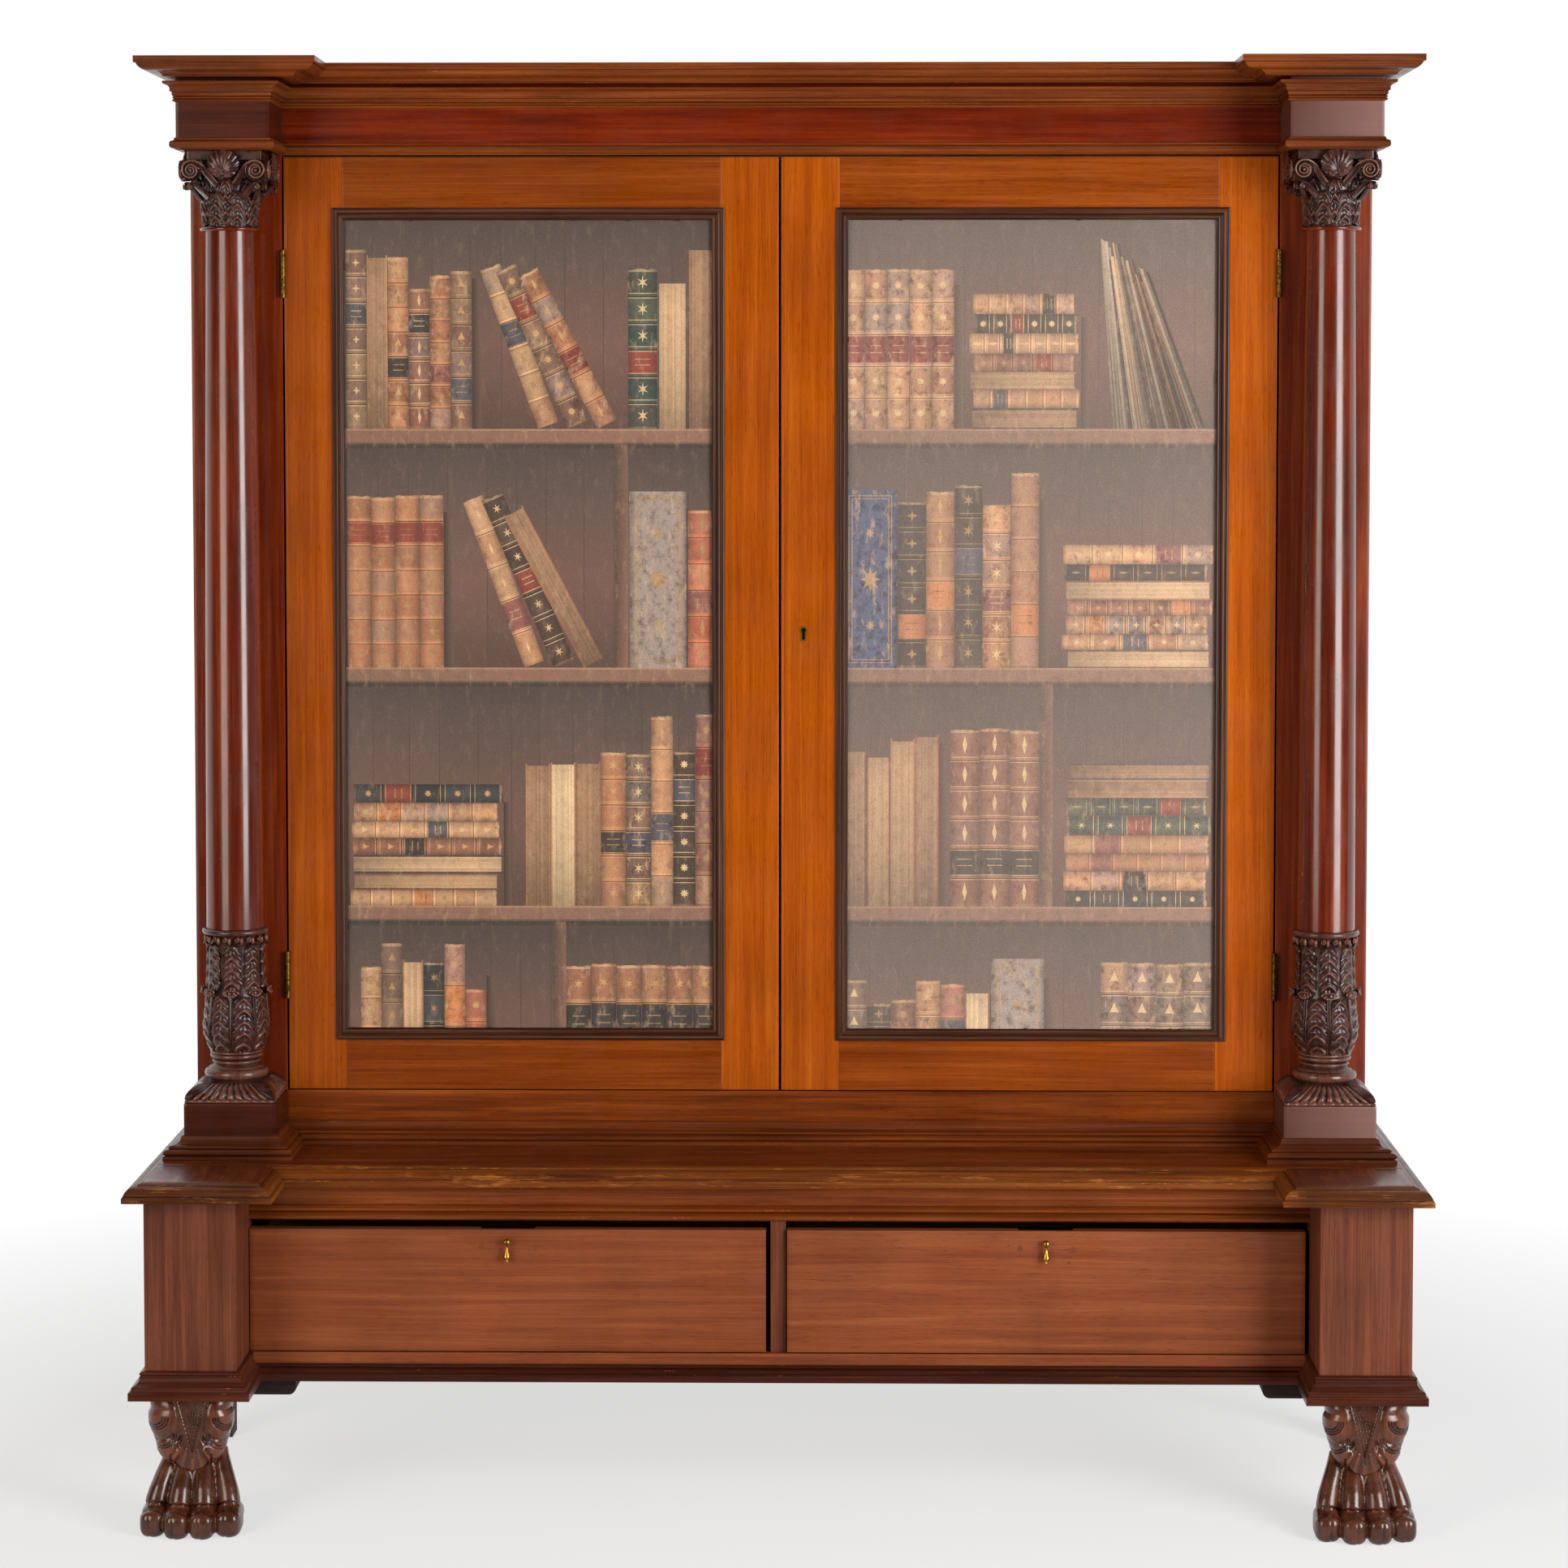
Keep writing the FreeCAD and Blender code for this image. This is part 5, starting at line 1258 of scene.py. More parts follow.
def tube(path: Sequence[Point], radii: Sequence[float], side: Vector, around: int = 8) -> Draft:
    """A round bar along a path.

    Args:
        path: points of its middle line.
        radii: its radius at each point.
        side: a direction square to the path.
        around: points in each circle.

    Returns:
        The closed bar.
    """
    rings = []
    for (spot, way), radius in zip(ways(path), radii):
        front = way.cross(side).normalized()
        angles = [2 * pi * k / around for k in range(around)]
        rings.append([spot + (side * cos(a) + front * sin(a)) * radius
                      for a in angles])
    # Wear 1 all round: a painted highlight on a carved bead.
    return loft(rings, [1.0] * around * len(rings))


def scroll(centre: Flat, depth: float, radius: float, clockwise: bool, turns: float = 2.1,
           thick: float = 12.0, lead: Sequence[Point] = ()) -> Draft:
    """A volute whose face looks along -Y: a bead winding in over a hollowed disc.

    Args:
        centre: x and z of its eye.
        depth: y of its face.
        radius: outer radius.
        clockwise: which way the bead winds in from the top.
        turns: turns from rim to eye.
        thick: how far it runs back.
        lead: points that the bead passes before it reaches the top.

    Returns:
        The volute.
    """
    bar = max(0.75, radius * 0.093)
    sense = 1 if clockwise else -1
    big = radius > 8
    plate = Draft()
    # Tones: painted shade down in the hollowed disc, painted highlight on its rim.
    rows = [(0.0, 3.6, -0.9), (radius * 0.55, 5.4, -0.9), (radius * 0.82, 5.4, -0.9),
            (radius * 0.9, 2.4, -0.7), (radius * 0.97, 1.8, 0.2), (radius, 3.4, 0.5),
            (radius * 0.95, thick, 0.2), (0.0, thick, 0.0)]
    plate.turn((0.0, 0.0), rows, 56 if big else 18,
               (lambda angle, height: 0.6 * cos(14 * angle) if height > 3 else 0.0)
               if big else None)
    plate.points = [Vector((centre[0] + p.x, depth + p.z, centre[1] - p.y))
                    for p in plate.points]
    steps = int(turns * (30 if big else 18))
    path = list(lead)
    for n in range(steps + 1):
        angle = 2 * pi * turns * n / steps
        reach = (radius - bar) * 0.56 ** (angle / (2 * pi))
        path.append((centre[0] + sense * reach * sin(angle), depth,
                     centre[1] + reach * cos(angle)))
    size = [bar * (1 - 0.35 * max(0.0, (n - len(lead)) / steps)) for n in range(len(path))]
    plate.join(tube(path, size, Vector((0, 1, 0))))
    plate.join(bead((centre[0], depth + 0.6, centre[1]), (bar * 1.5, bar * 1.8, bar * 1.5), 12,
                    8, 0.6))
    return plate


STRAP_SHAPE = ((-0.5, -1.0), (-0.5, 0.2), (-0.40, 1.0), (-0.26, 0.8), (-0.14, 0.1), (0.0, -0.1),
               (0.14, 0.1), (0.26, 0.8), (0.40, 1.0), (0.5, 0.2), (0.5, -1.0))


def strap(path: Sequence[Point], width: Sequence[float], facing: Vector, high: float,
          deep: float) -> Draft:
    """A channelled strap with raised edges along a path.

    Args:
        path: points of its middle line.
        width: its width at each point.
        facing: the way its face looks.
        high: height of its raised edges over the channel.
        deep: depth behind the path.

    Returns:
        The closed strap.
    """
    rings = []
    for (spot, way), wide in zip(ways(path), width):
        side = facing.cross(way).normalized()
        rings.append([spot + side * across * wide + facing * rise * (high if rise > 0 else deep)
                      for across, rise in STRAP_SHAPE])
    # Raised edges lighter and the channel darker: painted highlight and painted shade.
    return loft(rings, [0.4 if rise >= 0.8 else 0.05 for _, rise in STRAP_SHAPE] * len(rings))


def bezier(points: Sequence[Point], count: int) -> list[Point]:
    """Points along one cubic curve through four controls."""
    a, b, c, e = (Vector(p) for p in points)
    out = []
    for n in range(count + 1):
        t = n / count
        spot = a * (1 - t) ** 3 + b * 3 * t * (1 - t) ** 2 + c * 3 * t * t * (1 - t) + e * t ** 3
        out.append((spot.x, spot.y, spot.z))
    return out


def bead(centre: Point, radii: Point, around: int = 20, rows: int = 12,
         tone: float = 0.4) -> Draft:
    """A rounded boss with three radii."""
    d = Draft()
    line = []
    for k in range(rows + 1):
        angle = -pi / 2 + pi * k / rows
        r = cos(angle)
        line.append((0.0 if k in (0, rows) else r, sin(angle), tone + 0.3 * abs(r)))
    d.turn((0.0, 0.0), line, around)
    d.points = [Vector((centre[0] + p.x * radii[0], centre[1] + p.y * radii[1],
                        centre[2] + p.z * radii[2])) for p in d.points]
    return d


@dataclass
class Capital:
    """The carved capital: bell, two tiers of leaves, volutes, shell and abacus."""

    finishes: Wardrobe
    volute: float = 17.2
    spread: float = 52.4
    face: float = -71.4

    def bell(self, z: float) -> float:
        """Radius of the bell at a height."""
        t = held((z - PLAN.capital_low) / (PLAN.abacus_low - PLAN.capital_low))
        return 41.0 + 7.0 * t + 8.0 * t ** 4

    def core(self) -> Draft:
        """Bell and abacus."""
        d, top = Draft(), Draft(count=1)
        low, high, half = PLAN.capital_low, PLAN.abacus_low, 60.0
        levels = [low + (high - low) * k / 12 for k in range(13)]
        d.turn((0.0, 0.0), [(0.0, low, 0.1), *((self.bell(z), z, 0.05) for z in levels),
                            (0.0, high, 0.1)], 64)
        top.board((-half, -half, high), (half, half - 3, PLAN.head), Along.X, 0.8, 2)
        top.wear = [0.25 + 0.3 * max(0.0, w) for w in top.wear]
        return d.join(top)

    def side(self) -> Draft:
        """One face: two volutes on their stems, and the shell between them."""
        d, front = Draft(), Vector((0, -1, 0))
        eye, face = PLAN.abacus_low - 17.6, self.face
        for sign in (-1, 1):
            def curve(count: int, *spots: Point) -> list[Point]:
                """Points along a curve given for the right, with heights over the eye."""
                return bezier([(sign * x, y, eye + z) for x, y, z in spots], count)

            lead = curve(16, (12.0, -50.0, -19.0), (25.0, -56.0, -6.0), (32.0, face, 16.5),
                         (self.spread, face + 0.3, self.volute - 1.6))
            d.join(scroll((sign * self.spread, eye), face, self.volute, sign > 0,
                          lead=lead[:-1]))
            stem = curve(18, (14.0, -48.0, -24.0), (28.0, -54.0, -10.0), (32.0, face + 3.0, 8.0),
                         (45.0, face + 3.0, 9.0))
            d.join(strap(stem, [9.0 + 0.1 * n for n in range(19)], front, 1.6, 7.0))
            tip = curve(14, (27.0, -46.0, -42.0), (38.0, -52.0, -34.0), (48.0, -60.0, -17.0),
                        (54.0, -64.0, -22.0))
            d.join(strap(tip, [12.0 - 0.4 * n for n in range(15)], front, 1.6, 6.0))
            d.join(scroll((sign * 53.5, eye - 26.0), -66.5, 5.4, sign > 0, 1.3, 9.0))
        return d.join(self.shell())

    def shell(self) -> Draft:
        """The scallop shell: an oval fanned with thin ribs, two small curls at its foot."""
        wide, tall, ribs = 22.4, 19.6, 15
        along, across = 18, 150
        centre, foot = PLAN.abacus_low - 6.5, PLAN.abacus_low - 21.5
        drop = (foot - centre) / tall

        def spot(r: int, c: int) -> tuple[Vector, float]:
            """One point and its tone."""
            t, u = r / along, -1 + 2 * (across - c) / across
            angle = u * radians(128)
            dx, dz = sin(angle) / wide, cos(angle) / tall
            q = dx * dx + dz * dz
            edge = (-drop * dz + sqrt((drop * dz) ** 2 - q * (drop * drop - 1))) / q
            wave = cos(pi * ribs * u)
            ridge = max(0.0, wave) ** 2.2
            reach = edge * (1 + 0.018 * wave) * (0.06 + 0.94 * t)
            dome = 6.5 * sin(pi * min(1.0, 0.16 + 0.72 * t)) + 1.7 * ridge * t
            # Ribs lighter and the grooves between them darker: painted highlight and painted shade.
            return (Vector((reach * sin(angle), -63.0 - dome, foot + reach * cos(angle))),
                    -0.35 + 0.85 * ridge * min(1.0, t * 3))

        d = sheet(along + 1, across + 1, spot, 6.0)
        for sign in (-1, 1):
            d.join(scroll((sign * 8.6, foot - 3.0), -74.4, 5.2, sign < 0, 1.5, 12.0))
        return d

    def leaves(self, height: float, start: float, half: float, curl: float,
               lift: float) -> Draft:
        """One leaf of a tier."""
        return Leaf(height, half, 3, 2.6, sweep=0.36).draft(curling_spine(
            self.bell, PLAN.capital_low + start, height - curl * 2.4, curl, lift))

    def build(self) -> None:
        """Builds both capitals."""
        wood = self.finishes.carving
        for side, centre in PLAN.columns():
            core = self.core()
            core.points = [p + Vector(centre) for p in core.points]
            parts = [core.to_object("core", wood, 35)]
            for draft, sharp, name, count, phase in (
                    (self.side(), 50, "faces", 4, 0),
                    (self.leaves(60, 1, 16.4, 5.0, 3.4), 60, "low_leaves", 8, 22.5),
                    (self.leaves(80, 4, 15.0, 7.0, 1.6), 60, "high_leaves", 8, 0)):
                parts.append(ring_of(draft.to_object("one", wood, sharp), name, count, phase,
                                     centre, wood))
            settle(joined(f"capital_{side}", parts, wood), "case", ["capitals"], "carved_wood")


@dataclass
class Column:
    """Shaft, carved drum with its turned base, and the gadrooned cushion."""

    finishes: Wardrobe

    def shafts(self) -> None:
        """The plain turned shafts with their astragals."""
        low, top = PLAN.drum_top, PLAN.shaft_top
        rows = [(0.0, low, 0.0)]
        for k in range(41):
            t = k / 40
            swell = 1.2 * sin(pi * t)
            rows.append((47.6 + (40.0 - 47.6) * t + swell, low + (top - low) * t, 0.0))
        for a in map(radians, range(-90, 91, 15)):
            rows.append((45.8 + 3.7 * cos(a), top + 3.4 + 3.2 * sin(a), 0.0))
        rows += [(44.0, PLAN.capital_low, 0.0), (0.0, PLAN.capital_low, 0.0)]
        right = Draft()
        right.turn((PLAN.column_x, PLAN.column_y), rows, 128)
        right.both_sides().place("column_shaft_pair", self.finishes.shaft, "column_shafts",
                                 "shaft_wood", sharp=50)

    BODY: ClassVar[tuple[Flat, ...]] = (
        (50.0, 40.0), (62.0, 44.5), (77.0, 49.6), (90.0, 50.4), (120.0, 47.4), (146.0, 45.4),
        (170.0, 44.4), (200.0, 43.4), (225.0, 43.6), (238.0, 46.4), (244.0, 48.4))
    ROLLS: ClassVar[tuple[Point, ...]] = (
        (11.8, 8.6, 43.6), (31.0, 3.0, 36.8), (40.4, 3.7, 39.6), (46.8, 2.6, 40.8))

    def body(self, z: float) -> float:
        """Radius of the plain core of the drum at a height."""
        return blend(self.BODY, z - PLAN.cushion_top)

    def drum_rows(self) -> list[Point]:
        """The turned base rings and the plain core of the drum."""
        base, top = PLAN.cushion_top, PLAN.drum_top
        rows: list[Point] = [(0.0, base, 0.3), (45.0, base, 0.2), (46.4, base + 2.6, 0.4)]
        for centre, tube_radius, reach in self.ROLLS:
            # Each roll is lighter where it stands out most: painted highlight.
            for a in map(radians, range(-80, 81, 16)):
                rows.append((reach + tube_radius * cos(a), base + centre + tube_radius * sin(a),
                             0.3 + 0.3 * cos(a)))
            if reach > 43:
                rows += [(44.4, base + 21.4, 0.5), (43.8, base + 22.6, 0.5),
                         (38.2, base + 25.2, 0.2), (36.8, base + 27.4, 0.1)]
        low = base + 50.4
        levels = [low + (top - 11 - low) * k / 33 for k in range(34)]
        rows += [(self.body(z), z, 0.0) for z in levels]
        rows += [(50.6 + 4.2 * cos(a), top - 5.2 + 4.6 * sin(a), 0.45)
                 for a in map(radians, range(-80, 81, 20))]
        return rows + [(0.0, top, 0.3)]

    def drums(self) -> None:
        """The carved drums: two tiers of leaves, stems with knobs, and a row of curls."""
        wood, base = self.finishes.carving, PLAN.cushion_top
        low = Leaf(94.0, 20.6, lobes=5, along=64, across=30).draft(
            curling_spine(self.body, base + 49.0, 88.0, 4.0, 3.4, 2.2))
        high = Leaf(80.0, 18.0, lobes=4).draft(
            curling_spine(self.body, base + 150.0, 70.0, 5.0, 3.2, 2.4))
        levels = [base + 50 + 9 * k for k in range(11)]
        stem = strap([(0.0, -self.body(z) - 3.0, z) for z in levels],
                     [4.6 + 0.2 * k for k in range(11)], Vector((0, -1, 0)), 1.4, 4.0)
        stem.join(bead((0.0, -52.5, base + 147.0), (9.0, 6.0, 6.4), 16, 10, 0.1))
        for n in range(-3, 4):
            stem.join(bead((3.9 * n, -57.4 + 0.42 * n * n, base + 143.0 + 0.6 * n * n),
                           (2.2, 2.0, 2.4), 8, 6, 0.7))
            stem.join(bead((3.4 * n, -56.6 + 0.35 * n * n, base + 152.5 - 0.2 * n * n),
                           (1.6, 1.6, 1.6), 8, 6, 0.5))
        curl = scroll((0.0, PLAN.drum_top - 16.0), -51.0, 5.2, True, 1.4, 7.0)
        curl.join(bead((7.4, -49.4, PLAN.drum_top - 18.0), (2.6, 3.4, 6.0), 10, 8, 0.5))
        tiers = ((low, "low_leaves", 8, 22.5), (high, "high_leaves", 8, 0.0),
                 (stem, "stems", 8, 0.0), (curl, "curls", 16, 11.25))
        for side, centre in PLAN.columns():
            core = Draft()
            core.turn(centre[:2], self.drum_rows(), 96)
            parts = [core.to_object("core", wood, 50)]
            parts += [ring_of(draft.to_object("one", wood, 60), name, count, phase, centre, wood)
                      for draft, name, count, phase in tiers]
            settle(joined(f"carved_drum_{side}", parts, wood), "case", ["carved_drums"],
                   "carved_wood")

    def cushions(self) -> None:
        """The square cushions with gadroons fanning out over their four sides."""
        wood = self.finishes.carving
        for side, centre in PLAN.columns():
            face = self.cushion_side().to_object("side", wood, 60)
            piece = ring_of(face, f"cushion_{side}", 4, 0, centre, wood)
            smooth(piece.data, 60)
            settle(piece, "case", ["column_cushions"], "carved_wood")

    def cushion_side(self) -> Draft:
        """A quarter of the cushion: a rounded nosing, beads, and gadroons that fan inwards."""
        low, high = PLAN.plinth_top, PLAN.cushion_top
        lobes, across, along = 10, 150, 30
        points, tones = [], []
        for r in range(along + 1):
            t = r / along
            rise = max(0.0, (t - 0.2) / 0.8)
            nosing = sqrt(max(0.0, 1 - ((t - 0.1) / 0.11) ** 2)) if t < 0.21 else 0.0
            bulge = 70.4 + 3.6 * nosing if t < 0.21 else 73.8 - 19.5 * rise ** 2.3
            for c in range(across + 1):
                u = -1 + 2 * c / across
                fan = u * (1.0 + 0.5 * rise)
                lobe = abs(cos(pi * lobes * fan / 2)) ** 0.7
                plain = held((0.96 - abs(fan)) / 0.06)
                deep = (4.6 if rise > 0 else 1.2 * nosing) * plain
                head = 1.3 * hump(rise, 0.2, 0.14) * lobe * plain
                reach = bulge - deep * (1 - lobe) + head * 0.4
                points.append(Vector((u * (bulge - 0.2), -min(reach, 74.0),
                                      low + (high - low) * t)))
                # Gadroons lighter than the flutes, and the nosing lighter where it swells: painted
                # highlight and painted shade.
                shade = -0.15 + 0.75 * lobe if plain > 0 and t >= 0.2 else 0.3 + 0.3 * nosing
                tones.append(shade + 0.2 * head)
        wide = across + 1
        faces = [(a, a + 1, a + wide + 1, a + wide)
                 for r in range(along) for a in range(r * wide, r * wide + across)]
        foot, top = len(points), len(points) + 1
        points += [Vector((0, 0, low)), Vector((0, 0, high))]
        for c in range(across):
            faces += [(foot, c + 1, c), (top, along * wide + c, along * wide + c + 1)]
        d = Draft()
        d.add(points, faces, points, tones + [0.2, 0.2])
        return d

    def build(self) -> None:
        """Builds both columns below their capitals."""
        self.shafts()
        self.drums()
        self.cushions()


@dataclass
class PawFoot:
    """The lion-paw foot: a lower leg with tendons, four toes with claws and leafy wings."""

    finishes: Wardrobe
    centre_x: float = 928.0
    voxel: float = 1.9
    TOES: ClassVar[tuple[Flat, ...]] = ((-59.0, 13.0), (-20.0, 0.0), (20.0, 0.0), (59.0, 13.0))
    TOE_RADII: ClassVar[tuple[float, ...]] = (13, 14, 15, 15.8, 16.6, 17.2, 18, 18.4, 18.6)
    LUMPS: ClassVar[tuple[tuple[Point, Point, float], ...]] = (
        ((0, -206, 190), (56, 54, 34), 1.0), ((0, -208, 160), (54, 50, 40), 1.0),
        ((0, -222, 84), (54, 38, 38), 1.0), ((0, -244, 52), (62, 32, 30), 1.0),
        ((0, -236, 22), (76, 48, 22), 0.7))
    LEG: ClassVar[tuple[Point, ...]] = (
        (215, -204, 50), (185, -204, 50), (150, -206, 47), (128, -210, 46), (108, -216, 44),
        (85, -222, 40), (55, -228, 40))
    OUTLINE: ClassVar[tuple[Flat, ...]] = (
        (98, 41), (108, 45), (116, 49), (124, 52), (131, 54), (138, 57), (146, 60), (158, 63),
        (172, 66), (186, 66), (195, 61), (203, 64), (217, 65))
    HEM: ClassVar[tuple[Flat, ...]] = (
        (0.0, 99), (0.3, 101), (0.5, 108), (0.55, 113), (0.61, 106.5), (0.76, 107.5),
        (0.9, 117), (1.0, 130))
    DOMES: ClassVar[tuple[tuple[float, ...], ...]] = (
        (46, 182, 24, 36, 7.5), (38, 129, 20, 20, 5.5))
    GROOVES: ClassVar[tuple[Point, ...]] = (
        (57, 185, 15), (57, 185, 19), (57, 185, 23), (50, 157, 22), (50, 157, 26))
    OUTWARD: ClassVar[float] = 6.0
    PANEL_FOOT: ClassVar[float] = 124.0

    @staticmethod
    def lump(centre: Point, radii: Point, tilt: float, square: float) -> Draft:
        """A mass tilted forward about X, in degrees; a low square makes it boxy."""
        d = bead((0.0, 0.0, 0.0), (1.0, 1.0, 1.0), 28, 18)
        turn = Matrix.Rotation(radians(tilt), 3, "X")
        d.points = [turn @ Vector([copysign(abs(p[n]) ** square, p[n]) * radii[n]
                                   for n in range(3)]) + Vector(centre) for p in d.points]
        return d

    def mass(self) -> Draft:
        """Leg, ankle, knuckles, toes and claws as overlapping closed shapes."""
        side = Vector((1, 0, 0))
        d = tube([(0, y, z) for z, y, r in self.LEG], [r for z, y, r in self.LEG], side, 24)
        for centre, radii, square in self.LUMPS:
            d.join(self.lump(centre, radii, 0.0, square))
        for x, back in self.TOES:
            path = bezier(((x * 0.62, -224, 126), (x * 0.68, -242 + back * 0.6, 96),
                           (x * 0.92, -266 + back, 76), (x * 0.98, -276 + back, 44)), 8)
            d.join(tube(path, self.TOE_RADII, side, 24))
            d.join(self.lump((x * 1.01, -288 + back, 22.0), (20.8, 31.5, 23.0), 4.0, 0.62))
            d.join(self.lump((x * 1.01 - 2, -301 + back, 15.0), (13.0, 17.0, 16.0), 8.0, 0.8))
        return d

    def carve(self, point: Vector, normal: Vector) -> tuple[float, float]:
        """Depth of cut and tone for a point of the remeshed paw, in millimetres."""
        x, y, z = point
        depth = 0.4 * noise.noise(point * 0.05)
        # Tone: lighter where the surface faces up, which is painted light, and darker towards the
        # bottom.
        tone = 0.42 + 0.25 * noise.noise(point * 0.06) + 0.12 * normal.z
        tone -= 0.3 * held((118 - z) / 20)
        away = x - min((toe[0] * 1.01 for toe in self.TOES), key=lambda middle: abs(x - middle))
        if y < -235:
            level = z + 0.022 * away * away
            ring = hump(level, 47.5, 1.9)
            beside = hump(level, 43.5, 1.5) + hump(level, 51.5, 1.5)
            depth += 1.1 * ring - 1.5 * beside
            # Painted highlight on the knuckle ring and painted shade in the grooves beside it.
            tone += 0.3 * ring - 0.4 * beside
        if y < -285 and z < 38:
            crease = hump(away, 3.6, 1.3) * min(1.0, (38 - z) / 6)
            depth -= 0.9 * crease
            # Painted shade in the crease.
            tone -= 0.3 * crease
        return depth, tone

    def wings(self) -> Draft:
        """The leafy wings over the ankle, with the cross-hatched panel between them."""
        across, along = 132, 104

        def spot(r: int, c: int) -> tuple[Vector, float]:
            """One point and its tone."""
            s = sin((-1 + 2 * c / across) * pi / 2)
            z = PLAN.foot - (PLAN.foot - blend(self.HEM, abs(s))) * (along - r) / along
            x = blend(self.OUTLINE, z) * s
            front = Vector((x + self.OUTWARD * s * s,
                            -232 - (self.swell(z) - 26) * (1 - s * s) ** 0.4, z))
            away = Vector((x * 0.6, front.y + 190, 0)).normalized()
            lift, shade = self.relief(x, z)
            return front + away * lift, shade

        return sheet(along + 1, across + 1, spot, 12.0)

    def panel(self, z: float) -> float:
        """Half width of the hatched panel at a height."""
        return 23.5 * held((z - self.PANEL_FOOT) / (PLAN.foot - self.PANEL_FOOT)) ** 1.1

    def hatching(self) -> Draft:
        """The sunk panel between the wings, cut crosswise into small points."""
        across, along, low = 44, 64, self.PANEL_FOOT + 2

        def spot(r: int, c: int) -> tuple[Vector, float]:
            """One point and its tone."""
            z = low + (PLAN.foot - low) * r / along
            x = (-1 + 2 * c / across) * self.panel(z)
            # Cut lines darker than the points between them: painted shade.
            hatch = max(abs(sin((x + z) * 0.68)), abs(sin((x - z) * 0.68)))
            return (Vector((x, -204.4 - self.swell(z) - 1.6 * (1 - hatch), z)),
                    0.75 - 1.1 * hatch ** 3)

        return sheet(along + 1, across + 1, spot, 4.0)

    def swell(self, z: float) -> float:
        """How far the leafy part stands forward at a height."""
        return 57.0 + 8.0 * sin(pi * held((z - 96) / 160))

    def relief(self, x: float, z: float) -> tuple[float, float]:
        """Relief and tone of the wings at a point of the front."""
        # Tones: domes and rolls lighter, painted highlight; the sunk panel, grooves, holes and
        # slits darker, painted shade.
        a = abs(x)
        panel = self.panel(z)
        if a < panel - 0.8:
            return -3.4, -0.3
        if a < panel + 6 and z > 116:
            roll = sin(pi * min(1.0, (a - panel + 0.8) / 6.8))
            return 0.2 + 2.0 * roll, 0.0 + 0.4 * roll
        lift, tone = 0.4, 0.3
        for across, up, wide, high, rise in self.DOMES:
            bulge = 1 - ((a - across) / wide) ** 2 - ((z - up) / high) ** 2
            if bulge > 0:
                lift = max(lift, rise * sqrt(bulge))
                tone = max(tone, 0.34 + 0.26 * bulge)
        for across, up, reach in self.GROOVES:
            if a < across + 6 and z < up:
                gap = hypot(a - across, z - up) - reach
                groove = exp(-(gap / 1.3) ** 2)
                lift -= 2.6 * groove
                tone += 0.3 * hump(gap, 2.1, 1.0) - 1.1 * groove
        length, breadth = (a - 20) * 0.5 - (z - 147) * 0.87, (a - 20) * 0.87 + (z - 147) * 0.5
        hole = exp(-(length / 9.0) ** 2 - (breadth / 3.0) ** 2)
        fan = held((144 - z) / 14) * held((31 - a) / 3)
        ribs = cos(atan2(a, 164 - z) * 24)
        lift += fan * (1.4 + 1.1 * ribs) - 6.0 * hole
        tone += fan * 0.3 * ribs - 0.9 * hole
        if 29 < a < 32.5 and z < 124:
            lift, tone = lift - 2.5, 0.05
        return lift, tone

    def build(self) -> None:
        """Builds both feet."""
        wood = self.finishes.paw
        base = self.mass().to_object("paw_mass", wood, 60)
        remesh = base.modifiers.new("skin", "REMESH")
        remesh.mode, remesh.voxel_size, remesh.use_smooth_shade = "VOXEL", self.voxel * MM, True
        even = base.modifiers.new("even", "SMOOTH")
        even.factor, even.iterations = 0.5, 5
        shape = modified(base)
        points, tones = [], []
        for vertex in shape.vertices:
            spot = vertex.co / MM
            cut, tone = self.carve(spot, vertex.normal)
            x, y, z = spot + vertex.normal * cut
            points.append(Vector((x, max(y, -PLAN.back), max(z, 0.0))))
            tones.append(tone)
        skin = Draft()
        skin.add(points, [tuple(p.vertices) for p in shape.polygons], points, tones)
        skin.join(self.wings()).join(self.hatching())
        for sign, side in ((-1, "left"), (1, "right")):
            paw = Draft().join(skin if sign > 0 else skin.mirrored())
            paw.points = [p + Vector((sign * self.centre_x, 0, 0)) for p in paw.points]
            paw.place(f"paw_foot_{side}", wood, "paw_feet", "carved_wood", sharp=60)


# Doors and drawers


class Book(Enum):
    """What a place on a printed shelf holds."""

    ROW = "standing spines, some alike"
    SET = "standing spines of one set"
    EDGES = "standing books seen from their leaves"
    LEAN = "spines leaning to the left"
    SHEETS = "thin papers slumped against the side"
    PILE = "flat spines in a pile"
    FOLIO = "one broad cloth book with a plain frame"
    POST = "an upright between two bays"
    GAP = "nothing"


@dataclass(frozen=True)
class Binding:
    """How one printed spine is bound."""

    leather: str
    label: str
    gold: str
    bands: int
    labelled: int
    mottle: float
    motif: tuple[int, float, float]


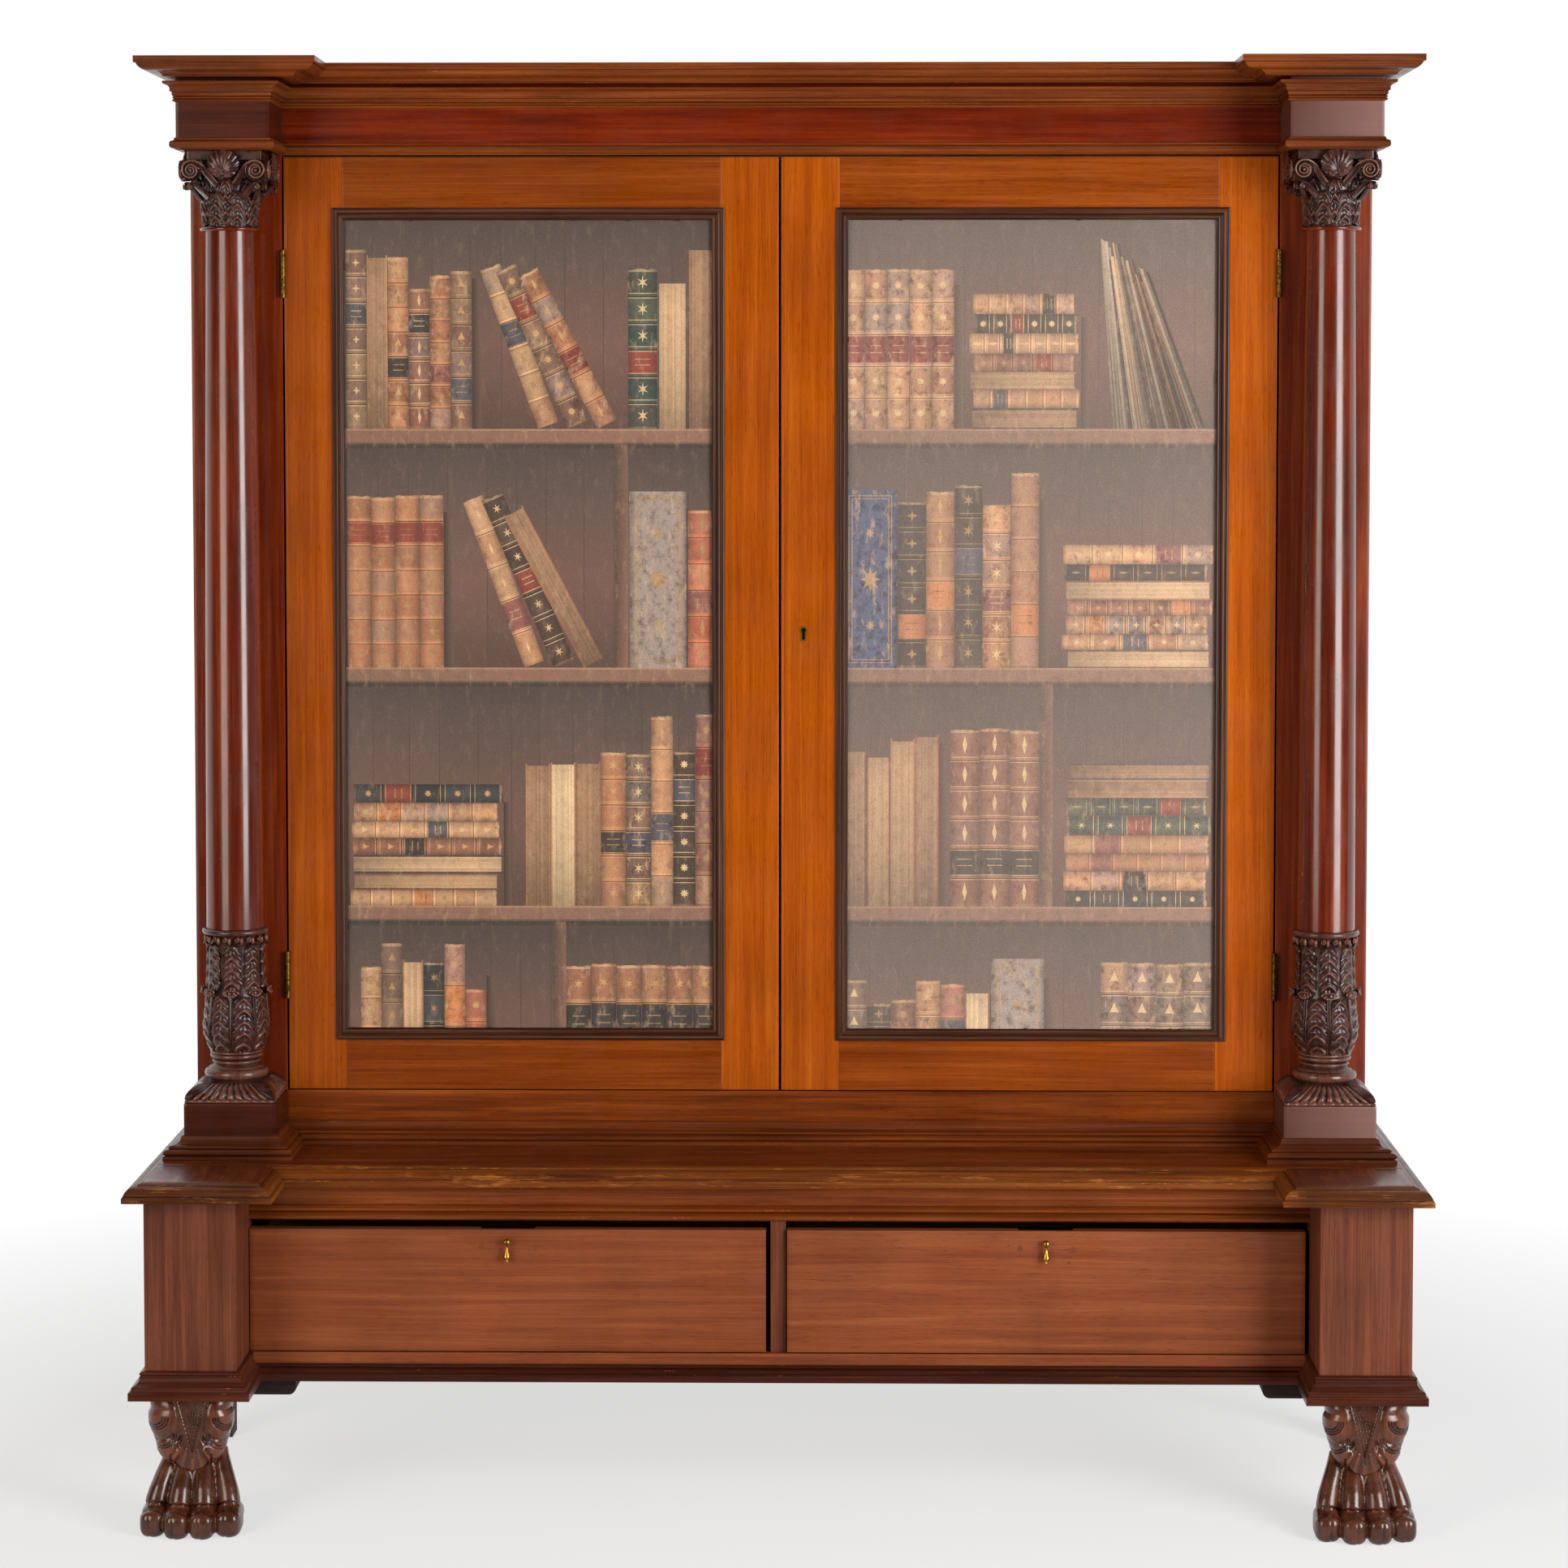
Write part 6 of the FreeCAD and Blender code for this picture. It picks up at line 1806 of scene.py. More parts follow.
@dataclass
class BookPrint:
    """A flat printed design of shelves with plain old books, laid out by a short plan."""

    finishes: Wardrobe
    low: Flat
    high: Flat
    seed: int
    # Share of a pale painted veil of reflected light over every ink.
    painted_veil: float
    plan: Sequence[Sequence[tuple[Book, float]]]
    face: float = 48.55
    shelves: tuple[float, ...] = (556.0, 958.0, 1354.0, 1748.0)
    thick: float = 25.0

    CALF = ("#93664A", "#A67858", "#7C5240", "#AC8260", "#6E5444", "#9A6648")
    DARK = ("#2E2824", "#38302A", "#40322A", "#2A2C2C")
    CLOTH = ("#8A4230", "#A2583E", "#3A3E4A", "#4C5258", "#6C4838", "#70483C", "#34423C")
    LABELS = ("#7E3A2C", "#3A3430", "#4E4A50", "#B06E44", "#845048")
    TINTS = ("#A08484", "#767A82", "#C09068", "#8A5442", "#B89A74")
    PAPERS = ("#BC9874", "#AA8664", "#CCAC86", "#967256")
    GOLDS = ("#C49A62", "#A88456", "#D8B684")
    MOTIFS = ((2, 0.4, 1.6), (4, 0.35, 1.0), (8, 0.55, 1.0), (3, 0.45, 1.3), (6, 0.3, 1.2))
    VEIL_INK = "#B4A29A"
    ROUND = (0.55, 0.86, 1.08, 1.14, 1.0, 0.82, 0.52)
    BACKS = ((0.0, "#5C443A", 0.7), (0.4, "#6A4C42", 0.88), (0.8, "#564640", 0.84),
             (1.0, "#4A3E38", 0.8))
    EDGE = ((-32, -25, "#3A302A"), (-25, -22, "#5E483C"), (-22, -3, "#7C5A4A"),
            (-3, 0, "#94705A"))
    UPRIGHT = ("#4E3A30", "#7A5848", "#6E5042", "#483830")
    SHELF, BOOKS, SIDE, TOP_BAY = 0.04, 0.06, 4, 374.0

    def __post_init__(self) -> None:
        """Starts the sheet."""
        rng = random.Random(self.seed)
        self.vary, self.pick, self.chance = rng.uniform, rng.choice, rng.random
        self.whole = rng.randrange
        self.points: list[Vector] = []
        self.faces: list[tuple[int, ...]] = []
        self.inks: list[tuple[float, ...]] = []
        self.speckles: list[float] = []
        self.layer = 0.0

    def tone(self, ink: str, gain: float = 1.0) -> tuple[float, ...]:
        """An ink at another depth, under the sheet's painted veil of reflected light."""
        return tuple(min(1.0, c * gain) * (1 - self.painted_veil) + v * self.painted_veil
                     for c, v in zip(linear(ink)[:3], linear(self.VEIL_INK))) + (1.0,)

    @staticmethod
    def between(ink: str, other: str, share: float) -> str:
        """A hex colour part of the way from one ink to another."""
        pairs = [(int(ink[i:i + 2], 16), int(other[i:i + 2], 16)) for i in (1, 3, 5)]
        return "#" + "".join(f"{round(a + (b - a) * share):02X}" for a, b in pairs)

    def patch(self, corners: Sequence[Flat], inks: Sequence[tuple[float, ...]],
              speckle: float = 0.0) -> None:
        """Lays one face on the sheet, cut off at its edges, with an ink at each corner."""
        start = len(self.points)
        for (x, z), ink in zip(corners, inks):
            x = min(max(x, self.low[0]), self.high[0])
            z = min(max(z, self.low[1]), self.high[1])
            self.points.append(Vector((x, self.face - self.layer, z)))
            self.inks.append(ink)
            self.speckles.append(speckle)
        self.faces.append(tuple(range(start, start + len(corners))))

    def cell(self, at: Placer, low: Flat, high: Flat, inks: Sequence[tuple[float, ...]],
             speckle: float = 0.0) -> None:
        """Lays a four-cornered face between two places, with its inks from the lower left."""
        (u0, v0), (u1, v1) = low, high
        self.patch([at(u0, v0), at(u1, v0), at(u1, v1), at(u0, v1)], inks, speckle)

    @staticmethod
    def flat(x: float, z: float) -> Flat:
        """A place on the sheet itself."""
        return x, z

    @staticmethod
    def slab(foot: Flat, wide: float, tall: float, slant: float, lies: bool = False) -> Placer:
        """Places on a book from shares of its thickness and height.

        Args:
            foot: its lower left corner.
            wide: its thickness.
            tall: its height.
            slant: lean to the right in radians.
            lies: whether it lies on its side.

        Returns:
            A function from the two shares to a place on the sheet.
        """
        ahead, aside = cos(slant), sin(slant)
        if lies:
            return lambda u, v: (foot[0] + v * tall, foot[1] + u * wide)
        return lambda u, v: (foot[0] + u * wide * ahead + v * tall * aside,
                             foot[1] - u * wide * aside + v * tall * ahead)

    def band(self, at: Placer, v0: float, v1: float, ink: str,
             gain: float = 1.0, speckle: float = 0.0, ragged: float = 0.0) -> None:
        """A length of a spine in one ink, shaded round, its top edge straight or ragged."""
        tops = [v1 + self.vary(-ragged, ragged) for _ in self.ROUND]
        for k in range(6):
            left, right = (self.tone(ink, gain * self.ROUND[n]) for n in (k, k + 1))
            u0, u1 = k / 6, (k + 1) / 6
            self.patch([at(u0, v0), at(u1, v0), at(u1, tops[k + 1]), at(u0, tops[k])],
                       [left, right, right, left], speckle)

    def binding(self) -> Binding:
        """Picks how a spine is bound."""
        inks, mottle = self.pick(((self.CALF, 0.6), (self.CALF, 0.9), (self.DARK, 0.3),
                                        (self.CLOTH, 0.5), (self.CALF, 0.4)))
        bands = self.pick((4, 5, 5, 6))
        return Binding(self.pick(inks), self.pick(self.LABELS), self.pick(self.GOLDS), bands,
                       self.whole(1, bands), mottle, self.pick(self.MOTIFS))

    def star(self, at: Placer, v: float, wide: float, tall: float,
             size: float, how: Binding) -> None:
        """A small gold motif in the middle of a spine."""
        points, inner, stretch = how.motif
        ring = []
        for n in range(points * 2):
            angle = pi * n / points
            r = size * (1.0 if n % 2 == 0 else inner)
            ring.append(at(0.5 + r * sin(angle) / wide,
                           v + r * stretch * cos(angle) / tall))
        self.patch(ring, [self.tone(how.gold, 0.8)] * len(ring), 0.5)

    def spine(self, at: Placer, wide: float, tall: float,
              how: Binding) -> None:
        """One spine: bands with fine gold rules, a label, worn ends and small motifs."""
        cuts = [0.0] + [(n + 1) / (how.bands + 1) for n in range(how.bands)] + [1.0]
        for n, (v0, v1) in enumerate(zip(cuts, cuts[1:])):
            ink = self.between(how.leather, self.pick(self.TINTS),
                               self.vary(0.0, 0.6) * how.mottle)
            ink = how.label if n == how.labelled else ink
            self.band(at, v0, v1, ink, self.vary(0.85, 1.1), how.mottle,
                      1.2 / tall if v1 == 1.0 else 0.0)
        self.layer += 0.02
        mm = 1.0 / tall
        for v in cuts[1:-1]:
            self.band(at, v - 2.6 * mm, v - 1.0 * mm, how.leather, 0.45)
            self.band(at, v - 1.0 * mm, v + 2.2 * mm, how.leather, 1.45, 0.4)
            for low in (-4.4, 3.2):
                self.band(at, v + low * mm, v + (low + 1.1) * mm, how.gold, 0.8, 0.5)
        self.band(at, 0.0, 4.0 * mm, self.between(how.leather, "#B08A60", 0.5), 0.7, 0.6)
        self.band(at, 1 - 5.0 * mm, 1 - 0.8 * mm, self.between(how.leather, "#D0AC80", 0.6), 0.9,
                  0.9, 1.4 * mm)
        for n, (v0, v1) in enumerate(zip(cuts, cuts[1:])):
            if n == how.labelled:
                for share in (0.38, 0.6):
                    v = v0 + (v1 - v0) * share
                    self.cell(at, (0.24, v), (0.76, v + 1.6 * mm),
                              [self.tone(how.gold, 0.55)] * 4, 1.0)
            else:
                self.star(at, (v0 + v1) / 2, wide, tall, min(wide * 0.2, (v1 - v0) * tall * 0.26),
                          how)
        self.layer -= 0.02

    def leaves(self, at: Placer, wide: float) -> None:
        """A book seen from its leaves: thin boards and many fine lines of worn paper."""
        lines = max(7, int(wide / 3.0))
        cover, tone = self.pick(self.CLOTH + self.CALF), self.pick(self.PAPERS)
        rim = 2.4 / wide
        cuts = [0.0] + [rim + (1 - 2 * rim) * k / lines for k in range(lines + 1)] + [1.0]
        for k, (u0, u1) in enumerate(zip(cuts, cuts[1:])):
            edge = k in (0, lines + 1)
            gain = self.vary(0.74, 1.06)
            ink, top = (cover, 1.0) if edge else (tone, 0.985)
            low, mid, high = (self.tone(ink, gain * g) for g in (0.5, 0.86, 1.06))
            for v0, v1, a, b in ((0, 0.35, low, mid), (0.35, 0.8, mid, high),
                                 (0.8, top, high, mid)):
                self.cell(at, (u0, v0), (u1, v1), [a, a, b, b], 0.35)

    def any_book(self, at: Placer, wide: float, tall: float,
                 leaves: float = 0.12) -> None:
        """A book of any kind."""
        if self.chance() < leaves:
            self.leaves(at, wide)
        else:
            self.spine(at, wide, tall, self.binding())

    def shade(self, x: float, shelf: float, wide: float, tall: float) -> None:
        """The soft shadow that a group of books throws on the back boards to its right."""
        dark, pale = self.tone("#34261F"), self.tone("#604A3F", 0.85)
        self.layer -= 0.01
        corners = [(x, shelf), (x + wide, shelf), (x + wide * 0.7, shelf + tall),
                   (x, shelf + tall)]
        self.patch(corners, [dark, pale, pale, dark])
        self.layer += 0.01

    def upright(self, kind: Book, x: float, shelf: float, wide: float, room: float) -> None:
        """Standing books that fill a width."""
        height = room * self.vary(0.76, 0.86)
        how = self.binding()
        books = max(1, round(wide / self.vary(36, 46)))
        each = wide / books
        spread = (0.985, 1.0) if kind is Book.SET else (0.82, 1.08)
        thick = each - 0.9
        for n in range(books):
            tall = height * self.vary(*spread)
            at = self.slab((x + n * each, shelf), thick, tall, 0.0)
            if kind is Book.SET:
                self.spine(at, thick, tall, how)
            else:
                self.any_book(at, thick, tall, 0.85 if kind is Book.EDGES else 0.12)
        self.shade(x + wide, shelf, 16.0, height * 0.9)

    def leaning(self, x: float, shelf: float, wide: float, room: float) -> None:
        """Books leaning to the left."""
        tall = room * self.vary(0.78, 0.84)
        count = max(2, round((wide - 100) / 42))
        for n in range(count):
            thick = self.vary(34, 40)
            slant = -radians(19 + 4 * n + self.vary(0, 2))
            at = self.slab((x + 96 + n * 49, shelf), thick, tall * self.vary(0.96, 1.03),
                           slant)
            self.layer += 0.04
            self.any_book(at, thick, tall)
        self.layer = self.BOOKS

    def sheets(self, x: float, shelf: float, wide: float, room: float) -> None:
        """A bundle of slim papers and folders slumped to the left, each on the one before."""
        x += wide * 0.24
        share = 0.0
        while share < 1.0:
            thin = self.vary(3.0, 8.0)
            tall = room * (0.92 - 0.12 * share) * self.vary(0.9, 1.03)
            at = self.slab((x, shelf), thin * 1.15, tall, -radians(4 + 17 * share))
            ink = self.pick(self.PAPERS + ("#8E7A66", "#6A5444", "#4A3A30", "#B8A088"))
            gain = self.vary(0.4, 1.0)
            self.layer += 0.006
            low, high, dark = (self.tone(ink, gain * g) for g in (0.45, 1.0, 0.2))
            self.cell(at, (0, 0), (1, 1), [low, low, high, high], 0.4)
            self.layer += 0.006
            self.cell(at, (0.5, 0), (1, 1), [dark] * 4)
            x += thin
            share += thin / (wide * 0.68)
        self.layer = self.BOOKS

    def pile(self, x: float, shelf: float, wide: float, room: float) -> None:
        """Flat books in a pile."""
        level = shelf
        top = shelf + room * self.vary(0.52, 0.66)
        while level < top:
            thick = self.vary(24, 34)
            start = self.vary(0, 12)
            long = wide - start - self.vary(0, 14)
            at = self.slab((x + start, level), thick, long, 0.0, True)
            self.any_book(at, thick, long, 0.3)
            level += thick + 1
        self.shade(x + wide, shelf, 14.0, (top - shelf) * 0.9)

    def folio(self, x: float, shelf: float, wide: float, room: float) -> None:
        """A broad cloth book with a double ruled frame and small motifs."""
        tall = room * self.vary(0.78, 0.86)
        how = Binding(self.pick(("#8A7A72", "#8E4634", "#3A4662", "#5E4636")), "", "#B08A5C",
                      0, 0, 0.9, (8, 0.45, 1.25))
        wide -= 4
        at = self.slab((x + 2, shelf), wide, tall, 0.0)
        edge, core = self.tone(how.leather, 0.5), self.tone(how.leather, 1.05)
        for u0, u1, left, right in ((0, 0.12, edge, core), (0.12, 0.9, core, core),
                                    (0.9, 1, core, edge)):
            self.cell(at, (u0, 0), (u1, 1), [left, right, right, left], how.mottle)
        self.layer += 0.02
        line, rise = 1.6 / wide, 1.6 / tall
        for inset in (8.0, 13.0):
            a, c = inset / wide, inset / tall
            for low, high in (((a, c), (1 - a, c + rise)), ((a, 1 - c - rise), (1 - a, 1 - c)),
                              ((a, c), (a + line, 1 - c)), ((1 - a - line, c), (1 - a, 1 - c))):
                self.cell(at, low, high, [self.tone(how.gold, 0.7)] * 4, 0.6)
        for v, size in ((0.5, 17.0), (0.76, 8.0), (0.24, 8.0)):
            self.star(at, v, wide, tall, size, how)
        self.layer = self.BOOKS
        self.shade(x + wide + 2, shelf, 16.0, tall * 0.9)

    def bay(self, shelf: float, top: float, row: Sequence[tuple[Book, float]]) -> None:
        """The back boards of one bay, its shelf and what stands on it."""
        x, end, joint = self.low[0], self.high[0], 1.3
        while x < end:
            wide, gain = self.vary(44, 64), self.vary(0.94, 1.05)
            for (s0, i0, g0), (s1, i1, g1) in zip(self.BACKS, self.BACKS[1:]):
                self.cell(self.flat, (x, shelf + (top - shelf) * s0),
                          (x + wide, shelf + (top - shelf) * s1),
                          [self.tone(i0, g0 * gain)] * 2 + [self.tone(i1, g1 * gain)] * 2, 0.1)
            self.cell(self.flat, (x + wide, shelf), (x + wide + joint, top),
                      [self.tone("#46362E")] * 4)
            x += wide + joint
        self.layer = self.SHELF
        for z0, z1, ink in self.EDGE:
            self.cell(self.flat, (self.low[0], shelf + z0), (end, shelf + z1),
                      [self.tone(ink, gain) for gain in (0.92, 1.05, 1.05, 0.92)], 0.3)
        self.layer = self.BOOKS
        x, room = self.low[0] + self.SIDE, top - shelf - 8
        total = sum(share for _, share in row)
        draws = {Book.LEAN: self.leaning, Book.SHEETS: self.sheets, Book.PILE: self.pile,
                 Book.FOLIO: self.folio}
        for kind, share in row:
            wide = share / total * (end - self.low[0] - 2 * self.SIDE)
            if kind is Book.POST:
                self.cell(self.flat, (x, shelf), (x + wide, top - 1),
                          [self.tone(ink) for ink in self.UPRIGHT], 0.3)
            elif kind in draws:
                draws[kind](x, shelf, wide, room)
            elif kind is not Book.GAP:
                self.upright(kind, x, shelf, wide, room)
            x += wide
        self.layer = 0.0

    def build(self, name: str) -> Object:
        """Prints the whole sheet."""
        tops = [*self.shelves[1:], self.shelves[-1] + self.TOP_BAY]
        for shelf, top, row in zip(self.shelves, tops, self.plan):
            self.bay(shelf, top - self.thick, row)
        mesh = bpy.data.meshes.new(name)
        mesh.from_pydata([p * MM for p in self.points], [], self.faces)
        for label, kind, field_name, values in (
                ("ink", "FLOAT_COLOR", "color", [c for ink in self.inks for c in ink]),
                ("speckle", "FLOAT", "value", self.speckles),
                ("grain", "FLOAT_VECTOR", "vector",
                 [c * MM for p in self.points for c in (p.z, p.x, 0.0)])):
            mesh.attributes.new(label, kind, "POINT").data.foreach_set(field_name, values)
        mesh.materials.append(self.finishes.board)
        return link(name, mesh)


@dataclass
class Door:
    """One glazed door, drawn on the right and mirrored for the left."""

    finishes: Wardrobe
    side: str
    edge: float = 2.0
    outer: float = 815.7
    low: float = 652.0
    top: float = 2193.5
    member: float = 96.0
    sight: float = 83.0
    sight_inner: float = 90.0
    sight_outer: float = 79.0
    key: Flat = (38.8, 1416.4)
    lining: float = 6.6
    slot: float = 4.8
    tail: float = 18.2

    GLAZING = ((0, 0), (0.0, 0.35), (0.12, 0.42), (0.56, 0.86, 0.5), (0.60, 0.66),
               (0.90, 0.44, 0.5), (1, 0.20), (1, 0))

    def fit(self, d: Draft, name: str, finish: Material, node: str, slot: str) -> None:
        """Makes a draft a piece of this door, turned over on the left."""
        (d if self.side == "right" else d.mirrored()).place(
            f"{self.side}_{name}", finish, f"{self.side}_{node}", slot, f"{self.side}_door")

    def frame(self) -> None:
        """Stiles and rails with fine joint lines between them."""
        gap, right = 0.15, self.side == "right"
        stiles, rails = Draft(count=3 if right else 9), Draft(count=5)
        y0, y1 = PLAN.door_front, PLAN.door_back
        inner, outer = self.edge + self.member, self.outer - self.member
        self.meeting_stile(stiles, inner - gap)
        stiles.board((outer + gap, y0, self.low), (self.outer, y1, self.top), Along.Z, 0.8, 4)
        for a, b in ((self.low, self.low + self.member), (self.top - self.member, self.top)):
            rails.board((inner, y0 + 0.1, a), (outer, y1, b), Along.X, 0.5, 3)
        if right:
            stiles.board((self.edge, y0 - 1.5, self.low + 1), (self.edge + 5, y0 + 1, self.top - 1),
                         Along.Z, 0.7, 1)
        self.fit(stiles, "door_stiles", self.finishes.stile, "door_frame", "door_wood")
        self.fit(rails, "door_rails", self.finishes.rail, "door_frame", "door_wood")

    def meeting_stile(self, d: Draft, inner: float) -> None:
        """The stile at the middle, in layers round the lock's seat or the bolt's keep.

        Args:
            d: draft that it is added to.
            inner: x of its edge beside the glass.
        """
        if self.side == "right":
            reach, y_range, z_range, hole = 64.0, (56.0, 70.0), (1379.4, 1453.4), self.keyhole()
        else:
            reach, y_range, z_range, hole = 12.0, (58.7, 67.3), (1425.1, 1447.7), ()
        y0, y1 = PLAN.door_front, PLAN.door_back
        d.board((self.edge, y0, self.low), (inner, y_range[0], self.top), Along.Z, 0.8, 4,
                hole=hole, deep=10.8)
        layers = [((self.edge, self.low), (inner, z_range[0]), y_range),
                  ((self.edge, z_range[1]), (inner, self.top), y_range),
                  ((reach, z_range[0]), (inner, z_range[1]), y_range)]
        if y_range[1] < y1:
            layers.append(((self.edge, self.low), (inner, self.top), (y_range[1], y1)))
        for low, high, (front, back) in layers:
            d.count -= 1
            d.board((low[0], front, low[1]), (high[0], back, high[1]), Along.Z, 0.25, 3)

    def keyhole(self) -> list[Flat]:
        """The seat of the keyhole's brass lining: a round with a slot below it."""
        x, z = self.key
        start = asin(self.slot / self.lining)
        outline = [(x + self.slot, z - self.tail)]
        for n in range(21):
            angle = -pi / 2 + start + (2 * pi - 2 * start) * n / 20
            outline.append((x + self.lining * cos(angle), z + self.lining * sin(angle)))
        return outline + [(x - self.slot, z - self.tail)]

    def glazing(self) -> None:
        """The moulded bead round the glass, chipped along its inner edge."""
        d = Draft()
        low = self.edge + self.sight_inner, self.low + self.sight
        high = self.outer - self.sight_outer, self.top - self.sight
        plan = [low, (low[0], high[1]), high, (high[0], low[1])]
        d.run(plan, section(scaled(self.GLAZING, 20, 8.8), soft=0.5, rim=1.5), closed=True)
        d.points = [Vector((p.x, PLAN.door_front - p.z, p.y)) for p in d.points]
        rng = random.Random(5 if self.side == "left" else 6)
        inset, y, nicks = 19.2, PLAN.door_front - 1.6, 13
        for _ in range(nicks):
            x, z = rng.uniform(low[0] + 40, high[0] - 40), rng.uniform(low[1] + 60, high[1] - 60)
            spots = ((x, y, low[1] + inset), (x, y, high[1] - inset), (low[0] + inset, y, z),
                     (high[0] - inset, y, z))
            sizes = [rng.uniform(4, 9) for _ in spots]
            side = rng.choice(range(4))
            size = sizes[side]
            nick = bead(spots[side], (size, 1.3, 2.2) if side < 2 else (2.2, 1.3, size), 8, 6)
            nick.wear = [-1.0] * len(nick.wear)
            d.join(nick)
        self.fit(d, "glazing_bead", self.finishes.glazing, "glazing_moulding", "glazing_wood")

    def panel(self) -> None:
        """The printed board behind the glass, with its strips."""
        flip = 1 if self.side == "right" else -1
        left, right = sorted(((self.edge + self.member + 1) * flip,
                              (self.outer - self.member - 1) * flip))
        low, high = self.low + self.member + 1, self.top - self.member - 1
        sheet = BookPrint(self.finishes, (left, low), (right, high), *self.books())
        settle(sheet.build(f"{self.side}_book_print"), f"{self.side}_door", [], "board_print")
        front, middle, back, wide = 48.6, 52.6, 62.6, 11
        d = Draft()
        d.board((left, front, low), (right, middle, high), Along.Z, 0.3, 2)
        for x0, x1, z0, z1 in ((left - 1, left + wide, low - 1, high + 1),
                               (right - wide, right + 1, low - 1, high + 1),
                               (left + wide, right - wide, low - 1, low + wide),
                               (left + wide, right - wide, high - wide, high + 1)):
            d.board((x0, middle, z0), (x1, back, z1), Along.Z, 0.6, 2)
        d.place(f"{self.side}_panel_back", self.finishes.inner, f"{self.side}_panel",
                "board_print", f"{self.side}_door")

    def books(self) -> tuple[int, float, Sequence[Sequence[tuple[Book, float]]]]:
        """Seed, painted veil of reflected light, stronger on the right door, and plan of this
        door's printed shelves, from the lowest up.
        """
        if self.side == "left":
            return 23, 0.02, (
                ((Book.GAP, 3), (Book.ROW, 34), (Book.GAP, 18), (Book.POST, 3.5), (Book.SET, 41)),
                ((Book.PILE, 42), (Book.GAP, 6), (Book.EDGES, 34), (Book.ROW, 18)),
                ((Book.SET, 26), (Book.GAP, 6), (Book.LEAN, 40), (Book.POST, 3.5),
                 (Book.FOLIO, 16), (Book.ROW, 8)),
                ((Book.ROW, 34), (Book.GAP, 2), (Book.LEAN, 40), (Book.ROW, 24)))
        return 8, 0.18, (
            ((Book.ROW, 40), (Book.FOLIO, 15), (Book.GAP, 15), (Book.SET, 30)),
            ((Book.EDGES, 26), (Book.GAP, 3), (Book.SET, 24), (Book.POST, 3.5), (Book.GAP, 3),
             (Book.PILE, 40)),
            ((Book.FOLIO, 15), (Book.ROW, 38), (Book.GAP, 6), (Book.PILE, 41)),
            ((Book.SET, 30), (Book.GAP, 4), (Book.PILE, 30), (Book.SHEETS, 36)))

    def hardware(self) -> None:
        """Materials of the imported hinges, glass, bolts and lock."""
        dress([f"{self.side}_hinge_leaves"], self.finishes.old_brass)
        dress([f"{self.side}_glass"], self.finishes.glass)
        if self.side == "right":
            dress(["door_lock", "lock_bolt"], self.finishes.steel)
            dress(["keyhole_thread"], self.finishes.brass)
        else:
            dress(["left_bolt_barrels", "top_bolt", "bottom_bolt"], self.finishes.steel)

    def build(self) -> None:
        """Builds the door."""
        self.frame()
        self.glazing()
        self.panel()
        self.hardware()


@dataclass
class DrawerSet:
    """Both drawers with their drop pulls."""

    finishes: Wardrobe
    wide: float = 834.0
    low: float = 261.0
    high: float = 460.0
    thick: float = 22.0
    skin: float = 9.0
    PLUGS: ClassVar[tuple[Point, ...]] = ((-42, 432, 6.4), (44, 430, 6.0), (-60, 437, 2.6),
                                          (37, 409, 3.4))

    def front(self, side: str, start: float, pull: float, count: int) -> None:
        """One drawer front with its lock notch and old plugged holes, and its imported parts.

        Args:
            side: left or right.
            start: x of its left end.
            pull: x of its drop pull.
            count: which part of the log its wood is from.
        """
        y0, y1 = PLAN.drawer_front, PLAN.drawer_front + self.thick
        back, end = y0 + self.skin, start + self.wide
        middle, half, notch = start + self.wide / 2, 44.0, 60
        d = Draft(count=count)
        d.board((start, y0, self.low), (end, back, self.high), Along.X, 1.3, 8, beside=-0.3)
        for x0, x1, top in ((start, middle - half, self.high), (middle + half, end, self.high),
                            (middle - half, middle + half, self.high - notch)):
            d.board((x0, back, self.low), (x1, y1, top), Along.X, 0.4, 2)
        for x, z, size in self.PLUGS:
            plug = bead((pull + x, y0 + 0.5, z), (size, 0.85, size), 20, 8)
            plug.wear = [-0.3] * len(plug.wear)
            d.join(plug)
        d.place(f"{side}_drawer_board", self.finishes.drawer, f"{side}_drawer_front",
                "drawer_wood", f"{side}_drawer")
        dress([f"{side}_drawer_box"], self.finishes.inner)
        dress([f"{side}_pull_post", f"{side}_drop"], self.finishes.brass)

    def build(self) -> None:
        """Builds both drawers."""
        self.front("left", -853.8, -436.8, 7)
        self.front("right", 14.1, 431.1, 21)


# Studio


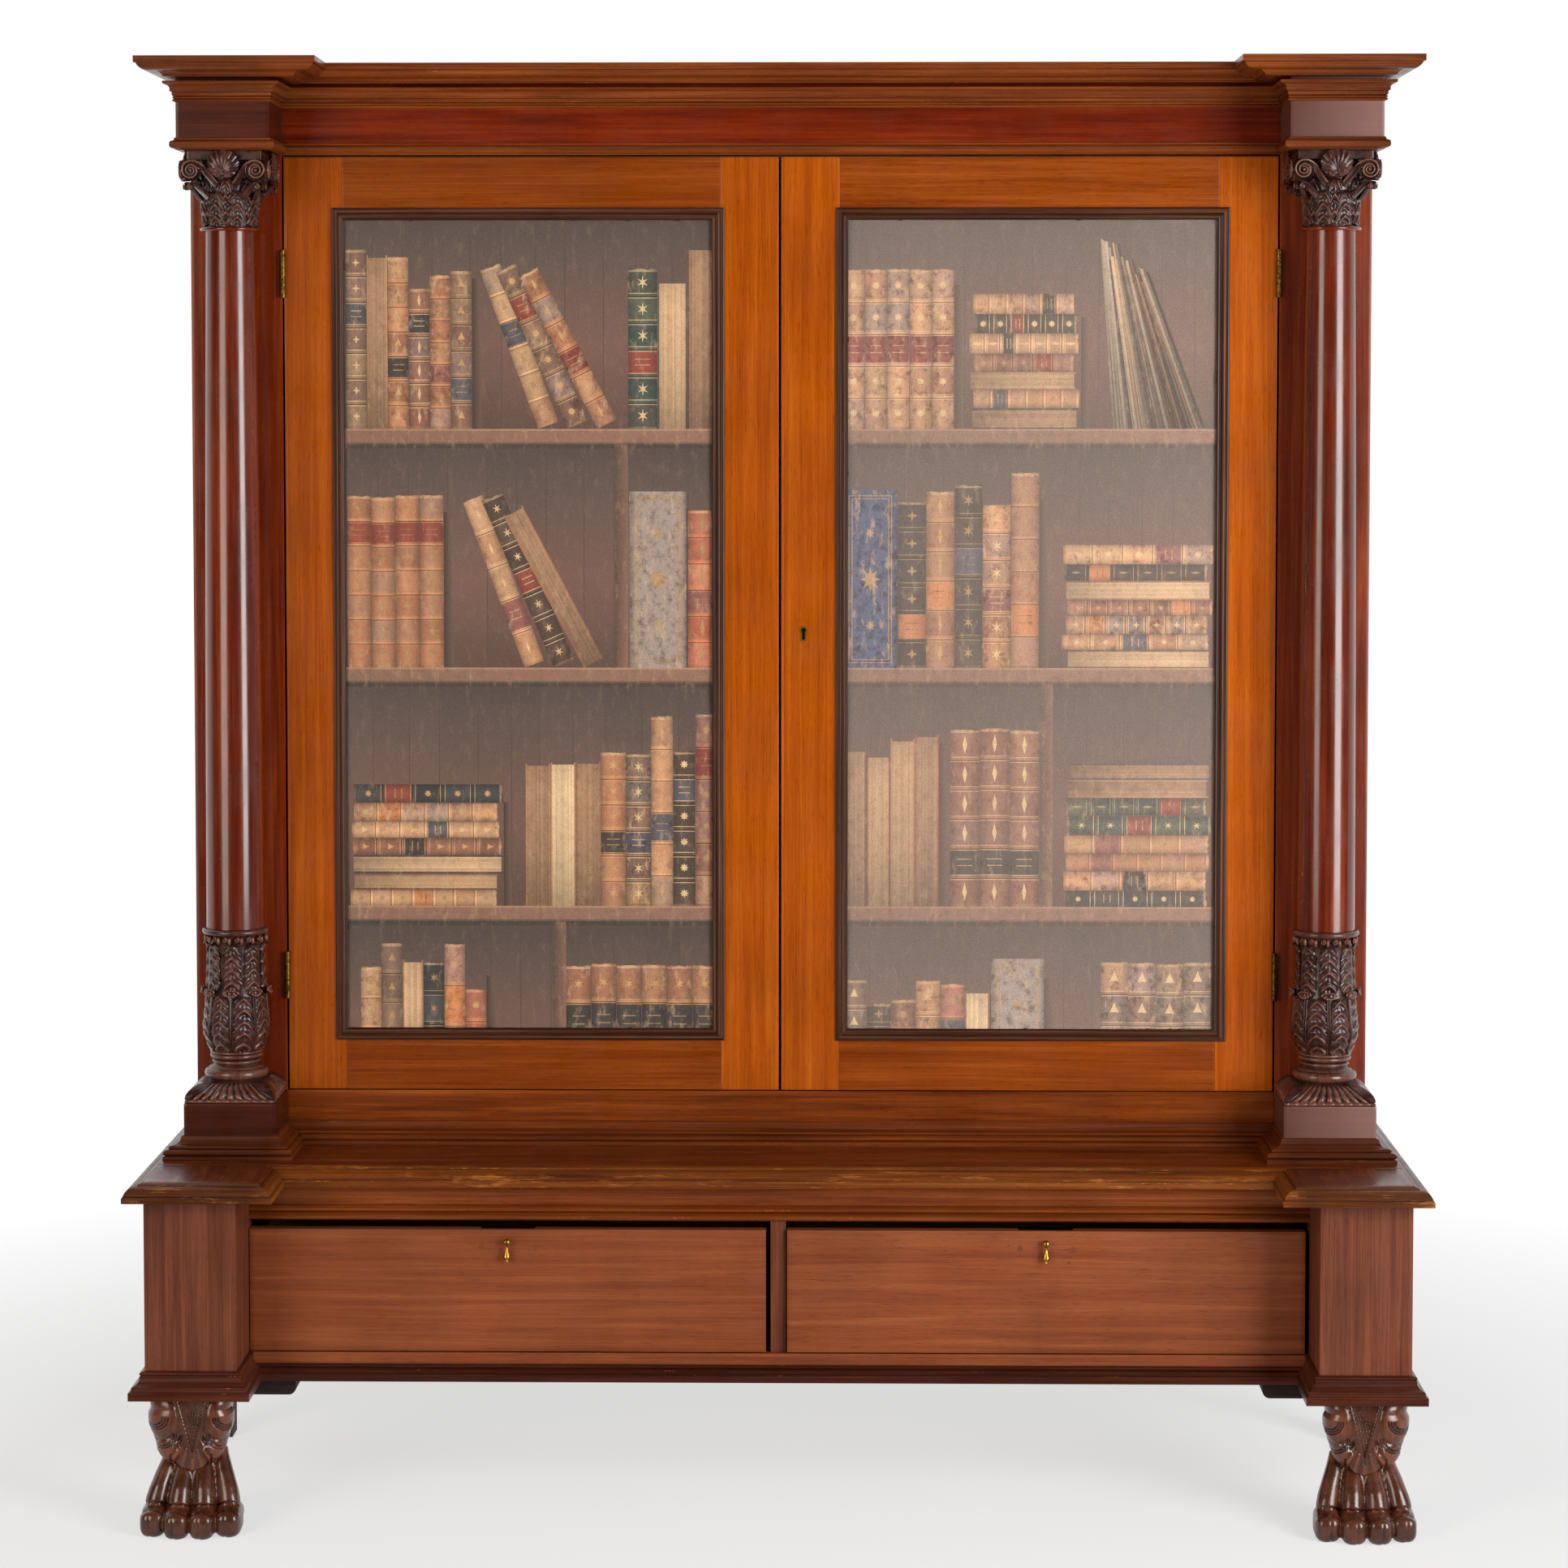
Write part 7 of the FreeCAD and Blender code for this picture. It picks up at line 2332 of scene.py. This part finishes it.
@dataclass
class Studio:
    """Pale floor, white surroundings, two large soft lamps and the camera of the photograph."""

    lens: float = 85.0
    sensor: float = 36.0
    shift: float = -0.12
    place: Point = (0.096, -6.05, 1.786)
    pitch: float = 87.062
    yaw: float = 0.84
    floor_half: float = 14.0

    def camera(self) -> None:
        """Sets up the camera."""
        data = bpy.data.cameras.new("camera")
        data.lens, data.sensor_width, data.shift_y = self.lens, self.sensor, self.shift
        made = link("camera", data)
        made.location = self.place
        made.rotation_euler = (radians(self.pitch), 0.0, radians(self.yaw))
        bpy.context.scene.camera = made

    def lamp(self, name: str, turn: float, away: float, size: Flat, power: float,
             tint: str) -> None:
        """Adds one softbox that faces the bookcase.

        Args:
            name: its name.
            turn: degrees round from the front, over 0 to the right.
            away: distance from the middle of the bookcase.
            size: width and height.
            power: watts.
            tint: colour of its light.
        """
        data = bpy.data.lights.new(name, "AREA")
        data.shape = "RECTANGLE"
        data.size, data.size_y = size
        data.energy, data.color = power, linear(tint)[:3]
        made = link(name, data)
        angle = radians(turn)
        made.location = (away * sin(angle), -away * cos(angle), 1.75)
        way = Vector((0.0, 0.0, 1.2)) - made.location
        made.rotation_euler = way.to_track_quat("-Z", "Y").to_euler()

    def world(self) -> None:
        """White surroundings for camera and glass; polish sees a dark room behind the camera."""
        world = bpy.data.worlds.new("studio")
        bpy.context.scene.world = world
        world.use_nodes = True
        world.node_tree.nodes.clear()
        g = Graph(world.node_tree)
        path = g.node("LightPath").outputs
        way = g.node("SeparateXYZ", Vector=g.place("Generated")).outputs
        behind = g.span(way["Y"], -0.25, 0.3, curve="SMOOTHSTEP")
        right = g.span(way["X"], 0.02, 0.5, 0.0, 0.14, "SMOOTHSTEP")
        mirrored = g.maths("MAXIMUM", behind, g.maths("ADD", right, 0.02))
        glossy = g.maths("MULTIPLY", path["Is Glossy Ray"], mirrored)
        through = g.maths("MULTIPLY", path["Is Transmission Ray"], behind)
        seen = g.maths("MAXIMUM", path["Is Camera Ray"], through)
        diffuse = g.maths("MULTIPLY", path["Is Diffuse Ray"], 0.26)
        strength = g.maths("MAXIMUM", g.maths("MAXIMUM", seen, glossy), diffuse)
        sky = g.node("Background", Color=WHITE, Strength=strength)
        g.node("OutputWorld", Surface=sky.outputs[0])

    def floor(self) -> None:
        """A pale floor that fades to white away from the bookcase."""
        sh = Shading("pale_floor")
        place = sh.place()
        far = sh.node("VectorMath", {"operation": "LENGTH"}, i0=place).outputs["Value"]
        path = sh.node("LightPath").outputs
        gloss = path["Is Glossy Ray"]
        behind = sh.span(sh.node("SeparateXYZ", Vector=place).outputs["Y"], -0.9, 0.2)
        dim = sh.maths("MULTIPLY", gloss, sh.maths("SUBTRACT", 1.0, behind))
        pale = sh.tint(dim, (0.92, 0.92, 0.92, 1.0), (0.03, 0.03, 0.03, 1.0))
        diffuse = sh.node("BsdfDiffuse", Color=pale)
        seen = sh.maths("MAXIMUM", path["Is Camera Ray"], sh.maths("MULTIPLY", gloss, behind))
        amount = sh.maths("MULTIPLY", seen, sh.span(far, 1.3, 2.6, 0.62))
        glow = sh.node("Emission", Color=WHITE, Strength=1.0)
        finish = sh.finish("MixShader", i0=amount, i1=diffuse.outputs[0], i2=glow.outputs[0])
        mesh = bpy.data.meshes.new("floor")
        size = self.floor_half
        mesh.from_pydata([(-size, -size, 0), (size, -size, 0), (size, size, 0), (-size, size, 0)],
                         [], [(0, 1, 2, 3)])
        mesh.materials.append(finish)
        made = link("floor", mesh)

    def build(self) -> None:
        """Builds the studio."""
        bpy.context.scene.view_settings.view_transform = "Standard"
        self.camera()
        self.world()
        self.floor()
        self.lamp("left_softbox", -40, 4.6, (1.9, 2.9), 88, "#FFF4E6")
        self.lamp("right_softbox", 46, 4.6, (1.9, 2.9), 178, "#FFFFFF")


def main() -> None:
    """Dresses the bookcase, piece by piece, and lights it."""
    logging.basicConfig(level=logging.INFO, format="%(name)s %(message)s")
    Studio().build()
    finishes = Wardrobe()
    LowerStage(finishes).build()
    UpperCase(finishes).build()
    Capital(finishes).build()
    Column(finishes).build()
    PawFoot(finishes).build()
    Door(finishes, "left").build()
    Door(finishes, "right").build()
    dress(["case_hinges"], finishes.old_brass)
    DrawerSet(finishes).build()


if __name__ == "__main__":
    main()
